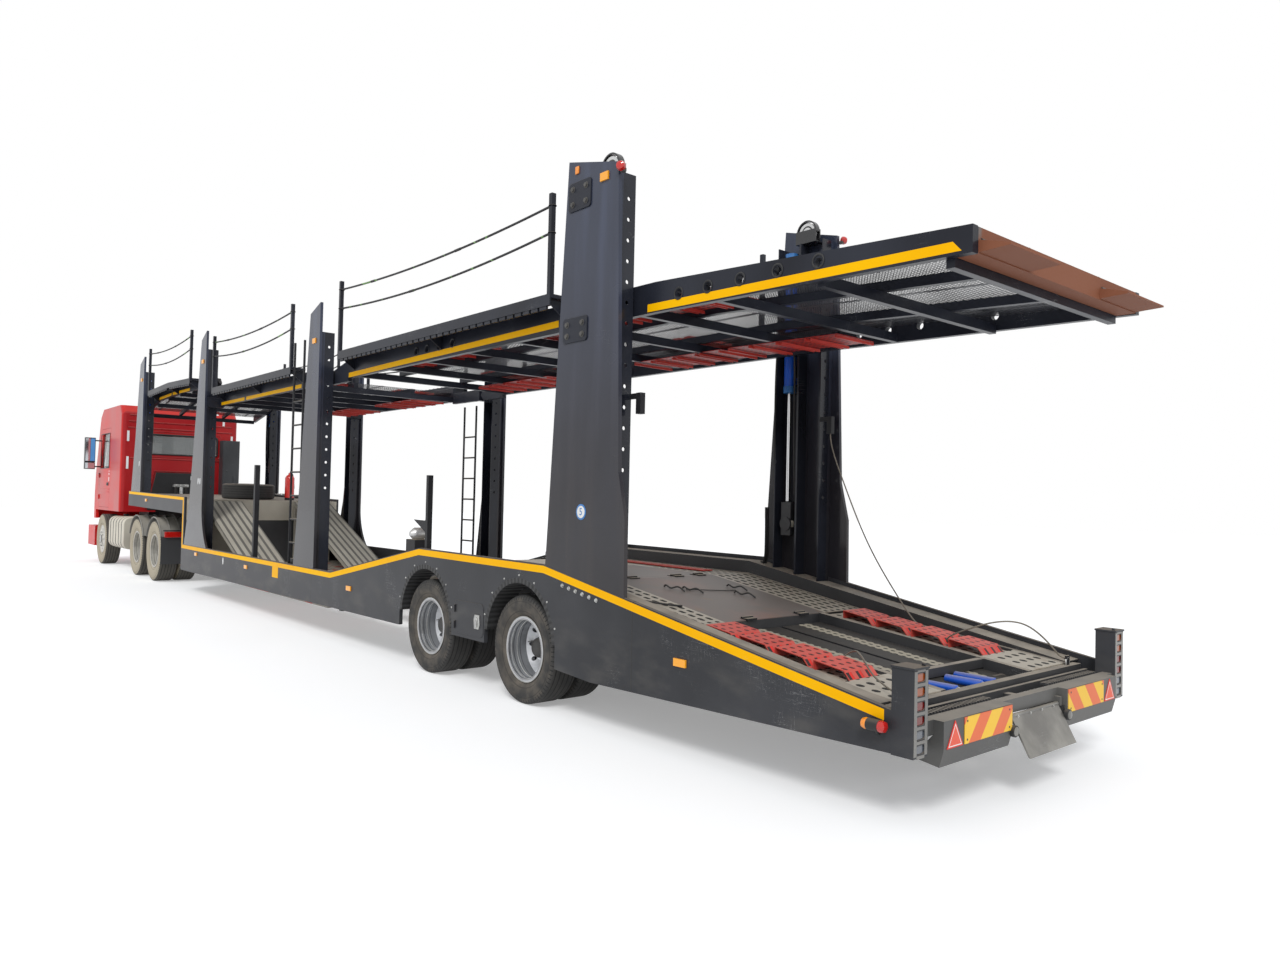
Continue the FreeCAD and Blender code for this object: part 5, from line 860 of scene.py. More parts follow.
# %% [markdown]
# ## Building shapes
#
# The added parts are sheet steel, bar, pipe and hose. `Shape` gathers such forms in one list of points and
# faces: a slab is an outline pushed along a direction, and a pipe is a ring carried along a route. `make`
# turns the list into an object with rounded edges, and lets it ride on the body that carries it.

# %% Shape and make
def section(point, across, other, radius, sides):
    """A ring of places round a point."""
    return [point + (across * math.cos(a) + other * math.sin(a)) * radius for a in turns(sides)]


def tube_faces(rings, sides, closed=False):
    """Faces between one ring and the next, and a cap at both ends of an open tube."""
    links = rings if closed else rings - 1
    faces = []
    for k in range(links):
        here, there = k * sides, (k + 1) % rings * sides
        faces += [[here + t, here + (t + 1) % sides, there + (t + 1) % sides, there + t] for t in range(sides)]
    if not closed:
        faces += [list(range(sides - 1, -1, -1)), [links * sides + t for t in range(sides)]]
    return faces


def off_axis(axis):
    """A direction square to an axis."""
    return axis.cross(Vector((0, 0, 1)) if abs(axis.z) < 0.9 else Vector((1, 0, 0)))


class Shape:
    """Points and faces of one piece, before it becomes a mesh."""

    def __init__(self):
        self.points = []
        self.faces = []

    def add(self, points, faces):
        start = len(self.points)
        self.points += [tuple(p) for p in points]
        self.faces += [[start + k for k in face] for face in faces]
        return self

    def slab(self, outline, push):
        near = [Vector(p) for p in outline]
        n = len(near)
        far = [p + Vector(push) for p in near]
        walls = [[k, (k + 1) % n, n + (k + 1) % n, n + k] for k in range(n)]
        return self.add(near + far, [list(range(n - 1, -1, -1)), list(range(n, 2 * n))] + walls)

    def block(self, x0, x1, y0, y1, z0, z1):
        return self.slab([at(x0, y0, z0), at(x1, y0, z0), at(x1, y1, z0), at(x0, y1, z0)], (0, 0, z1 - z0))

    def plate(self, corners, y0, y1):
        """A slab whose outline is given as stations and heights."""
        return self.slab([at(x, y0, z) for x, z in corners], (0, y1 - y0, 0))

    def pipe(self, route, radius, sides=10, closed=False):
        """A round bar along a route."""
        route = [Vector(p) for p in route]
        last = len(route) - 1
        across, points = None, []
        for k, point in enumerate(route):
            before = route[k - 1] if closed or k else point
            after = route[(k + 1) % len(route)] if closed or k < last else point
            ahead = (after - before).normalized()
            across = across or off_axis(ahead)
            across = (across - ahead * across.dot(ahead)).normalized()
            points += section(point, across, ahead.cross(across), radius, sides)
        return self.add(points, tube_faces(len(route), sides, closed))

    def turned(self, centre, axis, profile, sides=20):
        """A turned part: (distance along the axis, radius) from one end to the other."""
        axis = Vector(axis).normalized()
        across = off_axis(axis).normalized()
        points = []
        for along, r in profile:
            points += section(Vector(centre) + axis * along, across, axis.cross(across), r, sides)
        return self.add(points, tube_faces(len(profile), sides))


def cut_corners(a0, a1, b0, b1, cut):
    """Outline of a rectangle with its corners cut off."""
    return [(a0 + cut, b0), (a1 - cut, b0), (a1, b0 + cut), (a1, b1 - cut), (a1 - cut, b1), (a0 + cut, b1),
            (a0, b1 - cut), (a0, b0 + cut)]


def round_corners(x, y0, y1, z0, z1, radius, steps):
    """A rounded rectangle across the lorry; its corners are arcs round the four given centres."""
    spots = []
    for y, z, start in ((y1, z1, 0), (y0, z1, 90), (y0, z0, 180), (y1, z0, 270)):
        for k in range(steps):
            a = math.radians(start + 90 / (steps - 1) * k)
            spots.append(at(x, y + radius * math.cos(a), z + radius * math.sin(a)))
    return spots


def soft(points, steps=6):
    """A smooth route through a few points, for hoses."""
    points = [Vector(p) for p in points]
    ends = [points[0] * 2 - points[1]] + points + [points[-1] * 2 - points[-2]]
    route = []
    for a, b, c, d in zip(ends, ends[1:], ends[2:], ends[3:]):
        for k in range(steps):
            t = k / steps
            route.append(0.5 * (2 * b + (c - a) * t + (2 * a - 5 * b + 4 * c - d) * t * t
                                + (3 * b - a - 3 * c + d) * t ** 3))
    return route + [points[-1]]


made = []


def enter(piece, body):
    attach(piece, body)
    made.append(piece.name)


def make(name, shape, finish, body="trailer", round_edge=0.0):
    mesh = bpy.data.meshes.new(name)
    mesh.from_pydata(shape.points, [], shape.faces)
    work = bmesh.new()
    work.from_mesh(mesh)
    bmesh.ops.recalc_face_normals(work, faces=work.faces)
    work.to_mesh(mesh)
    work.free()
    mesh.shade_smooth()
    mesh.set_sharp_from_angle(angle=math.radians(38))
    mesh.materials.append(finish.material)
    piece = put(name, mesh)
    if round_edge:
        bevel = piece.modifiers.new("round_edges", "BEVEL")
        bevel.width = round_edge
        bevel.segments = 2
        bevel.limit_method = "ANGLE"
        bevel.angle_limit = 0.6
    enter(piece, body)


print("shape words ready")

# %% [markdown]
# ## Geometry Nodes for what repeats
#
# Bolts, slats and gussets are the same small form many times. A Geometry Nodes tree places them: one tree
# puts a bolt on every point of a mesh, turned to face the way that the point says, and another lays a row
# of bars between two ends. The result is made a plain mesh, because an export drops live instances.

# %% Trees for bolts and rows
class Growth:
    """A Geometry Nodes tree with named inputs, and the meshes grown from it."""

    def __init__(self, name, sizes):
        self.group = bpy.data.node_groups.new(name, "GeometryNodeTree")
        face = self.group.interface
        face.new_socket("Geometry", in_out="INPUT", socket_type="NodeSocketGeometry")
        face.new_socket("Geometry", in_out="OUTPUT", socket_type="NodeSocketGeometry")
        for word, kind in dict(sizes, Finish="NodeSocketMaterial").items():
            face.new_socket(word, in_out="INPUT", socket_type=kind)
        self.start = self.group.nodes.new("NodeGroupInput")
        self.end = self.group.nodes.new("NodeGroupOutput")

    def node(self, kind, settings=None, inputs=None, out=0):
        fresh = self.group.nodes.new(kind)
        for word, value in (settings or {}).items():
            setattr(fresh, word, value)
        for word, value in (inputs or {}).items():
            if isinstance(value, bpy.types.NodeSocket):
                self.group.links.new(value, fresh.inputs[word])
            elif isinstance(value, list):
                for socket in value:
                    self.group.links.new(socket, fresh.inputs[word])
            else:
                fresh.inputs[word].default_value = value
        return fresh.outputs[out]

    def size(self, word):
        return self.start.outputs[word]

    def times(self, value, share):
        return self.node("ShaderNodeMath", {"operation": "MULTIPLY"}, {0: value, 1: share})

    def close(self, geometry):
        real = self.node("GeometryNodeRealizeInstances", {}, {"Geometry": geometry})
        dressed = self.node("GeometryNodeSetMaterial", {}, {"Geometry": real, "Material": self.size("Finish")})
        self.group.links.new(dressed, self.end.inputs[0])

    def grow(self, name, mesh, finish, body="trailer", slot="frame_black", **values):
        piece = put(name, mesh)
        modifier = piece.modifiers.new("growth", "NODES")
        modifier.node_group = self.group
        values["Finish"] = finish.material
        for socket in self.group.interface.items_tree:
            if socket.in_out == "INPUT" and socket.name in values:
                modifier[socket.identifier] = values[socket.name]
        deps = bpy.context.evaluated_depsgraph_get()
        grown = bpy.data.meshes.new_from_object(piece.evaluated_get(deps))
        piece.modifiers.clear()
        piece.data = grown
        grown.name = name
        enter(piece, body)


def bolt_tree():
    """A washer and a hexagon head on every point, standing along the point's facing."""
    tree = Growth("bolts", {"Across": "NodeSocketFloat", "Height": "NodeSocketFloat"})
    across, height = tree.size("Across"), tree.size("Height")
    head = tree.node("GeometryNodeMeshCylinder", {}, {"Vertices": 6, "Radius": tree.times(across, 0.5),
                                                      "Depth": height})
    ring = tree.node("GeometryNodeMeshCylinder", {}, {"Vertices": 12, "Radius": tree.times(across, 0.72),
                                                      "Depth": tree.times(height, 0.3)})
    lift = tree.node("ShaderNodeCombineXYZ", {}, {"Z": tree.times(height, 0.5)})
    raised = tree.node("GeometryNodeTransform", {}, {"Geometry": head, "Translation": lift})
    bolt = tree.node("GeometryNodeJoinGeometry", {}, {"Geometry": [raised, ring]})
    facing = tree.node("GeometryNodeInputNamedAttribute", {"data_type": "FLOAT_VECTOR"}, {"Name": "facing"})
    turn = tree.node("FunctionNodeAlignRotationToVector", {"axis": "Z"}, {"Vector": facing})
    tree.close(tree.node("GeometryNodeInstanceOnPoints", {}, {"Points": tree.size("Geometry"), "Instance": bolt,
                                                              "Rotation": turn}))
    return tree


def row_tree():
    """Bars between two ends."""
    tree = Growth("rows", {"Count": "NodeSocketInt", "First": "NodeSocketVector", "Last": "NodeSocketVector",
                           "Bar": "NodeSocketVector"})
    line = tree.node("GeometryNodeMeshLine", {"mode": "END_POINTS"},
                     {"Count": tree.size("Count"), "Start Location": tree.size("First"), "Offset": tree.size("Last")})
    bar = tree.node("GeometryNodeMeshCube", {}, {"Size": tree.size("Bar")})
    tree.close(tree.node("GeometryNodeInstanceOnPoints", {}, {"Points": line, "Instance": bar}))
    return tree


BOLTS, ROWS = bolt_tree(), row_tree()


def bolts(name, spots, finish, body="trailer", across=0.024, height=0.010, slot="frame_black"):
    """Bolts at (place, facing) pairs."""
    mesh = bpy.data.meshes.new(name)
    mesh.from_pydata([tuple(place) for place, _ in spots], [], [])
    facing = mesh.attributes.new("facing", "FLOAT_VECTOR", "POINT")
    for k, (_, way) in enumerate(spots):
        facing.data[k].vector = way
    BOLTS.grow(name, mesh, finish, body, slot, Across=across, Height=height)


def row(name, first, last, count, bar, finish, body="trailer", slot="frame_black"):
    mesh = bpy.data.meshes.new(name)
    mesh.from_pydata([(0, 0, 0)], [], [])
    ROWS.grow(name, mesh, finish, body, slot, Count=count, First=tuple(first), Last=tuple(last), Bar=tuple(bar))


print("growth trees ready")

# %% [markdown]
# ## Stripes
#
# A yellow band runs under the top edge of each side plate, up the front of the well and along the gooseneck.
# On the real lorry it is a painted strip. Here it is a skin one millimetre thick, so that its edge stays
# sharp from near by, and it bends where the plate bends.

# %% Side stripes
SKIN = 0.0012


def band(shape, line, x0, x1, drop, height, side):
    knees = [x for x, _ in line if x0 + 0.01 < x < x1 - 0.01]
    for a, b in zip([x0] + knees, knees + [x1]):
        top_a, top_b = level(line, a) - drop, level(line, b) - drop
        skin(shape, [(a, top_a), (b, top_b), (b, top_b - height), (a, top_a - height)], side, PLATE_FACE)


def skin(shape, corners, side, y):
    """A painted strip, a skin thick, on the outer side of a plate."""
    return shape.plate(corners, side * y, side * (y + SKIN))


for side, hand in HANDS:
    stripe = Shape()
    band(stripe, RAIL, 0.150, 13.375, 0.010, 0.056, side)
    skin(stripe, [(13.375, 0.70), (13.430, 0.70), (13.430, 1.522), (13.375, 1.522)], side, PLATE_FACE)
    band(stripe, NECK, 13.430, 17.30, 0.008, 0.048, side)
    skin(stripe, [(8.96, 0.701), (9.17, 0.701), (9.17, 0.565), (8.96, 0.565)], side, PLATE_FACE)
    make("side_stripe_" + hand, stripe, stripe_paint, "trailer")

UPPER_STRIPES = (
    ("tail", "upper_deck_rear", ((-0.12, 2.944), (2.30, 2.975), (2.30, 3.030), (-0.07, 2.999))),
    ("rear", "upper_deck_rear", ((3.38, 3.010), (7.48, 2.968), (7.48, 3.022), (3.38, 3.064))),
    ("middle_a", "trailer", ((8.94, 2.966), (11.10, 2.962), (11.10, 3.010), (8.94, 3.014))),
    ("middle_b", "trailer", ((11.18, 2.962), (12.28, 2.962), (12.28, 3.008), (11.18, 3.010))),
    ("front_a", "upper_deck_front", ((14.10, 3.328), (15.20, 3.335), (15.20, 3.383), (14.10, 3.376))),
    ("front_b", "upper_deck_front", ((15.28, 3.333), (16.18, 3.308), (16.18, 3.356), (15.28, 3.381))),
)
for side, hand in HANDS:
    for part, body, corners in UPPER_STRIPES:
        make("deck_stripe_%s_%s" % (part, hand), skin(Shape(), corners, side, DECK_FACE), stripe_paint, body)
print("stripes:", len(made))

# %% [markdown]
# ## The posts
#
# Each rear post carries two bracket plates, held by four bolts with wide washers, a round number disc and a
# red lamp near its top. Bolts come from the bolt tree; the disc is two turned plates, and its figure is text
# made a mesh, because text can't be painted or exported as it is.

# %% Bracket plates, bolts and number discs
def figure(name, words, tall, place, side, finish, body):
    """Raised text that faces outwards from a side of the lorry."""
    text = bpy.data.curves.new(name, "FONT")
    text.body = words
    text.size = tall
    text.align_x, text.align_y = "CENTER", "CENTER"
    text.extrude = 0.0006
    draft = put(name + "_draft", text)
    mesh = bpy.data.meshes.new_from_object(draft.evaluated_get(bpy.context.evaluated_depsgraph_get()))
    bpy.data.objects.remove(draft)
    turn = Matrix(((-side, 0, 0), (0, 0, side), (0, 1, 0))).to_4x4()
    mesh.transform(Matrix.Translation(place) @ turn)
    mesh.materials.append(finish.material)
    enter(put(name, mesh), body)


def speckled(name, colour, rough, scale, dark, light, coat=0.6):
    """A smooth finish whose colour wanders a little."""
    f = Finish(name, colour, rough, coat_weight=coat)
    return f.feed(Base_Color=f.blend(f.noise(scale), dark, light))


disc_blue = speckled("disc_blue", (0.03, 0.16, 0.45), 0.35, 60.0, (0.03, 0.15, 0.42), (0.05, 0.22, 0.55), 0.0)
white_paint = painted("white_enamel", (0.82, 0.82, 0.80), (0.68, 0.68, 0.66), 0.4, 0.1, 0.3)
red_lens = speckled("red_lens", (0.55, 0.010, 0.008), 0.12, 30.0, (0.42, 0.006, 0.005), (0.66, 0.016, 0.010))
amber_lens = speckled("amber_lens", (0.95, 0.27, 0.005), 0.14, 30.0, (0.85, 0.20, 0.004), (0.98, 0.34, 0.01))

for side, hand in HANDS:
    face = side * PLATE_FACE
    brackets, spots = Shape(), []
    for x0, x1, z0, z1 in ((2.705, 2.975, 3.785, 4.000), (2.715, 3.010, 2.800, 2.985)):
        brackets.plate(cut_corners(x0, x1, z0, z1, 0.018), face, face + side * 0.010)
        spots += [(at(x, face + side * 0.010, z), (0, side, 0)) for x in (x0 + 0.055, x1 - 0.055)
                  for z in (z0 + 0.05, z1 - 0.05)]
    make("post_brackets_" + hand, brackets, beam_paint, round_edge=0.002)
    bolts("post_bracket_bolts_" + hand, spots, casting, across=0.034, height=0.014)
    row_x = [2.54 + 0.082 * k for k in range(6)]
    bolts("rail_bolts_" + hand, [(at(x, face, level(RAIL, x) - 0.098), (0, side, 0)) for x in row_x], zinc,
          across=0.022)
    disc = Shape().turned(at(2.742, face, 1.543), (0, side, 0), ((0, 0.058), (0.0015, 0.058), (0.002, 0.056)), 32)
    make("number_disc_" + hand, disc, disc_blue)
    centre = Shape().turned(at(2.742, face + side * 0.0018, 1.543), (0, side, 0),
                            ((0, 0.045), (0.0008, 0.045), (0.001, 0.044)), 32)
    make("number_centre_" + hand, centre, white_paint)
    figure("number_" + hand, "5", 0.076, at(2.742, face + side * 0.0032, 1.543), side, disc_blue, "trailer")
    ball = Shape().turned(at(2.374, face - side * 0.012, 3.985), (-0.5, side * 0.86, 0),
                          ((0, 0.020), (0.010, 0.034), (0.030, 0.036), (0.048, 0.028), (0.056, 0.010)), 20)
    make("post_lamp_" + hand, ball, red_lens)
    make("post_lamp_foot_" + hand, Shape().block(2.345, 2.385, face - side * 0.030, face - side * 0.002, 3.950, 3.975),
         casting, round_edge=0.002)
print("post dress done:", len(made))

# %% [markdown]
# On top of each rear post a sheave carries the rope of the deck lift. The pale wheel turns between two black
# cheeks. Further down, hydraulic hoses hang in soft bends from the cylinder's head to the deck.

# %% Sheaves, hoses and cylinder glands
def groove_wheel(shape, x, y, z, radius, half):
    profile = ((-half, 0.03), (-half, radius * 0.55), (-half * 0.45, radius * 0.60), (-half, radius * 0.72),
               (-half, radius),
               (-half * 0.4, radius - 0.014), (half * 0.4, radius - 0.014), (half, radius), (half, radius * 0.72),
               (half * 0.45, radius * 0.60), (half, radius * 0.55), (half, 0.03))
    return shape.turned(at(x, y, z), (0, 1, 0), profile, 32)


for side, hand in HANDS:
    wheel = groove_wheel(Shape(), 2.640, side * 1.135, 4.075, 0.0885, 0.0165)
    make("lift_sheave_" + hand, wheel, white_paint)
    for number, x, top, low in ((1, 16.570, 3.80, 2.95), (4, 2.830, 3.92, 2.62)):
        hoses = Shape()
        for shift in (-0.035, 0.035):
            start = at(x + shift, side * 1.10, top - 0.05)
            hoses.pipe(soft([start, at(x + shift * 1.6, side * 1.085, top - 0.40),
                             at(x + shift * 3.0, side * 1.082, low + 0.3),
                             at(x + shift * 3.2, side * 1.083, low - 0.35),
                             at(x + shift * 3.4, side * 1.100, low - 0.9)]), 0.009, 8)
        make("lift_hoses_%d_%s" % (number, hand), hoses, black_rubber)
    caps = Shape()
    for x, z0, z1, r in ((2.830, 2.670, 3.900, 0.055), (16.570, 3.000, 3.780, 0.042)):
        y = side * 1.150
        caps.turned(at(x, y, z0 - 0.028), (0, 0, 1), ((0, r * 0.75), (0.006, r * 1.10), (0.060, r * 1.10),
                                                      (0.066, r * 1.02)), 24)
        caps.turned(at(x, y, z1 - 0.03), (0, 0, 1), ((0, r * 1.01), (0.004, r * 1.12), (0.050, r * 1.12),
                                                     (0.056, r * 0.8)), 24)
    make("cylinder_glands_" + hand, caps, disc_blue)
print("lift dress done:", len(made))

# %% [markdown]
# ## Wheel hardware
#
# Each wheel is held by ten nuts round its hub, and the twin wheels at the back have a deep dish that shows
# them. The nuts come from the bolt tree, one ring for each wheel, so that they turn with it. A hub cap, a
# pressed ring at the rim's edge and a valve stem are small turned parts.

# %% Nuts, hub caps and rim rings
def circle(x, y, z, radius, count):
    """Places on a wheel-wise circle round an axle."""
    return [at(x + radius * math.cos(a), y, z + radius * math.sin(a)) for a in turns(count)]


# A row gives the body, the axle's station and height, the disc's offset, the nuts' circle, the rim's
# radius, the hub's length and the tyre's width.
WHEEL_PLACES = [("trailer_wheels_" + end, x, 0.430, 0.952, 0.134, 0.248, 0.130, 0.265)
                for end, x in TRAILER_AXLES.items()]
WHEEL_PLACES += [("drive_wheels_" + end, x, 0.540, 0.917, 0.150, 0.286, 0.130, 0.300) for end, x in DRIVE_AXLES.items()]
WHEEL_PLACES += [("steer_wheel", STEER_AXLE, 0.540, 1.219, 0.150, 0.286, 0.024, 0.300)]
for place, x, z, mount, ring_r, seat, hub, width in WHEEL_PLACES:
    twin = hub > 0.1
    deep = 0.020 if twin else 0.002
    for side, hand in HANDS:
        body = "%s_%s" % (place, hand)
        face = mount + 0.012 if twin else mount
        nuts = [(p, (0, side, 0)) for p in circle(x, side * face, z, ring_r, 10)]
        bolts("nuts_" + body, nuts, zinc, body, across=0.030, height=0.026, slot="chrome_rod")
        cap = Shape().turned(at(x, side * (mount + hub - 0.002), z), (0, side, 0),
                             ((0, 0.074), (0.004, 0.076), (0.004 + deep * 0.6, 0.066), (0.004 + deep, 0.030)), 24)
        make("hub_cap_" + body, cap, casting if twin else zinc, body)
        if twin:
            rim_y = 1.234 - width / 2 + (0.095 if width < 0.28 else 0.114)
            rings = Shape()
            for y, r in ((rim_y + 0.010, seat + 0.011), (rim_y - 0.020, seat - 0.013), (rim_y - 0.075, seat - 0.014)):
                rings.pipe(circle(x, side * y, z, r, 48), 0.0045, 6, closed=True)
            make("rim_rings_" + body, rings, zinc, body)
            stem = [at(x + seat * 0.72, side * (mount + 0.02), z + 0.02),
                    at(x + seat * 0.80, side * (mount + 0.09), z + 0.02)]
            make("valve_stem_" + body, Shape().pipe(stem, 0.005, 8), zinc, body)
print("wheel hardware done:", len(made))

# %% [markdown]
# ## Along the side plates
#
# Between the two axles a small door closes a locker. It is a sheet with rounded corners on two hinges, held
# by a zinc latch. Small screws hold the rubber lips of the wheel arches, and white oval reflectors are stuck
# on where the plate is plain.

# %% Locker door, arch screws and reflectors
reflex_white = painted("reflex_white", (0.86, 0.87, 0.86), (0.74, 0.75, 0.76), 0.25, 0.0, 0.2)
for side, hand in HANDS:
    face = side * PLATE_FACE
    door = cut_corners(4.055, 4.545, 0.452, 0.735, 0.03)
    make("locker_door_" + hand, Shape().plate(door, face, face + side * 0.004), side_paint,
         round_edge=0.0015)
    hinges = Shape()
    for z in (0.520, 0.660):
        hinges.pipe([at(4.520, face + side * 0.010, z - 0.032), at(4.520, face + side * 0.010, z + 0.032)], 0.0075, 8)
    make("locker_hinges_" + hand, hinges, frame_paint)
    latch = Shape().plate([(4.115, 0.520), (4.185, 0.520), (4.195, 0.600), (4.180, 0.640), (4.110, 0.640),
                           (4.100, 0.560)],
                          face + side * 0.004, face + side * 0.013)
    latch.turned(at(4.150, face + side * 0.013, 0.600), (0, side, 0), ((0, 0.020), (0.006, 0.020), (0.008, 0.012)), 16)
    latch.block(4.137, 4.163, face + side * 0.013, face + side * 0.021, 0.536, 0.596)
    make("locker_latch_" + hand, latch, zinc, round_edge=0.0015)
    screws = []
    for station in TRAILER_AXLES.values():
        for k in range(7):
            a = math.radians(18 + 24 * k)
            screws.append((at(station + 0.527 * math.cos(a), face, ARCH_Z + 0.527 * math.sin(a)), (0, side, 0)))
    bolts("arch_screws_" + hand, screws, zinc, across=0.012, height=0.005, slot="chrome_rod")
    ovals = Shape()
    for x, z in ((11.21, 0.633), (12.50, 1.78), (12.60, 1.78), (16.55, 2.12)):
        ovals.plate([(x + 0.022 * math.cos(a), z + 0.050 * math.sin(a)) for a in turns(20)], face, face + side * 0.002)
    make("oval_reflectors_" + hand, ovals, reflex_white)
    marker = Shape().block(2.860, 2.900, face, face + side * 0.012, 4.062, 4.118)
    make("post_marker_" + hand, marker, amber_lens, round_edge=0.003)
print("side dress done:", len(made))

# %% [markdown]
# ## The tail
#
# Behind the last crossbar lies an open bay with the pump cylinders, a bundle of pipes and a serrated foot
# strip. Round lamps sit beside the steel flap, and a lamp on a rubber stalk marks each rear corner. The
# winch ropes end at lugs, where a shackle holds them.

# %% Lamp posts and stalk lamps
face_steel = painted("lamp_face_steel", (0.30, 0.29, 0.27), (0.17, 0.165, 0.155), 0.42, 0.6, 0.5, metal=0.3)
for side, hand in HANDS:
    caps = Shape().block(-0.026, 0.114, side * 1.139, side * 1.281, 0.822, 0.834)
    caps.block(-0.012, 0.006, side * 1.150, side * 1.168, 0.834, 0.848)
    make("lamp_post_cap_" + hand, caps, side_paint, round_edge=0.002)
    face = Shape().block(-0.0215, -0.0202, side * 1.149, side * 1.174, 0.392, 0.815)
    face.block(-0.0215, -0.0202, side * 1.245, side * 1.271, 0.392, 0.815)
    for k in range(7):
        z = 0.386 + 0.072 * k
        face.block(-0.0215, -0.0202, side * 1.174, side * 1.245, z - 0.008, z + 0.008)
    make("lamp_post_face_" + hand, face, face_steel)
    arm = Shape().pipe(soft([at(0.180, side * 1.262, 0.470), at(0.180, side * 1.285, 0.480),
                             at(0.180, side * 1.315, 0.520)]), 0.010, 8)
    arm.turned(at(0.215, side * 1.318, 0.522), (-1, 0, 0), ((0, 0.031), (0.070, 0.031)), 20)
    make("stalk_arm_" + hand, arm, black_rubber)
    red = Shape().turned(at(0.145, side * 1.318, 0.522), (-1, 0, 0),
                         ((0, 0.030), (0.012, 0.032), (0.032, 0.026), (0.038, 0.012)), 20)
    make("stalk_red_" + hand, red, red_lens)
    amber = Shape().turned(at(0.215, side * 1.318, 0.522), (1, 0, 0),
                           ((0, 0.030), (0.012, 0.031), (0.030, 0.025), (0.036, 0.012)), 20)
    make("stalk_amber_" + hand, amber, amber_lens)
    lamp = Shape().turned(at(-0.045, side * 0.336, 0.395), (-1, 0, 0),
                          ((0, 0.022), (0.012, 0.033), (0.034, 0.033), (0.036, 0.028)), 24)
    lamp.block(-0.045, 0.0, side * 0.325, side * 0.347, 0.385, 0.450)
    make("flap_lamp_" + hand, lamp, black_rubber)
    lens_disc = Shape().turned(at(-0.081, side * 0.336, 0.395), (-1, 0, 0),
                               ((0, 0.026), (0.004, 0.022), (0.006, 0.008)), 20)
    make("flap_lamp_lens_" + hand, lens_disc, flap_steel)
print("tail lamps done:", len(made))

# %% Tail bay
pipes = Shape()
for x, z, half, r in ((0.105, 0.430, 1.02, 0.010), (0.130, 0.455, 0.98, 0.008), (0.155, 0.425, 1.02, 0.012),
                      (0.300, 0.480, 0.90, 0.014),
                      (0.340, 0.455, 0.96, 0.009), (0.450, 0.470, 0.55, 0.016), (0.520, 0.450, 0.90, 0.010)):
    pipes.pipe(soft([at(x, -half, z), at(x + 0.012, -half * 0.4, z - 0.010), at(x - 0.008, half * 0.3, z + 0.008),
                     at(x, half, z)], 5), r, 8)
make("tail_pipes", pipes, frame_paint)
rams = Shape()
rams.turned(at(0.390, 0.480, 0.500), (0, 1, 0), ((0, 0.030), (0.004, 0.040), (0.420, 0.040), (0.424, 0.030)), 24)
for x, y, z, long, r in ((0.275, -0.100, 0.563, 0.270, 0.024), (0.275, 0.060, 0.565, 0.240, 0.026),
                         (0.285, 0.330, 0.566, 0.200, 0.024)):
    rams.turned(at(x, y, z), (1, 0, 0), ((0, r * 0.75), (0.004, r), (long, r), (long + 0.004, r * 0.75)), 20)
rams.turned(at(0.520, 0.420, 0.590), (0, 1, 0), ((0, 0.022), (0.004, 0.028), (0.300, 0.028), (0.304, 0.022)), 20)
rams.turned(at(1.080, 0.780, 0.500), (1, 0, 0), ((0, 0.024), (0.004, 0.032), (0.420, 0.032), (0.424, 0.024)), 20)
make("tail_rams", rams, blue_paint)
ends = Shape()
for x, y, z, r in ((0.275, 0.060, 0.565, 0.017), (0.275, -0.100, 0.563, 0.015), (0.285, 0.330, 0.566, 0.015)):
    ends.turned(at(x, y, z), (-1, 0, 0), ((0, r), (0.014, r), (0.018, r * 0.6)), 16)
ends.pipe([at(0.390, 0.480, 0.500), at(0.390, 0.240, 0.500)], 0.014, 12)
make("tail_ram_rods", ends, chrome)
motor = Shape().turned(at(0.440, -0.560, 0.490), (0, 1, 0),
                       ((0, 0.040), (0.010, 0.055), (0.180, 0.055), (0.190, 0.035), (0.230, 0.035)), 24)
motor.block(0.390, 0.500, -0.330, -0.250, 0.440, 0.535)
make("tail_motor", motor, casting, round_edge=0.002)
for side, hand in HANDS:
    row("foot_strip_" + hand, at(0.088, side * 0.36, 0.552), at(0.088, side * 1.03, 0.552), 23, (0.052, 0.012, 0.014),
        deck_frame)
    shackle = Shape().pipe([at(0.232, side * (1.000 + 0.024 * math.sin(a)), 0.600 + 0.034 * math.cos(a))
                            for a in turns(16)], 0.0065, 8, closed=True)
    shackle.turned(at(0.232, side * 0.962, 0.568), (0, side, 0),
                   ((0, 0.011), (0.008, 0.011), (0.010, 0.007), (0.066, 0.007), (0.068, 0.011), (0.076, 0.011)), 12)
    make("rope_shackle_" + hand, shackle, zinc)
    screws = [(at(-0.0605, side * y, z), (-1, 0, 0)) for y in (0.385, 0.835) for z in (0.425, 0.522)]
    bolts("board_screws_" + hand, screws, casting, across=0.012, height=0.005)
bolts("flap_screws", [(at(-0.030, y, 0.455), (-0.88, 0, 0.48)) for y in (-0.22, -0.07, 0.07, 0.22)], zinc, "tail_flap",
      0.014, 0.006,
      "chrome_rod")
print("tail bay done:", len(made))

# %% [markdown]
# ## On the lower deck
#
# A driver's eye finds the small things here: strap hinges of the middle hatch, red bars beside the track, a
# bundle of cables tied to the right rail, and a thin hose that crosses the left track to the hatch.

# %% Deck hardware
deck_red = painted("deck_red", (0.62, 0.050, 0.034), (0.46, 0.030, 0.022), 0.5, 0.2, 0.4, (0.50, 0.24, 0.18))
strap_yellow = painted("strap_yellow", (0.80, 0.55, 0.04), (0.66, 0.42, 0.03), 0.8, 0.0, 0.4)


def on_deck(x, y, lift=0.0):
    return at(x, y, level(DECK, x) + lift)


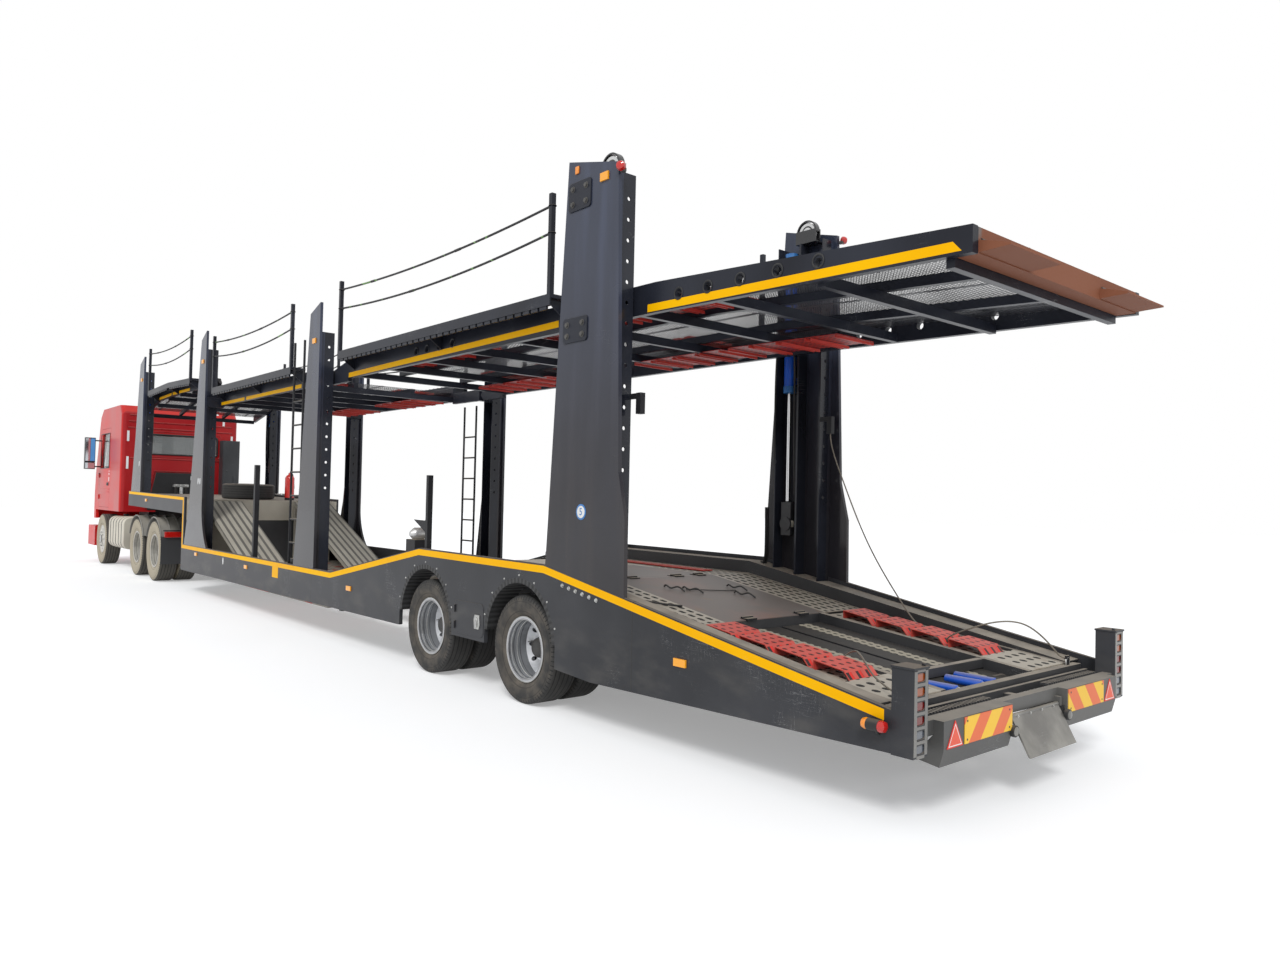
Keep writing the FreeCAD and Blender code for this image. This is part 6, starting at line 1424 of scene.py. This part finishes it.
hinges = Shape()
for x, y in ((3.245, 0.35), (3.235, -0.15), (3.235, -0.42), (1.985, 0.30), (1.985, -0.30)):
    hinges.pipe([on_deck(x, y - 0.060, 0.010), on_deck(x, y + 0.060, 0.010)], 0.008, 8)
    hinges.block(x - 0.055, x + 0.055, y - 0.050, y + 0.050, level(DECK, x) - 0.010, level(DECK, x) + 0.006)
make("hatch_hinges", hinges, frame_paint)
grips = Shape()
for x, y in ((2.82, 0.27), (2.74, 0.14), (2.72, -0.36), (2.52, -0.24)):
    grips.pipe(soft([on_deck(x - 0.09, y - 0.05, 0.006), on_deck(x - 0.04, y - 0.02, 0.032),
                     on_deck(x + 0.01, y + 0.01, 0.012),
                     on_deck(x + 0.05, y + 0.03, 0.026), on_deck(x + 0.08, y + 0.02, 0.008)]), 0.007, 8)
grips.pipe(soft([on_deck(2.78, 0.16, 0.008), on_deck(2.70, -0.10, 0.007), on_deck(2.66, -0.30, 0.008)]), 0.004, 6)
make("hatch_straps", grips, black_rubber)
bars = Shape()
for y in (-0.700, -0.780):
    bars.slab([on_deck(3.45, y, 0.004), on_deck(5.20, y, 0.004), on_deck(5.20, y - 0.045, 0.004),
               on_deck(3.45, y - 0.045, 0.004)], (0, 0, 0.012))
make("red_wheel_guides", bars, deck_red, round_edge=0.002)
bundle, ties = Shape(), Shape()
for shift, drop in ((0.0, 0.0), (-0.020, 0.012), (-0.004, 0.026), (-0.028, 0.034), (0.006, 0.044)):
    lane = [(7.10, 0.84), (6.20, 1.010), (5.20, 1.085), (4.30, 1.080), (3.55, 1.068), (3.16, 1.075)]
    places = [at(x, -1.160 - shift, z - drop + (0.006 if j % 2 else -0.004)) for j, (x, z) in enumerate(lane)]
    places += [at(3.075, -1.150 - shift, 1.150 - drop), at(3.055, -1.140 - shift, 1.330 - drop),
               at(3.050, -1.130 - shift, 1.600)]
    bundle.pipe(soft(places, 5), 0.0085, 7)
make("rail_cable_bundle", bundle, black_rubber)
for x in (6.60, 6.10, 5.65, 5.20, 4.75, 4.30, 3.90, 3.50):
    z = 1.085 - max(0.0, x - 5.2) * 0.075 - (0.012 if x < 5.2 else 0.0)
    ties.pipe([at(x, -1.152 + 0.036 * math.cos(a), z - 0.022 + 0.040 * math.sin(a)) for a in turns(12)], 0.004, 5,
              closed=True)
make("cable_ties", ties, reflex_white)
hose = Shape().pipe(soft([on_deck(3.02, 1.150, 0.25), on_deck(2.98, 1.080, 0.08), on_deck(2.86, 1.000, 0.020),
                          on_deck(2.60, 0.850, 0.012),
                          on_deck(2.42, 0.700, 0.012), on_deck(2.36, 0.600, 0.010)]), 0.007, 8)
make("track_hose", hose, black_rubber)
lines = Shape()
for y, drop in ((-1.205, 0.075), (-1.195, 0.105), (-1.208, 0.135)):
    lines.pipe(soft([at(x, y + (0.008 if k % 2 else -0.004), level(RAIL, x) - drop - (0.018 if k % 2 else 0.0))
                     for k, x in enumerate((2.95, 2.60, 2.20, 1.80, 1.40, 1.00, 0.60, 0.25))], 4), 0.006, 6)
make("rail_lines", lines, black_rubber)
bolts("rail_line_clips", [(at(x, -1.200, level(RAIL, x) - 0.10), (0, 1, 0))
                          for x in (2.75, 2.35, 1.95, 1.55, 1.15, 0.75, 0.40)], zinc,
      across=0.022, height=0.012, slot="chrome_rod")
strap = Shape().slab([on_deck(1.90, 0.900, 0.004), on_deck(1.98, 0.960, 0.004), on_deck(1.94, 1.010, 0.004),
                      on_deck(1.84, 0.940, 0.004)], (0, 0, 0.030))
strap.pipe(soft([on_deck(1.93, 0.95, 0.030), on_deck(2.02, 1.00, 0.050), on_deck(2.08, 1.03, 0.012)]), 0.012, 6)
make("yellow_strap", strap, strap_yellow, round_edge=0.004)
eye = Shape().pipe([at(1.560, 0.430 + 0.026 * math.cos(a), 0.640 + 0.026 * math.sin(a)) for a in turns(20)], 0.005, 6,
                   closed=True)
make("bay_eye", eye, blue_paint)
print("deck hardware done:", len(made))

# %% [markdown]
# From below, the red treads of the upper decks are what the eye meets first. Each is a bent strip with a lip
# at both edges, so a row of lips with a perforated sheet above them gives the right look from underneath.

# %% Upper treads from below
tread_under = Finish("tread_underside", (0.5, 0.03, 0.02), 0.5)
# The holes are painted near-black: painted shade seen through the holes.
holes_under = tread_under.holes(tread_under.x, tread_under.y, 0.055, 0.055, 0.015, 0.0145)
tread_under.feed(Base_Color=tread_under.blend(holes_under, (0.42, 0.022, 0.016), (0.035, 0.004, 0.004)))
UNDER_PITCH = 0.302
LIP = (0.012, 0.500, 0.022)
UNDER_GROUPS = (
    ("tail", "upper_deck_rear", UPPER_REAR, 1.80, 4), ("rear", "upper_deck_rear", UPPER_REAR, 3.06, 4),
    ("inner", "upper_deck_rear", UPPER_REAR, 5.70, 5), ("middle", "trailer", UPPER_MIDDLE, 8.95, 4),
    ("fore", "trailer", UPPER_MIDDLE, 11.00, 4),
)
for group, body, line, start, count in UNDER_GROUPS:
    end = start + UNDER_PITCH * (count - 1)
    for side, hand in HANDS:
        y = side * 0.700
        drop = 0.150 if side < 0 else 0.032
        low = [level(line, x) - drop for x in (start, end)]
        for kind, shift in (("lips", 0.0), ("backs", 0.24)):
            row("under_%s_%s_%s" % (kind, group, hand), at(start + shift, y, low[0]), at(end + shift, y, low[1]), count,
                LIP,
                deck_red, body, "red_tread")
        sheet = Shape().slab([at(start - 0.010, y - 0.245, low[0] + 0.015), at(end + 0.250, y - 0.245, low[1] + 0.015),
                              at(end + 0.250, y + 0.245, low[1] + 0.015),
                              at(start - 0.010, y + 0.245, low[0] + 0.015)], (0, 0, 0.005))
        make("under_treads_%s_%s" % (group, hand), sheet, tread_under, body)
print("upper treads done:", len(made))

# %% [markdown]
# ## In the well
#
# Beside the ladders stand a stake with a valve box and a small pump with a bright motor. The extinguisher and
# a loose chain lie on the neck. All of it is real clutter of a working trailer.

# %% Valve box, pump and stake
extinguisher_red = painted("extinguisher_red", (0.75, 0.030, 0.020), (0.62, 0.018, 0.014), 0.25, 0.0, 0.3, coat=0.4)
alloy = painted("pump_alloy", (0.62, 0.62, 0.61), (0.42, 0.42, 0.42), 0.35, 0.2, 0.3, metal=0.7, cloud_size=12.0)
box_face = Shape()
for k in range(4):
    x = 8.640 + 0.060 * k
    box_face.pipe([at(x, 1.090, 0.820), at(x, 1.090, 0.870)], 0.006, 8)
    box_face.turned(at(x, 1.090, 0.870), (0, 0, 1), ((0, 0.010), (0.006, 0.016), (0.020, 0.016), (0.026, 0.008)), 14)
box_face.turned(at(8.560, 1.090, 0.700), (1, 0, 0), ((0, 0.020), (0.006, 0.030), (0.040, 0.030)), 18)
make("valve_knobs", box_face, casting)
valve_hoses = Shape()
for k in range(4):
    x = 8.640 + 0.058 * k
    valve_hoses.pipe(soft([at(x, 1.040, 0.800), at(x + 0.02, 0.980, 0.760), at(x + 0.05, 0.960, 0.600),
                           at(x + 0.04, 0.985, 0.470)]), 0.009, 8)
make("valve_hoses", valve_hoses, black_rubber)
stake = Shape().block(5.200, 5.244, 1.165, 1.215, 1.130, 1.830)
stake.plate([(5.244, 1.270), (5.244, 1.400), (5.520, 1.405), (5.360, 1.330)], 1.184, 1.196)
make("short_stake", stake, frame_paint, round_edge=0.002)
pump = Shape().turned(at(5.640, 1.020, 1.260), (0, 1, 0),
                      ((0, 0.045), (0.010, 0.062), (0.100, 0.062), (0.130, 0.040), (0.150, 0.022)), 24)
pump.pipe(soft([at(5.560, 1.080, 1.330), at(5.500, 1.080, 1.370), at(5.460, 1.090, 1.400)]), 0.012, 8)
make("hand_pump", pump, alloy)
pump_base = Shape().block(5.570, 5.760, 0.990, 1.150, 1.065, 1.205)
pump_base.turned(at(5.760, 1.060, 1.150), (1, 0, 0), ((0, 0.046), (0.080, 0.046), (0.090, 0.030)), 20)
make("hand_pump_base", pump_base, frame_paint, round_edge=0.004)
bottle = Shape().turned(at(13.900, -0.600, 1.535), (0, 0, 1),
                        ((0.0, 0.070), (0.008, 0.081), (0.360, 0.081), (0.400, 0.060), (0.425, 0.026), (0.452, 0.026)),
                        24)
make("extinguisher_bottle", bottle, extinguisher_red)
handle = Shape().pipe(soft([at(13.900, -0.600, 1.985), at(13.860, -0.600, 2.020), at(13.800, -0.600, 2.040)]), 0.010, 8)
handle.pipe(soft([at(13.900, -0.600, 1.970), at(13.930, -0.660, 1.960), at(13.935, -0.690, 1.800),
                  at(13.925, -0.690, 1.700)]), 0.008, 8)
make("extinguisher_handle", handle, black_rubber)
chain = Shape()
for k in range(26):
    a = 2.4 * k
    x, y = 14.40 + 0.020 * k, -0.75 + 0.06 * math.sin(a)
    chain.pipe([at(x + 0.022 * math.cos(b), y + 0.014 * math.sin(b) * math.cos(a),
                   1.595 + 0.014 * math.sin(b) * abs(math.sin(a)) + 0.008 * (k % 2))
                for b in turns(10)], 0.004, 5, closed=True)
make("loose_chain", chain, zinc)
print("well dress done:", len(made))

# %% [markdown]
# ## Walkways
#
# The walkways beside the upper decks hang on a row of small brackets, and the stanchions carry rings for the
# hand ropes. Both repeat, so a row of bars and closed rings make them.

# %% Brackets, rings, rope tape and collars
seal_black = painted("window_seal", (0.016, 0.016, 0.018), (0.010, 0.010, 0.011), 0.5, 0.0, 0.2)
for deck, (line, x0, x1, rise, body) in WALKWAYS.items():
    for side, hand in HANDS:
        knees = [x0 + 0.10] + [x for x, _ in line if x0 + 0.3 < x < x1 - 0.3] + [x1 - 0.10]
        for number, (a, b) in enumerate(zip(knees, knees[1:])):
            count = max(3, int((b - a) / 0.115))
            for kind, y, lift, bar in (("brackets", 1.236, -0.102, (0.090, 0.020, 0.030)),
                                       ("treads", 1.150, 0.006, (0.034, 0.130, 0.010))):
                ends = [at(x, side * y, level(line, x) + rise + lift) for x in (a, b)]
                row("wing_%s_%s_%s_%d" % (kind, deck, hand, number), *ends, count, bar, beam_paint, body,
                    "trailer_paint")
        rings = Shape()
        for x in (x0 + STANCHION_IN, x1 - STANCHION_IN):
            for share, _ in (UPPER_ROW, LOWER_ROW):
                z = level(line, x) + rise + STANCHION_TALL * share
                rings.pipe([at(x + 0.029 * math.cos(a), side * (1.230 + 0.029 * math.sin(a)), z)
                            for a in turns(16)], 0.0045, 6, closed=True)
        make("stanchion_rings_%s_%s" % (deck, hand), rings, frame_paint, body)
        tape = Shape()
        for rope_row, t in ((UPPER_ROW, 0.36), (LOWER_ROW, 0.58), (UPPER_ROW, 0.80)):
            tape.pipe([rope_place(deck, side, rope_row, u) for u in (t - 0.012, t + 0.012)], 0.0125, 10)
        make("rope_tape_%s_%s" % (deck, hand), tape, black_rubber, body)
flaps = Shape()
for side in BOTH:
    flaps.block(-0.176, -0.064, side * 0.440, side * 0.452, 3.000, 3.070)
    flaps.pipe([at(-0.180, side * 0.470, 3.000), at(-0.180, side * 0.980, 3.000)], 0.012, 10)
make("deck_end_hinges", flaps, casting, "upper_deck_rear")
for side, hand in HANDS:
    collars = Shape()
    for x, z in [(x, 3.060) for x in (1.98, 1.70, 1.41, 1.10, 0.79)] + [(x, 3.085)
                                                                        for x in (5.826, 5.597, 5.351, 5.095)]:
        collars.pipe(circle(x, side * 1.0605, z, 0.040, 20), 0.0065, 6, closed=True)
    make("beam_hole_collars_" + hand, collars, seal_black, "upper_deck_rear")
print("walkways done:", len(made))

# %% [markdown]
# ## The tractor's back and sides
#
# The cab's rear wall is pressed sheet with four ribs, a window in a black seal and a black sheet that
# stands for the recess of the air lines, its darkness painted shade. White reflectors mark its outline. The
# fuel tank is strapped in five places, which makes it look like a row of cushions, and a lamp block sits over
# each mud flap.

# %% Rear wall of the cab
dark_red = painted("cab_red_shade", (0.36, 0.012, 0.014), (0.26, 0.008, 0.010), 0.32, 0.0, 0.3, (0.40, 0.14, 0.10), 0.3)


def wall_loop(half, low, top, corner, x=18.797):
    """A rounded rectangle on the cab's rear wall."""
    return round_corners(x, corner - half, half - corner, low + corner, top - corner, corner, 5)


make("rear_window_seal", Shape().pipe(wall_loop(0.730, 2.390, 2.810, 0.05), 0.016, 8, closed=True), seal_black, "cab")
ribs = Shape()
for z, half in ((3.195, 1.00), (3.060, 1.02), (2.930, 1.03), (2.290, 0.98)):
    ribs.slab([at(18.800, -half, z - 0.018), at(18.788, -half + 0.01, z - 0.008), at(18.788, -half + 0.01, z + 0.008),
               at(18.800, -half, z + 0.018)],
              (0, 2 * half, 0))
ribs.pipe(wall_loop(0.800, 2.330, 2.870, 0.08, 18.799), 0.008, 6, closed=True)
make("rear_wall_ribs", ribs, dark_red, "cab", round_edge=0.002)
# A flat black sheet in place of the recess: painted shade for its depth.
recess = Shape().slab([at(18.786, 0.640, 1.200), at(18.786, -0.640, 1.200), at(18.786, -0.480, 2.000),
                       at(18.786, 0.480, 2.000)], (0.012, 0, 0))
make("air_line_recess", recess, seal_black, "cab", round_edge=0.01)
border = Shape().pipe([at(18.790, y, z) for y, z in ((0.680, 1.220), (0.515, 2.030), (-0.515, 2.030), (-0.680, 1.220))],
                      0.012, 6)
make("recess_border", border, dark_red, "cab")
gear = Shape().block(18.700, 18.786, -0.150, 0.150, 1.700, 1.760)
for y in (-0.100, 0.0, 0.100):
    gear.turned(at(18.715, y, 1.730), (-1, 0, 0), ((0, 0.022), (0.030, 0.022), (0.040, 0.014)), 16)
make("air_couplings", gear, zinc, "cab", round_edge=0.002)
for number, (y, finish) in enumerate(((-0.100, black_rubber), (0.0, white_paint), (0.100, black_rubber))):
    coil = Shape().pipe([at(18.690 + 0.030 * math.cos(1.1 * k), y + 0.032 * math.sin(1.1 * k), 1.700 - 0.0042 * k)
                         for k in range(60)], 0.007, 6)
    make("air_coil_%d" % (number + 1), coil, finish, "cab")
plate = Shape().block(18.783, 18.787, -0.300, -0.200, 1.860, 1.940)
make("blank_label", plate, reflex_white, "cab")
marks = Shape()
for side in BOTH:
    for y, z0, z1 in ((1.030, 2.640, 2.860), (1.030, 2.060, 2.320), (0.850, 3.080, 3.200)):
        marks.block(18.796, 18.801, side * (y - 0.022), side * (y + 0.022), z0, z1)
    ends = (side * 0.640, side * 0.760)
    marks.slab([at(18.868, ends[0], 3.309), at(18.904, ends[0], 3.350), at(18.904, ends[1], 3.350),
                at(18.868, ends[1], 3.309)],
               (-0.003, 0, 0.003))
make("cab_reflectors", marks, reflex_white, "cab")
lid = Shape()
lid.slab([at(18.532, y, z) for y, z in cut_corners(-1.122, -0.788, 1.512, 2.738, 0.06)], (0.010, 0, 0))
for z in (1.640, 2.080, 2.600):
    lid.turned(at(18.533, -0.870, z), (-1, 0, 0), ((0, 0.016), (0.008, 0.016), (0.010, 0.010)), 12)
lid.slab([at(18.532, -1.060, 1.800), at(18.532, -1.010, 1.800), at(18.532, -1.010, 1.960), at(18.532, -1.060, 1.960)],
         (-0.016, 0, 0))
make("air_filter_lid", lid, dark_plastic, "cab", round_edge=0.004)
print("rear wall done:", len(made))

# %% Doors, mirrors and cab front
mirror_glass = Finish("mirror_glass", (0.62, 0.66, 0.70), 0.05, 1.0)
mirror_glass.feed(Roughness=mirror_glass.noise(4.0) * 0.05 + 0.03)
# The small mirror is blue paint, not a mirror: a painted reflection of the sky.
sky_reflection_paint = speckled("small_mirror_sky_reflection", (0.06, 0.30, 0.72), 0.18, 3.0, (0.05, 0.27, 0.66), (0.10, 0.40, 0.82))
for side, hand in HANDS:
    door = "door_" + hand
    pane = Shape().slab([at(19.955, side * 1.118, 2.095), at(20.818, side * 1.118, 2.095),
                         at(20.818, side * 1.118, 2.838),
                         at(19.955, side * 1.118, 2.838)], (0, side * 0.005, 0))
    make("door_pane_" + hand, pane, glass, door)
    rim = Shape().pipe([at(x, side * 1.150, z) for x, z in ((19.945, 2.085), (20.828, 2.085), (20.828, 2.848),
                                                            (19.945, 2.848))], 0.009, 6, closed=True)
    make("door_window_seal_" + hand, rim, seal_black, door)
    grip = Shape().block(19.960, 20.130, side * 1.148, side * 1.156, 1.700, 1.770)
    grip.pipe(soft([at(19.975, side * 1.158, 1.735), at(20.045, side * 1.170, 1.735), at(20.115, side * 1.158, 1.735)]),
              0.010, 8)
    make("door_grip_" + hand, grip, seal_black, door, round_edge=0.002)
    marks = Shape()
    for z in (1.98, 1.84):
        marks.block(19.900, 19.960, side * 1.148, side * 1.1515, z - 0.045, z + 0.045)
    make("door_reflectors_" + hand, marks, reflex_white, door)
    crease = Shape()
    for z in (1.560, 1.620, 1.990):
        crease.slab([at(19.880, side * 1.149, z - 0.012), at(20.880, side * 1.149, z - 0.012),
                     at(20.880, side * 1.149, z + 0.012),
                     at(19.880, side * 1.149, z + 0.012)], (0, side * 0.006, 0))
    make("door_creases_" + hand, crease, cab_red, door, round_edge=0.004)
    large = Shape().block(20.634, 20.639, side * 1.400, side * 1.490, 2.240, 2.740)
    large.block(20.634, 20.639, side * 1.310, side * 1.490, 2.075, 2.200)
    make("mirror_glass_" + hand, large, mirror_glass, door, round_edge=0.002)
    small = Shape().block(20.634, 20.639, side * 1.310, side * 1.395, 2.240, 2.740)
    make("mirror_inner_" + hand, small, sky_reflection_paint, door, round_edge=0.002)
    blink = Shape().block(20.645, 20.735, side * 1.4985, side * 1.4998, 2.100, 2.180)
    make("mirror_indicator_" + hand, blink, red_lens, door)
    lamp = Shape().slab([at(21.386, side * 0.790, 1.010), at(21.386, side * 1.110, 1.010),
                         at(21.386, side * 1.110, 1.190), at(21.386, side * 0.790, 1.190)],
                        (0.012, 0, 0))
    make("headlamp_glass_" + hand, lamp, reflex_white, "cab", round_edge=0.004)
    for k, y in enumerate((0.870, 1.020)):
        bowl = Shape().turned(at(21.398, side * y, 1.100), (1, 0, 0), ((0, 0.064), (0.006, 0.060), (0.010, 0.040)), 24)
        make("headlamp_bowl_%s_%d" % (hand, k + 1), bowl, mirror_glass, "cab")
    turn_lamp = Shape().block(21.490, 21.500, side * 1.02, side * 1.16, 0.680, 0.740)
    make("bumper_indicator_" + hand, turn_lamp, amber_lens, "tractor")
    fog = Shape().turned(at(21.494, side * 0.93, 0.500), (1, 0, 0), ((0, 0.060), (0.004, 0.058), (0.006, 0.040)), 24)
    make("fog_lamp_" + hand, fog, reflex_white, "tractor")


SILL_Z, HEADER_Z = 1.98, 2.96


def screen_x(z):
    """Station of the windscreen's face at a height."""
    return 21.376 - (z - SILL_Z) * 0.300 / (HEADER_Z - SILL_Z)


trim = Shape().block(21.419, 21.436, -0.780, 0.780, 1.540, 1.566)
trim.block(21.419, 21.436, -0.780, 0.780, 1.105, 1.130)
for side in BOTH:
    trim.block(21.419, 21.436, side * 0.755, side * 0.780, 1.130, 1.540)
make("grille_frame", trim, zinc, "cab", round_edge=0.004)
wipers = Shape()
for y in (-0.62, 0.02, 0.62):
    wipers.pipe([at(screen_x(z), y + dy, z) for z, dy in ((1.80, 0.0), (1.90, 0.10), (2.12, 0.20))], 0.008, 6)
    wipers.pipe([at(screen_x(z) - 0.008, y + dy, z) for z, dy in ((1.86, 0.14), (2.30, 0.26))], 0.006, 6)
make("wipers", wipers, seal_black, "cab")
roof_lamps = Shape()
for y in (-0.80, -0.30, 0.30, 0.80):
    roof_lamps.turned(at(20.815, y, 3.318), (0.55, 0, 0.84), ((0, 0.034), (0.018, 0.032), (0.032, 0.016)), 16)
make("roof_lamps", roof_lamps, amber_lens, "cab")
print("doors and front done:", len(made))

# %% Tank straps, mudguards and tail lamps of the tractor
TANK_CORNERS = (0.68, 1.105, 0.55, 0.93)
straps = Shape()
for x in (18.110, 18.360, 18.615, 18.870, 19.125):
    straps.pipe(round_corners(x, *TANK_CORNERS, 0.122, 6), 0.009, 6, closed=True)
make("tank_straps", straps, frame_paint, "tractor")
cushions = Shape()
for a, b in ((17.93, 18.09), (18.13, 18.34), (18.38, 18.595), (18.635, 18.85), (18.89, 19.105), (19.145, 19.31)):
    loops = [round_corners(x, *TANK_CORNERS, r, 6)
             for x, r in ((a, 0.121), (a + 0.02, 0.130), ((a + b) / 2, 0.135), (b - 0.02, 0.130), (b, 0.121))]
    cushions.add([p for loop in loops for p in loop], tube_faces(len(loops), len(loops[0])))
make("tank_cushions", cushions, tank_alloy, "tractor")
cap = Shape().turned(at(19.200, 0.930, 1.062), (0, 0, 1), ((0, 0.045), (0.010, 0.055), (0.035, 0.055), (0.045, 0.040)),
                     24)
make("tank_cap", cap, dark_plastic, "tractor")
ribs = Shape()
for station in DRIVE_AXLES.values():
    for side in BOTH:
        for y in (0.600, 0.760, 0.915, 1.070, 1.228):
            arc = [at(station + 0.604 * math.cos(a), side * y, 0.540 + 0.604 * math.sin(a))
                   for a in (math.radians(24 + 12 * k) for k in range(12))]
            ribs.pipe(arc, 0.010, 6)
make("mudguard_ribs", ribs, guard_plastic, "tractor")
for side, hand in HANDS:
    lamp = Shape().block(14.868, 14.908, side * 0.860, side * 1.190, 0.800, 0.900)
    make("tractor_tail_lamp_" + hand, lamp, red_lens, "tractor", round_edge=0.008)
    frame_bar = Shape().block(14.880, 14.909, side * 0.780, side * 1.210, 0.905, 0.930)
    frame_bar.block(14.880, 14.909, side * 0.780, side * 0.850, 0.790, 0.905)
    make("tail_lamp_bar_" + hand, frame_bar, guard_plastic, "tractor", round_edge=0.004)
tanks = Shape()
for x in (17.560, 17.720):
    tanks.turned(at(x, 0.480, 0.620), (0, 1, 0), ((0, 0.030), (0.020, 0.070), (0.050, 0.078), (0.520, 0.078),
                                                  (0.550, 0.070), (0.570, 0.030)), 24)
make("air_tanks", tanks, frame_paint, "tractor")
locker = Shape().block(18.120, 19.180, -1.232, -1.224, 0.560, 1.010)
locker.pipe([at(18.560, -1.238, 0.780), at(18.740, -1.238, 0.780)], 0.008, 8)
make("locker_lid", locker, dark_plastic, "tractor", round_edge=0.006)
row("grille_mesh", at(21.432, -0.66, 1.330), at(21.432, 0.66, 1.330), 34, (0.006, 0.006, 0.340), dark_plastic, "cab",
    "grey_plastic")
print("tractor dress done:", len(made))
